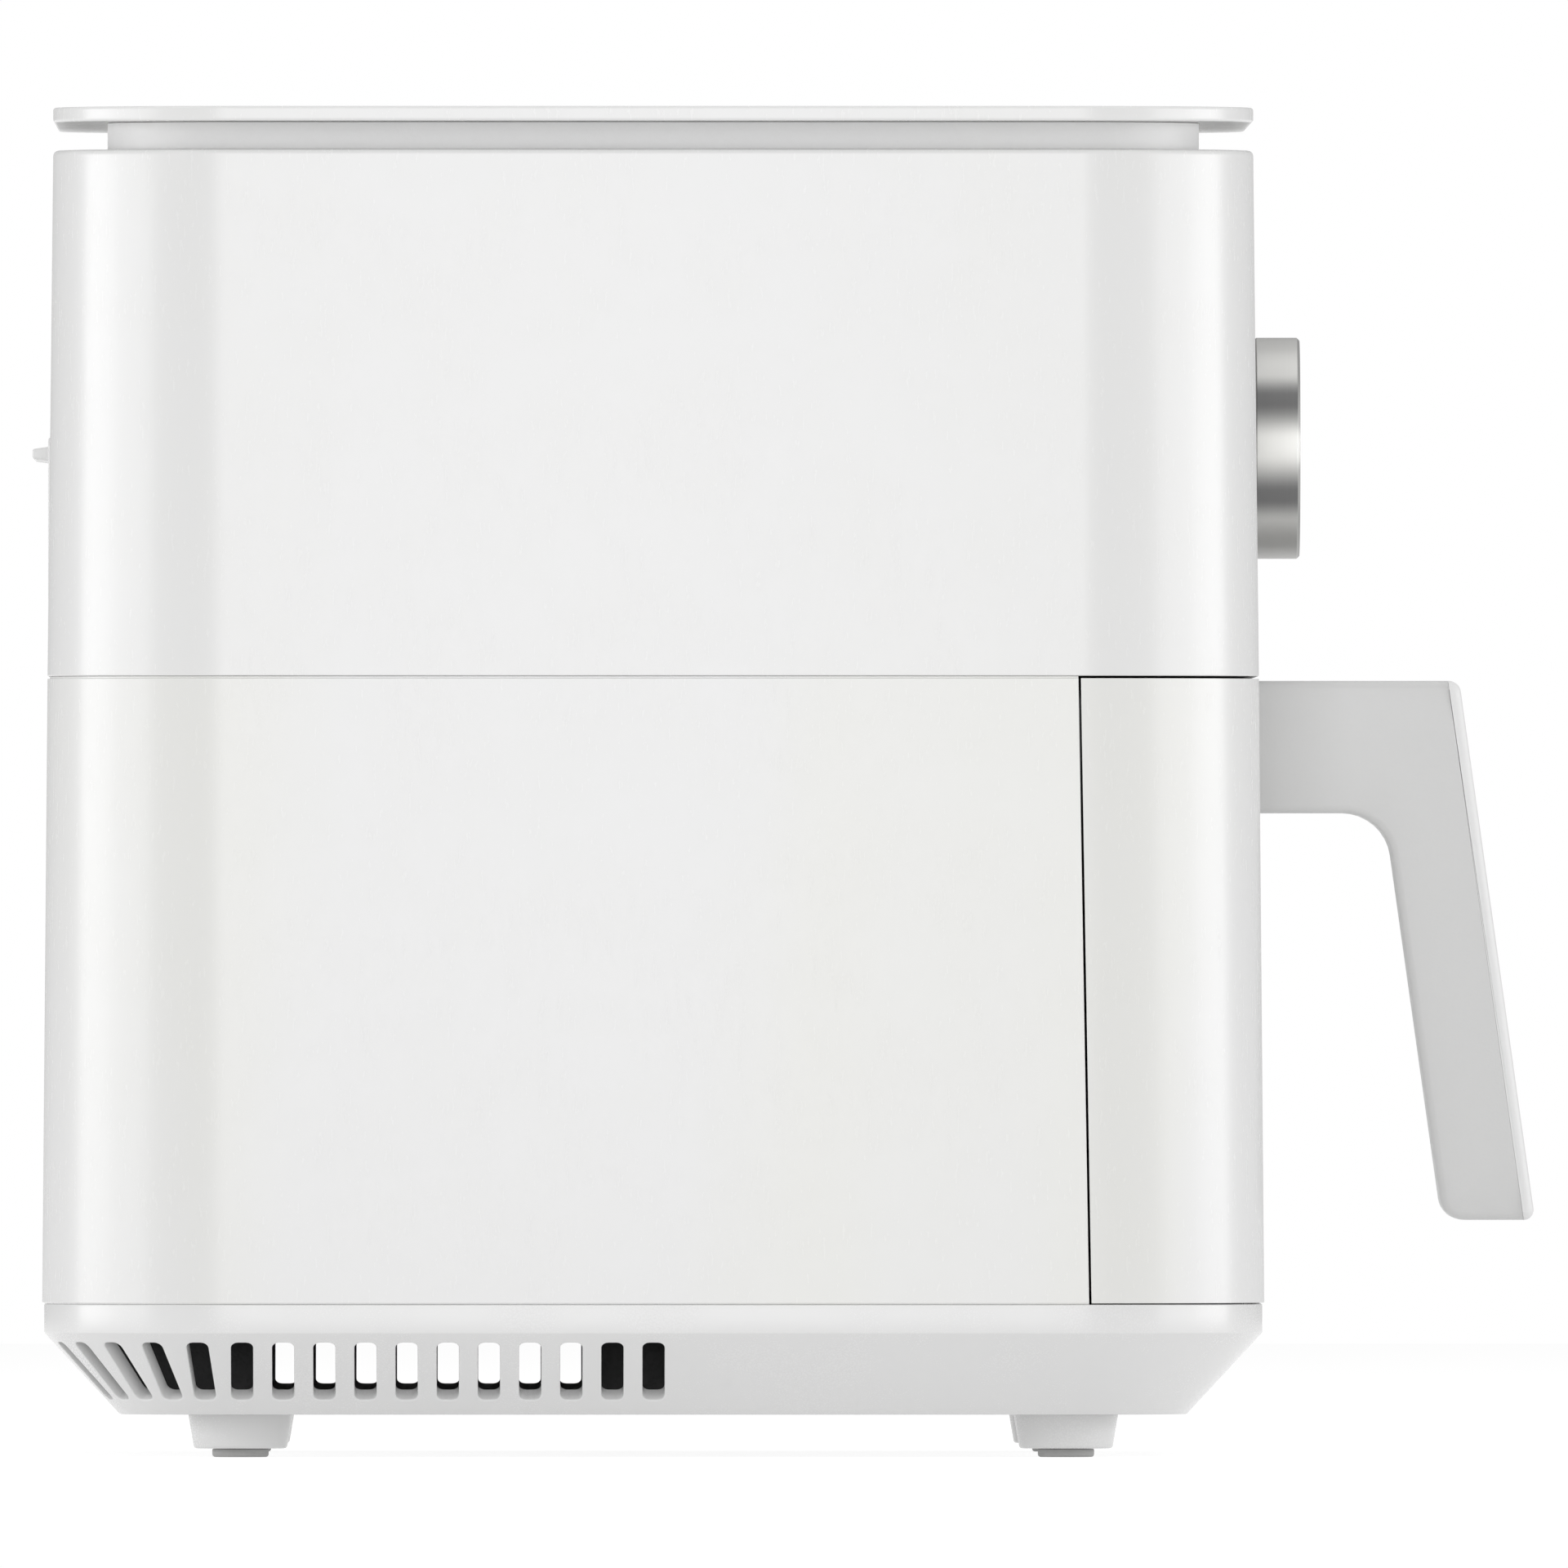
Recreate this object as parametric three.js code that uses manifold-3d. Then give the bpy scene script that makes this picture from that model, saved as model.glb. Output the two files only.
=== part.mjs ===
// A drawer air fryer, as the assembly of its real pieces.
// Millimetres, +Z up, +X to the front, which the drawer pulls out of.
// Someone who faces the front has +Y on the right.
// Every piece is drawn about the middle of the housing.
// The last lines move the whole to the middle of its footprint.

import * as THREE from "three";
import { mergeVertices } from "three/addons/utils/BufferGeometryUtils.js";
import Module from "manifold-3d";

const wasm = await Module();
wasm.setup();

// ---- Housing outline, where the lower housing meets the base ----
const BODY_LENGTH = 299;
const BODY_WIDTH = 291;
const CORNER_RADIUS = 45;
const WALL = 2.5;

// ---- Clearances ----
const SEAM_GAP = 0.6; // open line between two moulded shells
const FIT = 0.3; // between pieces that sit in or against each other
const SEAT = 0.1; // under a piece that stands on a flat face
const RUN = 0.8; // between the drawer and what it runs past
const PAST = 1; // how far a cutting tool runs past what it cuts

// ---- Heights of the layers, from the table up ----
const PAD_HEIGHT = 2.1;
const FOOT_HEIGHT = 8.4;
const SKIRT_HEIGHT = 20;
const BAND_HEIGHT = 7;
const DRAWER_HEIGHT = 153.2;
const UPPER_HEIGHT = 128.9;
const NECK_HEIGHT = 6.9;
const TOP_PLATE_THICKNESS = 3.6;

// ---- How far the outer face stands in from the housing outline ----
const BAND_INSET = 0.5;
const SKIRT_INSET = 18.5; // the skirt's underside, from the band
const SEAM_INSET = 1.3; // at the seam between the housings
const SHOULDER_INSET = 2.7; // at the top of the upper housing
const NECK_INSET = 13.3; // the neck, from the shoulder
const NECK_WALL = 3;
const TOP_EDGE = 0.6; // chamfer of the top plate

// ---- Base ----
const FLOOR = 2.5;
const SKIRT_WALL = 4; // square to the slope
const VENT_PITCH = 10;
const VENT_WIDTH = 5.4;
const VENT_HEIGHT = 14; // upright height of a slot's mouth
const VENT_RISE = 10.6; // from the underside to a slot's middle
const VENT_SHOULDER = 0.14; // share of a slot's half width that its cut corners take off its length
const DUCT_FIRST_VENT = 2; // the open cross duct lies behind this slot ...
const DUCT_LAST_VENT = 9; // ... to this one, counted from the middle of a side
const DECK_DROP = 0.8; // the deck's top under the base's top edge
const DECK_THICKNESS = 2.5;
const RIB = 2;
const RISER_WIDTH = 8; // air slots beside the chamber
const HOOD_SPACE = 2; // between the hood and the middle plate's hole

// ---- Feet ----
const FOOT_SPREAD = 48.5; // from the housing outline in to a foot's axis
const FOOT_TOP_RADIUS = 12.8;
const FOOT_BOTTOM_RADIUS = 11.4;
const FOOT_EDGE = 0.9;
const PAD_RADIUS = 6.9;
const PAD_SOCKET = 2; // how deep a pad's stem sits in its foot
const PAD_STEM_RADIUS = 4;

// ---- Drawer seam ----
const CAP_DEPTH = 42.9; // front face back to the seam, at the bottom
const SEAM_LEAN = 2.6; // the seam's top lies this much further back

// ---- Cooking chamber ----
const SIDE_SPACE = 24.5; // housing outline to the liner's outside
const REAR_SPACE = 22.5;
const SHEET = 1.2;
const LINER_DROP = 10.5; // liner top under the seam between the housings
const LINER_RADIUS = 30;
const FRAME_SETBACK = 2.5;
const FRAME_THICKNESS = 3;
const FRAME_OPENING_RADIUS = 10;

// ---- Fry pot ----
const POT_TOP_DROP = 8.2; // liner top to the pot's rim
const POT_SIDE_GAP = 3.8;
const POT_REAR_GAP = 6.8;
const POT_FLOOR_GAP = 5.8;
const POT_RADIUS = 42;
const POT_FLANGE = 5;
const POT_DRAFT = 5;
const POT_WALL = 1.5;
const POT_KNUCKLE = 3; // chamfer between the pot's wall and floor
const RAIL_THICKNESS = 1.5;
const RAIL_DEPTH = 12;

// ---- Crisper tray ----
const TRAY_RISE = 14.5; // above the pot's floor
const TRAY_THICKNESS = 1.5;
const TRAY_GAP = 3;
const TRAY_HOLE_RADIUS = 4.6;
const TRAY_HOLE_PITCH = 22;
const BUMPER_LENGTH = 22;
const BUMPER_DEPTH = 7;
const BUMPER_CAP = 3; // rubber above the tray's edge

// ---- Heater, hood and guard ----
const HOOD_FLANGE = 6;
const HOOD_HEIGHT = 28;
const HEATER_RADIUS = 3.2;
const HEATER_MARGIN = 14; // hood wall to the outer turn
const HEATER_PITCH = 13;
const HEATER_TURNS = 1.25;
const HEATER_BEND = 7.68; // where an end turns up
const HEATER_RISE = 5.8; // liner top to the heater's middle
const TERMINAL_MARGIN = 8;
const TERMINAL_RISE = 10; // above the hood
const TERMINAL_SPACING = 28.6; // between the heater's two ends, round the hood
const TERMINAL_RUN = 2; // how far the outer turn spreads towards its end
const SUPPORT_WIDTH = 8;
const SUPPORT_THICKNESS = 1.8;
const SUPPORT_GAP = 1; // to the hood, on the liner's top
const GUARD_RINGS = 4;
const GUARD_WIRE = 2.4;

// ---- Fans and motor ----
const FAN_MARGIN = 26; // hood wall to the hot fan's rim
const FAN_BLADES = 8;
const FAN_BLADE = 1.2;
const HOT_FAN_DEPTH = 10;
const FAN_GAP = 3.8; // hot fan to the hood
const COOLING_FAN_RADIUS = 52;
const COOLING_FAN_DEPTH = 8;
const COOLING_FAN_RISE = 4.5;
const SHAFT_RADIUS = 3;
const SHAFT_TIP = 1; // below the nut
const SHAFT_TAIL = 4; // above the can
const FAN_HUB_RADIUS = 8;
const FAN_HUB_OVERHANG = 1; // the hub past the blades
const NUT_RADIUS = 6;
const NUT_HEIGHT = 3.4;
const BRACKET_RISE = 18; // hood top to the bracket's underside
const BRACKET_WIDTH = 48;
const BRACKET_THICKNESS = 2;
const BRACKET_FOOT = 12;
const BRACKET_SPREAD = 10; // from the hood's wall out to a leg
const BEARING_RADIUS = 8;
const BEARING_HEIGHT = 6;
const BEARING_PROUD = 1; // the upper bearing above the can
const CAN_RADIUS = 36;
const CAN_HEIGHT = 40;
const ROTOR_RADIUS = 15.4;
const STATOR_HEIGHT = 22;
const WINDING_HEIGHT = 3; // the windings stand this proud of the stator
const WINDING_MARGIN = 0.3; // bare share of the stator's width on each side of the windings
const ROTOR_SHORT = 1; // each end of the rotor lies this far inside the stator's
const AIR_GAP = 0.6; // between rotor and stator

// ---- Sensor and thermal cutout, on the hood ----
const SENSOR_PROBE_RADIUS = 2;
const SENSOR_BODY_RADIUS = 3;
const SENSOR_BODY_HEIGHT = 9;
const SENSOR_COLLAR_RADIUS = 6;
const SENSOR_COLLAR_HEIGHT = 2;
const CUTOUT_RADIUS = 8;
const CUTOUT_CAP_RADIUS = 5.5;
const CUTOUT_HEIGHT = 7;
const CUTOUT_SHOULDER = 4;
const CUTOUT_MARGIN = 22; // hood wall to the cutout's middle
const CUTOUT_TAB = { reach: 14, half: 2.5, low: 2.5, high: 3.5 };

// ---- Rear outlet ----
const OUTLET_BOTTOM = 19; // above the seam between the housings
const OUTLET_HEIGHT = 40;
const OUTLET_WIDTH = 116;
const OUTLET_DEPTH = 3;
const OUTLET_PROUD = 0.5;
const LOUVRE_PITCH = 6.4;
const LOUVRE_HEIGHT = 3;
const LOUVRE_ROWS = 5;
const LOUVRE_COLUMNS = 4;
const LOUVRE_MARGIN = 6;
const LOUVRE_BAR = 4;
const LIP_DROP = 2.2; // outlet's top edge to the lip's
const LIP_ROOT = 3.5;
const LIP_TIP = 2.4;
const LIP_REACH = 3.9;
const DUCT_REACH = 74; // length of the exhaust duct
const DUCT_WALL = 1.5;

// ---- Dial and controls ----
const DIAL_RISE = 56.8; // above the seam between the housings
const DIAL_RADIUS = 27.2;
const DIAL_PROUD = 11.6;
const DIAL_EDGE = 0.7;
const DIAL_WALL = 5;
const HUB_WALL = 4.2;
const HUB_FLANGE = 4;
const HUB_FLANGE_THICKNESS = 2;
const BUTTON_DEPTH = 8;
const BUTTON_TRAVEL = 1.2;
const BUTTON_STEM_RADIUS = 3;
const LENS_THICKNESS = 1.2;
const LENS_EDGE = 1.6;
const BOARD_THICKNESS = 1.6;
const CONTROL_BOARD_SETBACK = 20;
const CONTROL_BOARD_SIZE = 60;
const POWER_BOARD_RISE = 6;
const POWER_BOARD_WIDTH = 36;
const POWER_BOARD_LENGTH = 110;
const RELAY = { half: 7, from: 14, to: 32, height: 12 }; // from and to run from the board's left end
const TRANSFORMER = { halfX: 11, halfY: 12, height: 11 };
const FUSE = { half: 3, from: 20, to: 14, height: 6 }; // from and to run from the board's right end
const CAPACITOR = { radius: 5, offset: 7, from: 32, height: 12 };
const TACT_SWITCH = { half: 3, height: 3 };
const BOARD_PLUG = { from: 8, to: 1, half: 8, depth: 6 }; // from and to run from the board's edge

// ---- Drawer handle ----
const HANDLE_DROP = 0.5; // arm top under the seam between the housings
const HANDLE_REACH = 50.5; // front face to the arm's outer top corner
const HANDLE_HEIGHT = 132.5;
const HANDLE_WIDTH = 40;
const ARM_HEIGHT = 32.5;
const GRIP_THICKNESS = 22.7;
const GRIP_LEAN = Math.tan(THREE.MathUtils.degToRad(8));
const GRIP_WALL = 3;
const GRIP_TOP_RADIUS = 3; // the arm's outer top corner
const GRIP_TOE_RADIUS = 2.5; // the grip's lower corner on the outside
const GRIP_HEEL_RADIUS = 6; // the grip's lower corner on the inside
const GRIP_THROAT_RADIUS = 12; // between the arm's underside and the grip
const COVER_THICKNESS = 2.8;
const BOLT_RADIUS = 2.5;
const BOLT_HEAD_RADIUS = 4.5;
const BOLT_HEAD_HEIGHT = 3;
const BOLT_GRIP = 14; // thread in the handle
const BOLT_SPACING = 16;

// ---- Drawer switch and cord gland ----
const SWITCH_OFFSET = 10; // beside the liner
const SWITCH_DROP = 27; // under the seam between the housings
const SWITCH_SIZE = [14, 10, 8];
const SWITCH_BACK_WALL = 3;
const PLUNGER_SPACE = 2; // behind the plunger, inside the switch
const PLUNGER_RADIUS = 1.5;
const GLAND_RADIUS = 9;
const GLAND_RISE = 22;
const GLAND_INSET = 20.5; // from the end of the back's flat
const GLAND_WALL = 4;
const GLAND_COLLAR = 3; // how far the collar stands out behind the wall
const GLAND_COLLAR_THICKNESS = 2;
const GLAND_NOSE = 8; // from the wall's inside to the gland's inner end
const GLAND_TAPER = 1;

// ---- Rounding of drawn circles ----
const CORNER_STEPS = 8;
const FINE = 28;
const COARSE = 12;
const DIAL_STEPS = 48;
const GUARD_STEPS = 24;
const HEATER_STEPS = 84;
const HEATER_CURVE_POINTS = 30; // in each arm of the spiral
const HEXAGON = 6;

// ---- Levels worked out from the layers ----
const zUnderside = PAD_HEIGHT + FOOT_HEIGHT;
const zBand = zUnderside + SKIRT_HEIGHT;
const zBaseTop = zBand + BAND_HEIGHT;
const zSeam = zBaseTop + DRAWER_HEIGHT;
const zShoulder = zSeam + UPPER_HEIGHT;
const zPlate = zShoulder + NECK_HEIGHT;
const zTop = zPlate + TOP_PLATE_THICKNESS;
const zFloor = zUnderside + FLOOR;
const zDeck = zBaseTop - DECK_DROP;
const zLiner = zDeck + SEAT;
const zLinerTop = zSeam - LINER_DROP;
const zRim = zLinerTop - POT_TOP_DROP;
const zPotBottom = zLiner + SHEET + POT_FLOOR_GAP;
const zPotFloor = zPotBottom + POT_WALL;
const zTray = zPotFloor + TRAY_RISE;
const zHood = zLinerTop + SEAT;
const zHoodTop = zHood + HOOD_HEIGHT;
const zHeater = zLinerTop + HEATER_RISE;
const zMidPlate = zSeam + SEAM_GAP / 2;
const zMidPlateTop = zMidPlate + WALL;
const zBracket = zHoodTop + BRACKET_RISE;
const zBracketTop = zBracket + BRACKET_THICKNESS;
const zDial = zSeam + DIAL_RISE;
const zArm = zSeam - HANDLE_DROP;
const zGland = zBaseTop + GLAND_RISE;

// ---- Places worked out from the outline ----
const glandSide = BODY_WIDTH / 2 - CORNER_RADIUS - GLAND_INSET;
const body = { length: BODY_LENGTH, width: BODY_WIDTH, radius: CORNER_RADIUS };
const frameFront = seamX(zSeam) - FRAME_SETBACK;
const frameBack = frameFront - FRAME_THICKNESS;
const linerFront = frameBack - FIT;
const linerRear = -BODY_LENGTH / 2 + REAR_SPACE;
const linerSide = BODY_WIDTH / 2 - SIDE_SPACE;
const coverBack = frameFront + RUN;
const coverFront = coverBack + WALL;
const potFront = coverBack - FIT;
const potRear = linerRear + SHEET + POT_REAR_GAP;
const potSide = linerSide - SHEET - POT_SIDE_GAP;
const axisX = (potFront + potRear) / 2; // the fans, the heater and the hood
const hoodFlangeRadius = Math.min(linerFront - axisX, linerSide) - 2 * FIT;
const hoodRadius = hoodFlangeRadius - HOOD_FLANGE;
const hoodInside = hoodRadius - SHEET;
const heaterOuter = hoodRadius - HEATER_MARGIN;
const fanRadius = hoodRadius - FAN_MARGIN;
const dialFace = BODY_LENGTH / 2 - bodyInset(zDial);
const hubRadius = DIAL_RADIUS - DIAL_WALL - FIT;
const buttonRadius = hubRadius - HUB_WALL - FIT;

// ---------------------------------------------------------------- helpers

/** How far the housing's outer face stands in from the outline at height z. */
function bodyInset(z) {
  if (z <= zSeam) {
    return SEAM_INSET * Math.max(0, (z - zBaseTop) / DRAWER_HEIGHT);
  }
  return THREE.MathUtils.mapLinear(z, zSeam, zShoulder, SEAM_INSET, SHOULDER_INSET);
}

/** How far the sloped skirt stands in from the outline at height z. */
function skirtInset(z) {
  return BAND_INSET + (SKIRT_INSET * (zBand - z)) / SKIRT_HEIGHT;
}

/** Where the drawer's side seam runs at height z. */
function seamX(z) {
  return BODY_LENGTH / 2 - CAP_DEPTH - (SEAM_LEAN * (z - zBaseTop)) / DRAWER_HEIGHT;
}

/** A closed geometry as a solid that can be joined and cut. */
function solid(shape) {
  if (shape instanceof wasm.Manifold) {
    return shape;
  }
  const bare = shape.clone();
  bare.deleteAttribute("normal");
  bare.deleteAttribute("uv");
  const merged = mergeVertices(bare, 1e-4);
  const vertProperties = merged.attributes.position.array;
  const triVerts = new Uint32Array(merged.index.array);
  return new wasm.Manifold(new wasm.Mesh({ numProp: 3, vertProperties, triVerts }));
}

/** A solid as a geometry again. */
function geometryOf(shape) {
  if (shape.isBufferGeometry) {
    return shape;
  }
  const { vertProperties, triVerts } = shape.getMesh();
  const geometry = new THREE.BufferGeometry();
  geometry.setAttribute("position", new THREE.BufferAttribute(vertProperties, 3));
  geometry.setIndex(new THREE.BufferAttribute(triVerts, 1));
  geometry.computeVertexNormals();
  return geometry;
}

function join(first, ...others) {
  return others.reduce((whole, other) => whole.add(solid(other)), solid(first));
}

function cut(base, ...tools) {
  return tools.reduce((rest, tool) => rest.subtract(solid(tool)), solid(base));
}

function common(first, second) {
  return solid(first).intersect(solid(second));
}

/** A shape from [x, y, radius] corners; a corner with no radius stays sharp. */
function roundedShape(corners) {
  const points = corners.flatMap(([x, y, radius = 0], i) => {
    const here = new THREE.Vector2(x, y);
    if (radius === 0) {
      return [here];
    }
    const [lastX, lastY] = corners.at(i - 1);
    const [nextX, nextY] = corners[(i + 1) % corners.length];
    const back = new THREE.Vector2(lastX, lastY).sub(here).normalize();
    const ahead = new THREE.Vector2(nextX, nextY).sub(here).normalize();
    const half = Math.acos(back.dot(ahead)) / 2;
    const reach = radius / Math.tan(half);
    const middle = back.clone().add(ahead).setLength(radius / Math.sin(half)).add(here);
    const from = back.clone().multiplyScalar(reach).add(here).sub(middle).angle();
    const to = ahead.clone().multiplyScalar(reach).add(here).sub(middle).angle();
    const clockwise = back.cross(ahead) > 0;
    const arc = new THREE.EllipseCurve(middle.x, middle.y, radius, radius, from, to, clockwise);
    return arc.getPoints(CORNER_STEPS);
  });
  return new THREE.Shape(points);
}

/** The same plan outline, drawn in by an even distance. */
function shrink({ length, width, radius }, inset) {
  return { length: length - 2 * inset, width: width - 2 * inset, radius: radius - inset };
}

/** A rounded rectangle raised through [z, inset] levels, from the bottom up, centred on x. */
function drafted({ length, width, radius }, levels, x = 0) {
  const farX = length / 2;
  const farY = width / 2;
  const corners = [
    [farX, -farY, radius],
    [farX, farY, radius],
    [-farX, farY, radius],
    [-farX, -farY, radius],
  ];
  const steps = levels.length - 1;
  const options = { depth: steps, steps, bevelEnabled: false };
  const geometry = new THREE.ExtrudeGeometry(roundedShape(corners), options);
  const position = geometry.attributes.position;
  for (let i = 0; i < position.count; i += 1) {
    const [z, inset] = levels[Math.round(position.getZ(i))];
    const middleX = Math.sign(position.getX(i)) * (farX - radius);
    const middleY = Math.sign(position.getY(i)) * (farY - radius);
    const share = (radius - inset) / radius;
    const nearX = middleX + (position.getX(i) - middleX) * share;
    const nearY = middleY + (position.getY(i) - middleY) * share;
    position.setXYZ(i, nearX, nearY, z);
  }
  return geometry.translate(x, 0, 0);
}

/** A flat plate with the given plan outline. */
function plate(plan, z0, z1, x = 0) {
  return drafted(plan, [[z0, 0], [z1, 0]], x);
}

function box(x0, x1, y0, y1, z0, z1) {
  const geometry = new THREE.BoxGeometry(x1 - x0, y1 - y0, z1 - z0);
  return geometry.translate((x0 + x1) / 2, (y0 + y1) / 2, (z0 + z1) / 2);
}

/** A cylinder about Z. */
function rod(radius, z0, z1, segments = COARSE) {
  const geometry = new THREE.CylinderGeometry(radius, radius, z1 - z0, segments);
  return geometry.rotateX(Math.PI / 2).translate(0, 0, (z0 + z1) / 2);
}

/** A cylinder along X, at (y, z). */
function pin(radius, x0, x1, y, z, segments = COARSE) {
  return rod(radius, x0, x1, segments).rotateY(Math.PI / 2).translate(0, y, z);
}

/** A solid of revolution about Z from [radius, z] points, which run anticlockwise. */
function turned(profile, segments = FINE) {
  const points = profile.map(([radius, z]) => new THREE.Vector2(radius, z));
  if (profile[0][0] > 0) {
    points.push(points[0].clone());
  }
  return new THREE.LatheGeometry(points, segments).rotateX(Math.PI / 2);
}

/** A flat ring about Z. */
function ring(inner, outer, z0, z1, segments = FINE) {
  return turned([[inner, z0], [outer, z0], [outer, z1], [inner, z1]], segments);
}

/** An outline of [x, z, radius] corners, carried across from y0 to y1. */
function sideSlab(corners, y0, y1) {
  const options = { depth: y1 - y0, bevelEnabled: false };
  const geometry = new THREE.ExtrudeGeometry(roundedShape(corners), options);
  return geometry.rotateX(Math.PI / 2).translate(0, y1, 0);
}

/** The housing's outer form between two levels, drawn in by inset. */
function bodyBlock(z0, z1, inset) {
  return drafted(body, [[z0, bodyInset(z0) + inset], [z1, bodyInset(z1) + inset]]);
}

/** Everything in front of the drawer seam, moved by shift. */
function aheadOfSeam(shift) {
  const low = zBaseTop - WALL;
  const high = zSeam + WALL;
  const far = BODY_LENGTH;
  const corners = [[seamX(low) + shift, low], [far, low], [far, high], [seamX(high) + shift, high]];
  return sideSlab(corners, -BODY_WIDTH, BODY_WIDTH);
}

// ---------------------------------------------------------------- finishes

function finish(color, roughness, metalness = 0) {
  return new THREE.MeshStandardMaterial({ color, roughness, metalness });
}

const glossWhite = finish(0xf1f1ef, 0.25);
const satinWhite = finish(0xe2e2e1, 0.5);
const paleGrey = finish(0xc9c9c8, 0.55);
const blackPlastic = finish(0x1c1c1e, 0.6);
const greyRubber = finish(0xa0a09f, 0.85);
const darkSilicone = finish(0x2b2b2d, 0.8);
const satinMetal = finish(0xb9b8b4, 0.3, 1);
const zincSheet = finish(0xb4b6b8, 0.4, 1);
const steel = finish(0xc8c8c8, 0.3, 1);
const darkCoat = finish(0x2a2a2b, 0.45, 0.2);
const heaterMetal = finish(0x5f5a55, 0.5, 1);
const copper = finish(0xb4633a, 0.4, 1);
const boardGreen = finish(0x1e5c3a, 0.55);
const darkGlass = finish(0x0c0c0e, 0.1);

// ---------------------------------------------------------------- housing

/** The slab that floats over the neck. */
function topPlate() {
  return drafted(body, [
    [zPlate, SHOULDER_INSET + TOP_EDGE],
    [zPlate + TOP_EDGE, SHOULDER_INSET],
    [zTop - TOP_EDGE, SHOULDER_INSET],
    [zTop, SHOULDER_INSET + TOP_EDGE],
  ]);
}

/** The recessed band that carries the top plate. */
function topNeck() {
  const plan = shrink(body, SHOULDER_INSET + NECK_INSET);
  const z0 = zShoulder + SEAT;
  const z1 = zPlate - SEAT;
  return cut(plate(plan, z0, z1), plate(shrink(plan, NECK_WALL), z0 - PAST, z1 + PAST));
}

/** The shell over the heater, with the dial's hole and the rear window. */
function upperHousing() {
  const z0 = zSeam + SEAM_GAP / 2;
  const shell = cut(bodyBlock(z0, zShoulder, 0), bodyBlock(z0 - PAST, zShoulder - WALL, WALL));
  const dialHole = pin(hubRadius + FIT, 0, BODY_LENGTH, 0, zDial, FINE);
  const far = OUTLET_WIDTH / 2 + FIT;
  const z = zSeam + OUTLET_BOTTOM;
  const window = box(-BODY_LENGTH, axisX, -far, far, z - FIT, z + OUTLET_HEIGHT + FIT);
  return cut(shell, dialHole, window);
}

/** The side and back skin round the chamber, open at the front. */
function lowerHousing() {
  const z0 = zBaseTop + SEAM_GAP / 2;
  const z1 = zSeam - SEAM_GAP / 2;
  const shell = cut(bodyBlock(z0, z1, 0), bodyBlock(z0 - PAST, z1 + PAST, WALL));
  const glandHole = pin(GLAND_RADIUS + FIT, -BODY_LENGTH, 0, glandSide, zGland, FINE);
  return cut(shell, aheadOfSeam(-SEAM_GAP / 2), glandHole);
}

/** The plate between the chamber and the heater space. */
function midPlate() {
  const plan = shrink(body, SEAM_INSET + WALL + FIT);
  const hole = rod(hoodRadius + HOOD_SPACE, zMidPlate - PAST, zMidPlateTop + PAST, FINE);
  hole.translate(axisX, 0, 0);
  const post = rod(BOLT_RADIUS, zMidPlate + WALL / 2, zMidPlateTop + POWER_BOARD_RISE - SEAT);
  const posts = boardPosts().map(([x, y]) => post.clone().translate(x, y, 0));
  const sheet = cut(plate(plan, zMidPlate, zMidPlateTop), hole, ...airRisers(zMidPlate, zMidPlateTop));
  return join(sheet, ...posts);
}

/** Long air slots on both sides of the chamber. */
function airRisers(z0, z1) {
  const middle = linerSide + (SIDE_SPACE - WALL - SEAM_INSET) / 2;
  const [from, to] = [-ductX(DUCT_LAST_VENT), -ductX(DUCT_FIRST_VENT)];
  return [-1, 1].map((side) => {
    const y = side * middle;
    return box(from, to, y - RISER_WIDTH / 2, y + RISER_WIDTH / 2, z0 - PAST, z1 + PAST);
  });
}

// ---------------------------------------------------------------- base

/** Half a side, the corner and half the back, along the middle of the vent slots. */
function ventPath() {
  const z = zUnderside + VENT_RISE;
  const radius = CORNER_RADIUS - skirtInset(z);
  const side = BODY_LENGTH / 2 - CORNER_RADIUS;
  const back = BODY_WIDTH / 2 - CORNER_RADIUS;
  const half = side + (radius * Math.PI) / 2 + back;
  const gaps = 2 * Math.round(half / VENT_PITCH);
  return { z, radius, side, back, half, gaps, pitch: (2 * half) / gaps };
}

/** How far behind the middle of a side the vent of that number stands. */
function ductX(number) {
  return ventPath().pitch * number;
}

/** Where a vent stands on the skirt: its middle, and the way it faces in plan. */
function ventPlace(number) {
  const { z, radius, side, back, half, pitch } = ventPath();
  const along = number * pitch;
  const mirrored = along > half;
  const run = mirrored ? 2 * half - along : along;
  const quarter = Math.PI / 2;
  const turn = THREE.MathUtils.clamp((run - side) / radius, 0, quarter);
  const beyond = Math.max(0, run - side - radius * quarter);
  const facing = -quarter - turn;
  const x = -Math.min(run, side) + radius * Math.cos(facing);
  const y = -back + beyond + radius * Math.sin(facing);
  return mirrored ? { x, y: -y, z, facing: -facing } : { x, y, z, facing };
}

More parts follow.
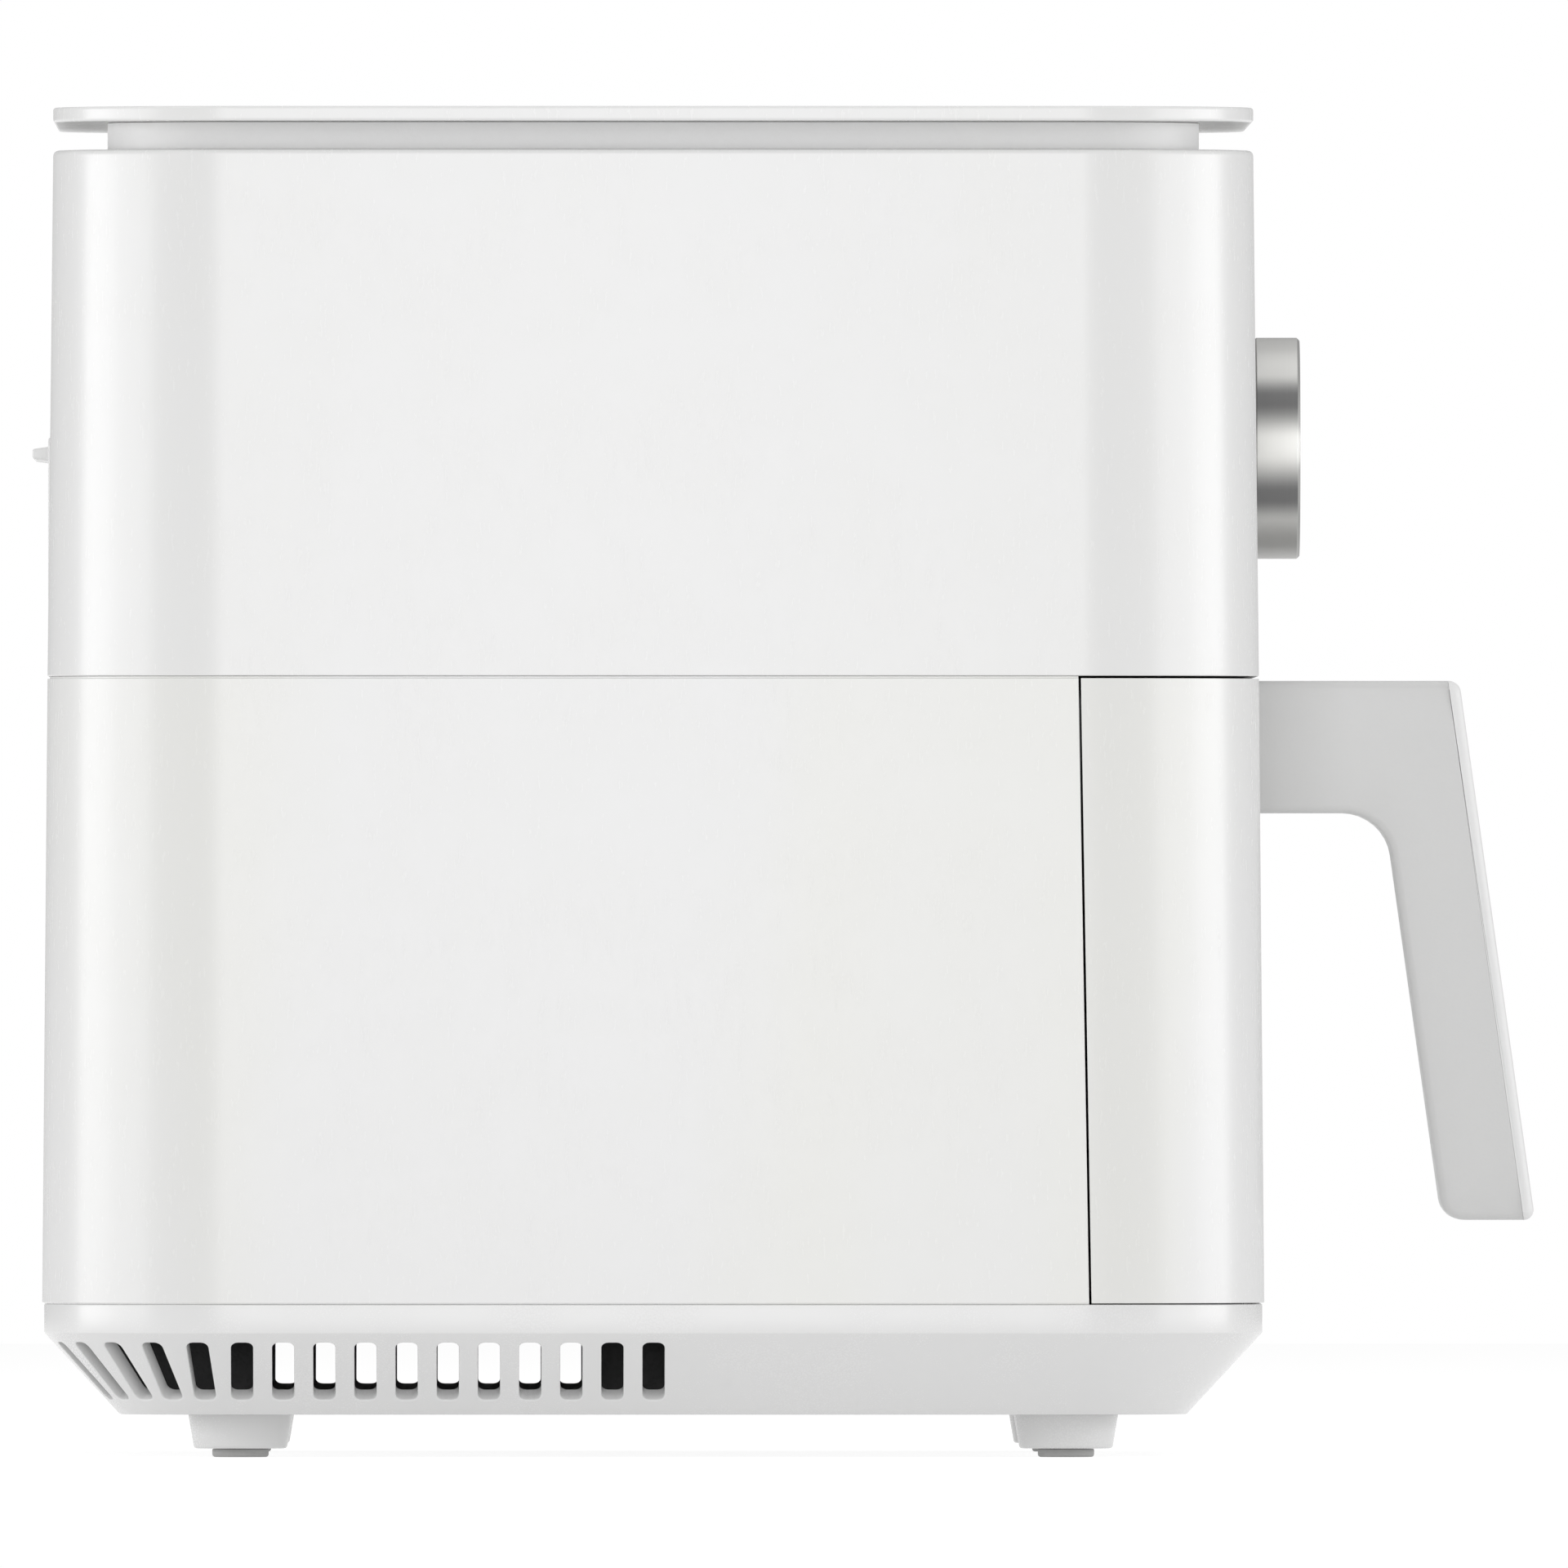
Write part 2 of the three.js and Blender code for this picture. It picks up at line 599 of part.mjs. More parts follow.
/** A round-ended bar square to the sloped skirt, to cut one vent. */
function ventCutter({ x, y, z, facing }) {
  const slope = Math.hypot(SKIRT_HEIGHT, SKIRT_INSET);
  const half = (VENT_HEIGHT * slope) / SKIRT_HEIGHT / 2;
  const end = VENT_WIDTH / 2;
  const quarterEnd = (side, top) => [
    [side * end, top * (half - end)],
    [(side * end) / 2, top * (half - end * VENT_SHOULDER)],
  ];
  const corners = [
    ...quarterEnd(1, -1).reverse(),
    ...quarterEnd(1, 1),
    ...quarterEnd(-1, 1).reverse(),
    ...quarterEnd(-1, -1),
  ];
  const options = { depth: 3 * SKIRT_WALL, bevelEnabled: false };
  const bar = new THREE.ExtrudeGeometry(roundedShape(corners), options);
  bar.translate(0, 0, -2 * SKIRT_WALL);
  const [out, up] = [SKIRT_INSET / slope, SKIRT_HEIGHT / slope];
  const uphill = new THREE.Vector3(Math.cos(facing) * out, Math.sin(facing) * out, up);
  const outward = new THREE.Vector3(Math.cos(facing) * up, Math.sin(facing) * up, -out);
  const across = new THREE.Vector3().crossVectors(uphill, outward);
  const turn = new THREE.Matrix4().makeBasis(across, uphill, outward);
  return bar.applyMatrix4(turn.setPosition(x, y, z));
}

/** The space inside the base, drawn in by inset, from z0 up. */
function baseCavity(z0, inset) {
  const sideways = (SKIRT_WALL * Math.hypot(SKIRT_HEIGHT, SKIRT_INSET)) / SKIRT_HEIGHT;
  const knee = zBand + ((sideways - WALL) * SKIRT_HEIGHT) / SKIRT_INSET;
  return drafted(body, [
    [z0, skirtInset(z0) + sideways + inset],
    [knee, BAND_INSET + WALL + inset],
    [zBaseTop + PAST, BAND_INSET + WALL + inset],
  ]);
}

/** The base: an upright band, a sloped skirt with its vents, and the floor. */
function basePan() {
  const outside = drafted(body, [
    [zUnderside, BAND_INSET + SKIRT_INSET],
    [zBand, BAND_INSET],
    [zBaseTop, BAND_INSET],
  ]);
  const numbers = Array.from({ length: ventPath().gaps + 1 }, (_, number) => number);
  const vents = numbers.map((number) => ventCutter(ventPlace(number)));
  return cut(outside, baseCavity(zFloor, 0), ...vents);
}

/** The lid of the base, whose hanging ribs wall off the duct that crosses it. */
function baseDeck() {
  const z0 = zFloor + SEAT;
  const front = -ductX(DUCT_FIRST_VENT - 0.5);
  const rear = -ductX(DUCT_LAST_VENT + 0.5);
  const far = BODY_WIDTH;
  const screen = BODY_WIDTH / 2 - CORNER_RADIUS;
  const ribs = [
    box(front, front + RIB, -far, far, z0, zDeck),
    box(rear - RIB, rear, -far, far, z0, zDeck),
  ];
  [-1, 1].forEach((side) => {
    const y = side * screen;
    ribs.push(box(front, VENT_PITCH, y - RIB / 2, y + RIB / 2, z0, zDeck));
    ribs.push(box(-BODY_LENGTH / 2, rear, y - RIB / 2, y + RIB / 2, z0, zDeck));
  });
  const lid = box(-BODY_LENGTH, BODY_LENGTH, -far, far, zDeck - DECK_THICKNESS, zDeck);
  const deck = common(join(lid, ...ribs), baseCavity(z0, FIT));
  return cut(deck, ...airRisers(zDeck - DECK_THICKNESS, zDeck));
}

/** A foot, drawn at the middle of the object. */
function foot() {
  const cone = turned([
    [0, PAD_HEIGHT],
    [FOOT_BOTTOM_RADIUS - FOOT_EDGE, PAD_HEIGHT],
    [FOOT_BOTTOM_RADIUS, PAD_HEIGHT + FOOT_EDGE],
    [FOOT_TOP_RADIUS, zUnderside - SEAT],
    [0, zUnderside - SEAT],
  ]);
  return cut(cone, rod(PAD_STEM_RADIUS + FIT, 0, PAD_HEIGHT + PAD_SOCKET + FIT));
}

/** A rubber pad, whose stem sits in its foot. */
function footPad() {
  return turned([
    [0, 0],
    [PAD_RADIUS - FOOT_EDGE, 0],
    [PAD_RADIUS, FOOT_EDGE],
    [PAD_RADIUS, PAD_HEIGHT - SEAT],
    [PAD_STEM_RADIUS, PAD_HEIGHT - SEAT],
    [PAD_STEM_RADIUS, PAD_HEIGHT + PAD_SOCKET],
    [0, PAD_HEIGHT + PAD_SOCKET],
  ], COARSE);
}

/** The four feet's axes, by name. */
function footPlaces() {
  const x = BODY_LENGTH / 2 - FOOT_SPREAD;
  const y = BODY_WIDTH / 2 - FOOT_SPREAD;
  return { front_left: [x, -y], front_right: [x, y], rear_left: [-x, -y], rear_right: [-x, y] };
}

// ---------------------------------------------------------------- rear

/** The louvred cover over the rear outlet, with the lip over its louvres. */
function airOutletCover() {
  const z0 = zSeam + OUTLET_BOTTOM;
  const z1 = z0 + OUTLET_HEIGHT;
  const outer = -(BODY_LENGTH / 2 - bodyInset((z0 + z1) / 2)) - OUTLET_PROUD;
  const half = OUTLET_WIDTH / 2;
  const panel = box(outer, outer + OUTLET_DEPTH, -half, half, z0, z1);
  const slots = [];
  const cell = (OUTLET_WIDTH - 2 * LOUVRE_MARGIN) / LOUVRE_COLUMNS;
  for (let row = 0; row < LOUVRE_ROWS; row += 1) {
    for (let column = 0; column < LOUVRE_COLUMNS; column += 1) {
      const y = -half + LOUVRE_MARGIN + column * cell + LOUVRE_BAR / 2;
      const z = z0 + LOUVRE_BAR + row * LOUVRE_PITCH;
      slots.push(box(outer - PAST, 0, y, y + cell - LOUVRE_BAR, z, z + LOUVRE_HEIGHT));
    }
  }
  const top = z1 - LIP_DROP;
  const fall = (LIP_ROOT - LIP_TIP) / 2;
  const lip = sideSlab([
    [outer + OUTLET_DEPTH / 2, top - LIP_ROOT],
    [outer + OUTLET_DEPTH / 2, top],
    [outer, top],
    [outer - LIP_REACH, top - fall],
    [outer - LIP_REACH, top - fall - LIP_TIP],
    [outer, top - LIP_ROOT],
  ], -half + LOUVRE_BAR, half - LOUVRE_BAR);
  return join(cut(panel, ...slots), lip);
}

/** The duct from above the hood to the rear outlet, open at both ends. */
function exhaustDuct() {
  const outletBack = -(BODY_LENGTH / 2 - SHOULDER_INSET) + OUTLET_DEPTH + FIT;
  const z0 = zHoodTop + FIT;
  const z1 = zSeam + OUTLET_BOTTOM + OUTLET_HEIGHT - LIP_ROOT;
  const half = OUTLET_WIDTH / 2 - LOUVRE_BAR;
  const outside = box(outletBack, outletBack + DUCT_REACH, -half, half, z0, z1);
  const near = half - DUCT_WALL;
  const inside = box(-BODY_LENGTH, BODY_LENGTH, -near, near, z0 + DUCT_WALL, z1 - DUCT_WALL);
  return cut(outside, inside);
}

/** The grommet that lines the cord's hole, flush with the back. */
function cordGland() {
  const outer = -(BODY_LENGTH / 2 - bodyInset(zGland)) + FIT;
  const length = WALL + GLAND_NOSE;
  const bore = GLAND_RADIUS - GLAND_WALL;
  const collar = GLAND_RADIUS + GLAND_COLLAR;
  const bush = turned([
    [bore, 0],
    [GLAND_RADIUS, 0],
    [GLAND_RADIUS, WALL],
    [collar, WALL],
    [collar, WALL + GLAND_COLLAR_THICKNESS],
    [GLAND_RADIUS - GLAND_TAPER, length],
    [bore, length],
  ], COARSE);
  return bush.rotateY(Math.PI / 2).translate(outer, glandSide, zGland);
}

// ---------------------------------------------------------------- chamber

/** The metal box round the pot, open at the front, with the heater's hole in its top. */
function chamberLiner() {
  const length = 2 * (linerFront - linerRear);
  const plan = { length, width: 2 * linerSide, radius: LINER_RADIUS };
  const outside = plate(plan, zLiner, zLinerTop, linerFront);
  const inside = plate(shrink(plan, SHEET), zLiner + SHEET, zLinerTop - SHEET, linerFront);
  const front = box(linerFront, BODY_LENGTH * 2, -BODY_WIDTH, BODY_WIDTH, 0, zTop);
  const hole = rod(hoodInside - HOOD_FLANGE / 2, zLinerTop - 2 * SHEET, zLinerTop + PAST, FINE);
  return cut(outside, inside, front, hole.translate(axisX, 0, 0));
}

/** The ring that closes the space between the liner and the lower housing. */
function frontFrame() {
  const z0 = zBaseTop + SEAT;
  const z1 = zSeam - FIT;
  const wide = bodyBlock(z0, z1, WALL + FIT);
  const sheet = common(wide, box(frameBack, frameFront, -BODY_WIDTH, BODY_WIDTH, z0, z1));
  const side = linerSide - SHEET;
  const [low, high] = [zLiner + SHEET, zLinerTop - SHEET];
  const tall = { length: high - low, width: 2 * side, radius: FRAME_OPENING_RADIUS };
  const opening = plate(tall, frameBack - PAST, frameFront + PAST).rotateY(Math.PI / 2);
  opening.translate(0, 0, (low + high) / 2);
  const [y, z] = plungerPlace();
  return cut(sheet, opening, pin(PLUNGER_RADIUS + FIT, frameBack - PAST, frameFront + PAST, y, z));
}

/** A runner under one side of the pot's flange. */
function rail(side) {
  const top = zRim - POT_WALL - FIT;
  const outer = linerSide - SHEET - FIT;
  const inner = potSide - POT_FLANGE + RUN;
  const corners = [
    [inner, top - RAIL_THICKNESS],
    [outer - RAIL_THICKNESS, top - RAIL_THICKNESS],
    [outer - RAIL_THICKNESS, top - RAIL_DEPTH],
    [outer, top - RAIL_DEPTH],
    [outer, top],
    [inner, top],
  ].map(([y, z]) => [side * y, z]);
  const [from, to] = [linerRear + LINER_RADIUS, linerFront - FIT];
  const options = { depth: to - from, bevelEnabled: false };
  const bar = new THREE.ExtrudeGeometry(roundedShape(corners), options);
  const turn = new THREE.Matrix4().makeBasis(
    new THREE.Vector3(0, 1, 0),
    new THREE.Vector3(0, 0, 1),
    new THREE.Vector3(1, 0, 0),
  );
  return bar.applyMatrix4(turn.setPosition(from, 0, 0));
}

/** The inverted pan over the heater, with holes for the shaft, the terminals and the sensor. */
function reflectorHood() {
  const shaftHole = FAN_HUB_RADIUS + HOOD_SPACE;
  const pan = turned([
    [hoodInside, zHood],
    [hoodFlangeRadius, zHood],
    [hoodFlangeRadius, zHood + SHEET],
    [hoodRadius, zHood + SHEET],
    [hoodRadius, zHoodTop],
    [shaftHole, zHoodTop],
    [shaftHole, zHoodTop - SHEET],
    [hoodInside, zHoodTop - SHEET],
  ]);
  const [z0, z1] = [zHoodTop - 2 * SHEET, zHoodTop + SHEET];
  const terminal = rod(HEATER_RADIUS + FIT, z0, z1);
  const terminals = heaterTerminals().map(({ x, y }) => terminal.clone().translate(x, y, 0));
  const [x, y] = sensorPlace();
  return cut(pan, ...terminals, rod(SENSOR_BODY_RADIUS + FIT, z0, z1).translate(x, y, 0));
}

/** A point at a radius and a turn about the hood's axis. */
function around(radius, turn, z = 0) {
  return new THREE.Vector3(radius * Math.cos(turn), radius * Math.sin(turn), z);
}

/** Where the heater's two ends stand, about the hood's axis. */
function heaterTerminals() {
  const radius = hoodRadius - TERMINAL_MARGIN;
  return [around(radius, 0), around(radius, -TERMINAL_SPACING / radius)];
}

/** Two arms of one spiral, joined by a bend at the middle, with both ends turned up through the hood. */
function heaterElement() {
  const coil = (outer, turn) => around(outer - (HEATER_PITCH * turn) / Math.PI, turn, zHeater);
  const [first, second] = heaterTerminals();
  const end = 2 * Math.PI * HEATER_TURNS;
  const points = HEATER_CURVE_POINTS;
  const turns = Array.from({ length: points + 1 }, (_, i) => (end * i) / points);
  const inward = turns.slice(1).map((turn) => coil(heaterOuter, turn));
  const outward = turns.map((turn) => coil(heaterOuter - HEATER_PITCH, turn)).reverse();
  const bend = around(heaterOuter - HEATER_PITCH * (2 * HEATER_TURNS + 0.5), end, zHeater);
  bend.add(around(HEATER_PITCH / 2, end + Math.PI / 2));
  const bendRadius = HEATER_BEND;
  const path = new THREE.CatmullRomCurve3([
    first.clone().setZ(zHoodTop + TERMINAL_RISE),
    first.clone().setZ(zHeater + 2 * bendRadius),
    first.clone().setZ(zHeater + bendRadius),
    around(heaterOuter + TERMINAL_RUN, bendRadius / heaterOuter, zHeater),
    ...inward.slice(1),
    bend,
    ...outward,
    around(heaterOuter - HEATER_PITCH / 2, (HEATER_PITCH - TERMINAL_SPACING) / heaterOuter, zHeater),
    second.clone().setZ(zHeater + bendRadius),
    second.clone().setZ(zHeater + 2 * bendRadius),
    second.clone().setZ(zHoodTop + TERMINAL_RISE),
  ], false, "centripetal");
  const section = new THREE.Shape().absarc(0, 0, HEATER_RADIUS, 0, 2 * Math.PI);
  const options = { steps: HEATER_STEPS, extrudePath: path, curveSegments: COARSE / 3 };
  return new THREE.ExtrudeGeometry(section, options);
}

/** A bar from the liner's top in under the heater's turns, drawn along X. */
function heaterSupport() {
  const top = zHeater - HEATER_RADIUS - FIT;
  const outer = hoodInside - SUPPORT_GAP;
  const inner = heaterOuter - HEATER_PITCH * (2 * HEATER_TURNS + 1) - HEATER_RADIUS;
  const half = SUPPORT_WIDTH / 2;
  return box(inner, outer, -half, half, top - SUPPORT_THICKNESS, top);
}

/** The round wire grille under the heater. */
function heaterGuard() {
  const z1 = zLinerTop - SHEET - FIT;
  const z0 = z1 - GUARD_WIRE;
  const outer = hoodInside;
  const step = (outer - FAN_HUB_RADIUS) / GUARD_RINGS;
  const wires = Array.from({ length: GUARD_RINGS }, (_, i) => {
    const radius = outer - i * step;
    return ring(radius - GUARD_WIRE, radius, z0, z1, GUARD_STEPS);
  });
  const reach = outer - GUARD_WIRE / 2;
  const spoke = () => box(-reach, reach, -GUARD_WIRE / 2, GUARD_WIRE / 2, z0, z1);
  const spokes = [0, 1, 2].map((i) => spoke().rotateZ((i * Math.PI) / 3));
  return join(wires[0], ...wires.slice(1), ...spokes);
}

// ---------------------------------------------------------------- fans and motor
// Drawn about the hood's axis.

/** Radial blades from the hub out to a radius. */
function blades(radius, z0, z1) {
  const [inner, outer] = [FAN_HUB_RADIUS - FAN_BLADE, radius - FAN_BLADE];
  const blade = box(inner, outer, -FAN_BLADE / 2, FAN_BLADE / 2, z0, z1);
  const turns = Array.from({ length: FAN_BLADES }, (_, i) => (i * 2 * Math.PI) / FAN_BLADES);
  return turns.map((turn) => blade.clone().rotateZ(turn));
}

/** A fan of upright blades on a disc, with a bored hub. */
function fan(radius, disc, z0, z1) {
  const web = rod(radius, disc, disc + FAN_BLADE, FINE);
  const low = Math.min(z0, disc) - FAN_HUB_OVERHANG;
  const hub = rod(FAN_HUB_RADIUS, low, Math.max(z1, disc) + FAN_BLADE, COARSE);
  const bore = rod(SHAFT_RADIUS + FIT, z0 - HOOD_HEIGHT, z1 + HOOD_HEIGHT, COARSE);
  return cut(join(web, hub, ...blades(radius, z0, z1)), bore);
}

const zHotFanDisc = zHoodTop - SHEET - FAN_GAP - FAN_BLADE;
const zHotFanBottom = zHotFanDisc - HOT_FAN_DEPTH;
const zCoolingDisc = zHoodTop + COOLING_FAN_RISE;
const zNutTop = zHotFanBottom - FAN_HUB_OVERHANG - SEAT;
const zCanTop = zBracketTop + CAN_HEIGHT;
const zStator = zBracketTop + BEARING_HEIGHT + WINDING_HEIGHT;

function hotFan() {
  return fan(fanRadius, zHotFanDisc, zHotFanBottom, zHotFanDisc + FAN_BLADE / 2);
}

function coolingFan() {
  const z1 = zCoolingDisc + COOLING_FAN_DEPTH;
  return fan(COOLING_FAN_RADIUS, zCoolingDisc, zCoolingDisc + FAN_BLADE / 2, z1);
}

/** The hexagonal nut that holds the hot fan. */
function fanNut() {
  return cut(rod(NUT_RADIUS, zNutTop - NUT_HEIGHT, zNutTop, HEXAGON), rod(SHAFT_RADIUS + FIT, 0, zTop));
}

function motorShaft() {
  return rod(SHAFT_RADIUS, zNutTop - NUT_HEIGHT - SHAFT_TIP, zCanTop + SHAFT_TAIL);
}

/** A strap over the cooling fan that stands on the middle plate. */
function motorBracket() {
  const y1 = hoodRadius + BRACKET_SPREAD;
  const low = zMidPlateTop + SEAT;
  const t = BRACKET_THICKNESS;
  const half = BRACKET_WIDTH / 2;
  const top = box(-half, half, -y1, y1, zBracket, zBracketTop);
  const legs = [-1, 1].flatMap((side) => {
    const leg = box(-half, half, y1 - t, y1, low, zBracketTop);
    const toe = box(-half, half, y1 - t, y1 + BRACKET_FOOT, low, low + t);
    return side > 0 ? [leg, toe] : [leg.rotateZ(Math.PI), toe.rotateZ(Math.PI)];
  });
  return cut(join(top, ...legs), rod(BEARING_RADIUS + FIT, zBracket - PAST, zBracketTop + PAST));
}

/** A plain bearing ring that starts at z0. */
function bearing(z0) {
  return ring(SHAFT_RADIUS + FIT, BEARING_RADIUS, z0, z0 + BEARING_HEIGHT, COARSE);
}

/** The motor's deep-drawn can, open below. */
function motorCan() {
  const z0 = zBracketTop + SEAT;
  return turned([
    [CAN_RADIUS - SHEET, z0],
    [CAN_RADIUS, z0],
    [CAN_RADIUS, zCanTop],
    [BEARING_RADIUS + FIT, zCanTop],
    [BEARING_RADIUS + FIT, zCanTop - SHEET],
    [CAN_RADIUS - SHEET, zCanTop - SHEET],
  ]);
}

/** The laminated ring with its windings standing proud above and below. */
function motorStator() {
  const inner = ROTOR_RADIUS + AIR_GAP;
  const outer = CAN_RADIUS - SHEET - FIT;
  const margin = (outer - inner) * WINDING_MARGIN;
  const [low, high] = [zStator - WINDING_HEIGHT, zStator + STATOR_HEIGHT + WINDING_HEIGHT];
  const z1 = zStator + STATOR_HEIGHT;
  return turned([
    [inner, zStator],
    [inner + margin, zStator],
    [inner + margin, low],
    [outer - margin, low],
    [outer - margin, zStator],
    [outer, zStator],
    [outer, z1],
    [outer - margin, z1],
    [outer - margin, high],
    [inner + margin, high],
    [inner + margin, z1],
    [inner, z1],
  ]);
}

function motorRotor() {
  const [z0, z1] = [zStator + ROTOR_SHORT, zStator + STATOR_HEIGHT - ROTOR_SHORT];
  return ring(SHAFT_RADIUS + FIT, ROTOR_RADIUS, z0, z1);
}

/** Where the chamber's temperature probe stands, about the hood's axis. */
function sensorPlace() {
  const place = around(hoodRadius - TERMINAL_MARGIN, (2 * Math.PI) / 3);
  return [place.x, place.y];
}

/** A slim probe with a collar that rests on the hood. */
function temperatureSensor() {
  const [x, y] = sensorPlace();
  const collar = zHoodTop + SEAT;
  const probe = turned([
    [0, zHeater],
    [SENSOR_PROBE_RADIUS, zHeater],
    [SENSOR_PROBE_RADIUS, collar],
    [SENSOR_COLLAR_RADIUS, collar],
    [SENSOR_COLLAR_RADIUS, collar + SENSOR_COLLAR_HEIGHT],
    [SENSOR_BODY_RADIUS, collar + SENSOR_COLLAR_HEIGHT],
    [SENSOR_BODY_RADIUS, collar + SENSOR_BODY_HEIGHT],
    [0, collar + SENSOR_BODY_HEIGHT],
  ], COARSE);
  return probe.translate(x, y, 0);
}

/** The thermal cutout: a round can with two tabs on the hood. */
function thermalCutout() {
  const z0 = zHoodTop + SEAT;
  const can = turned([
    [0, z0],
    [CUTOUT_RADIUS, z0],
    [CUTOUT_RADIUS, z0 + CUTOUT_SHOULDER],
    [CUTOUT_CAP_RADIUS, z0 + CUTOUT_HEIGHT],
    [0, z0 + CUTOUT_HEIGHT],
  ], COARSE);
  const { reach, half, low, high } = CUTOUT_TAB;
  const tabs = box(-reach, reach, -half, half, z0 + low, z0 + high);
  const { x, y } = around(hoodRadius - CUTOUT_MARGIN, (-2 * Math.PI) / 3);
  return join(can.translate(x, y, 0), tabs.translate(x, y, 0));
}

// ---------------------------------------------------------------- electronics

/** The power board's edges: [x0, x1, y0, y1]. */
function powerBoardArea() {
  const x1 = BODY_LENGTH / 2 - SHOULDER_INSET - 3 * WALL;
  const half = POWER_BOARD_LENGTH / 2;
  return [x1 - POWER_BOARD_WIDTH, x1, -half, half];
}

/** The four posts that the power board stands on. */
function boardPosts() {
  const [x0, x1, y0, y1] = powerBoardArea();
  const edge = 2 * BOLT_RADIUS;
  return [x0 + edge, x1 - edge].flatMap((x) => [y0 + edge, y1 - edge].map((y) => [x, y]));
}

/** The mains board with its relay, transformer, capacitors and fuse. */
function powerBoard() {
  const [x0, x1, y0, y1] = powerBoardArea();
  const z0 = zMidPlateTop + POWER_BOARD_RISE;
  const z1 = z0 + BOARD_THICKNESS;
  const base = z1 - BOARD_THICKNESS / 2;
  const middle = (x0 + x1) / 2;
  const part = (half, from, to, height) => box(middle - half, middle + half, from, to, base, z1 + height);
  const relay = part(RELAY.half, y0 + RELAY.from, y0 + RELAY.to, RELAY.height);
  const { halfX, halfY, height } = TRANSFORMER;
  const transformer = part(halfX, -halfY, halfY, height);
  const fuse = part(FUSE.half, y1 - FUSE.from, y1 - FUSE.to, FUSE.height);
  const capacitors = [-1, 1].map((side) => {
    const can = rod(CAPACITOR.radius, base, z1 + CAPACITOR.height);
    return can.translate(middle + side * CAPACITOR.offset, y1 - CAPACITOR.from, 0);
  });
  return join(box(x0, x1, y0, y1, z0, z1), relay, transformer, fuse, ...capacitors);
}

// ---------------------------------------------------------------- dial
// Drawn with its axis along Z and the housing's face at 0.

/** The fixed tube that the dial turns on, with its flange behind the housing's wall. */
function knobHub() {
  const inner = hubRadius - HUB_WALL;
  const back = -CONTROL_BOARD_SETBACK + FIT;
  const flange = -WALL - 2 * FIT;
  return turned([
    [inner, back],
    [hubRadius, back],
    [hubRadius, flange - HUB_FLANGE_THICKNESS],
    [hubRadius + HUB_FLANGE, flange - HUB_FLANGE_THICKNESS],
    [hubRadius + HUB_FLANGE, flange],
    [hubRadius, flange],
    [hubRadius, DIAL_PROUD - 2 * DIAL_EDGE],
    [inner, DIAL_PROUD - 2 * DIAL_EDGE],
  ]);
}

/** The turning ring, with a fine chamfer at its front and back. */
function knobRing() {
  const inner = DIAL_RADIUS - DIAL_WALL;
  return turned([
    [inner, FIT],
    [DIAL_RADIUS - DIAL_EDGE, FIT],
    [DIAL_RADIUS, FIT + DIAL_EDGE],
    [DIAL_RADIUS, DIAL_PROUD - DIAL_EDGE],
    [DIAL_RADIUS - DIAL_EDGE, DIAL_PROUD],
    [inner, DIAL_PROUD],
  ], DIAL_STEPS);
}

/** The pressed centre: a cup for the lens, with a stem to the board's switch. */
function buttonCap() {
  const front = DIAL_PROUD - DIAL_EDGE;
  const back = front - BUTTON_DEPTH;
  const recess = front - LENS_THICKNESS - FIT;
  const lens = buttonRadius - LENS_EDGE + FIT;
  const tip = -CONTROL_BOARD_SETBACK + TACT_SWITCH.height + BUTTON_TRAVEL + FIT;
  return turned([
    [0, tip],
    [BUTTON_STEM_RADIUS, tip],
    [BUTTON_STEM_RADIUS, back],
    [buttonRadius, back],
    [buttonRadius, front],
    [lens, front],
    [lens, recess],
    [0, recess],
  ]);
}

function displayLens() {
  const front = DIAL_PROUD - DIAL_EDGE;
  return rod(buttonRadius - LENS_EDGE, front - LENS_THICKNESS, front, FINE);
}

/** The board behind the dial, with its press switch and its plug. */
function controlBoard() {
  const front = -CONTROL_BOARD_SETBACK;
  const half = CONTROL_BOARD_SIZE / 2;
  const sheet = box(-half, half, -half, half, front - BOARD_THICKNESS, front);
  const base = front - BOARD_THICKNESS / 2;
  const tact = TACT_SWITCH.half;
  const key = box(-tact, tact, -tact, tact, base, front + TACT_SWITCH.height);
  const back = front - BOARD_THICKNESS - BOARD_PLUG.depth;
  const reach = BOARD_PLUG.half;
  const plug = box(half - BOARD_PLUG.from, half - BOARD_PLUG.to, -reach, reach, back, base);
  return join(sheet, key, plug);
}

// ---------------------------------------------------------------- drawer

/** The drawer's front: a hollow cap with the housing's own outline. */
function drawerFront() {
  const z0 = zBaseTop + SEAM_GAP / 2;
  const z1 = zSeam - SEAM_GAP / 2;
  const skin = cut(bodyBlock(z0, z1, 0), bodyBlock(z0 + WALL, z1 - WALL, WALL));
  const holes = boltHeights().map((z) => pin(BOLT_RADIUS + FIT, 0, BODY_LENGTH, 0, z));
  return cut(common(skin, aheadOfSeam(SEAM_GAP / 2)), ...holes);
}

/** The plate that closes the back of the drawer's front. */
function drawerInnerCover() {
  const z0 = zBaseTop + SEAM_GAP / 2 + WALL + FIT;
  const z1 = zSeam - SEAM_GAP / 2 - WALL - FIT;
  const slab = box(coverBack, coverFront, -BODY_WIDTH, BODY_WIDTH, z0, z1);
  return common(bodyBlock(z0, z1, WALL + RUN), slab);
}

/** The pot's outline at its flange. */
function potPlan() {
  return { length: potFront - potRear, width: 2 * potSide, radius: POT_RADIUS };
}

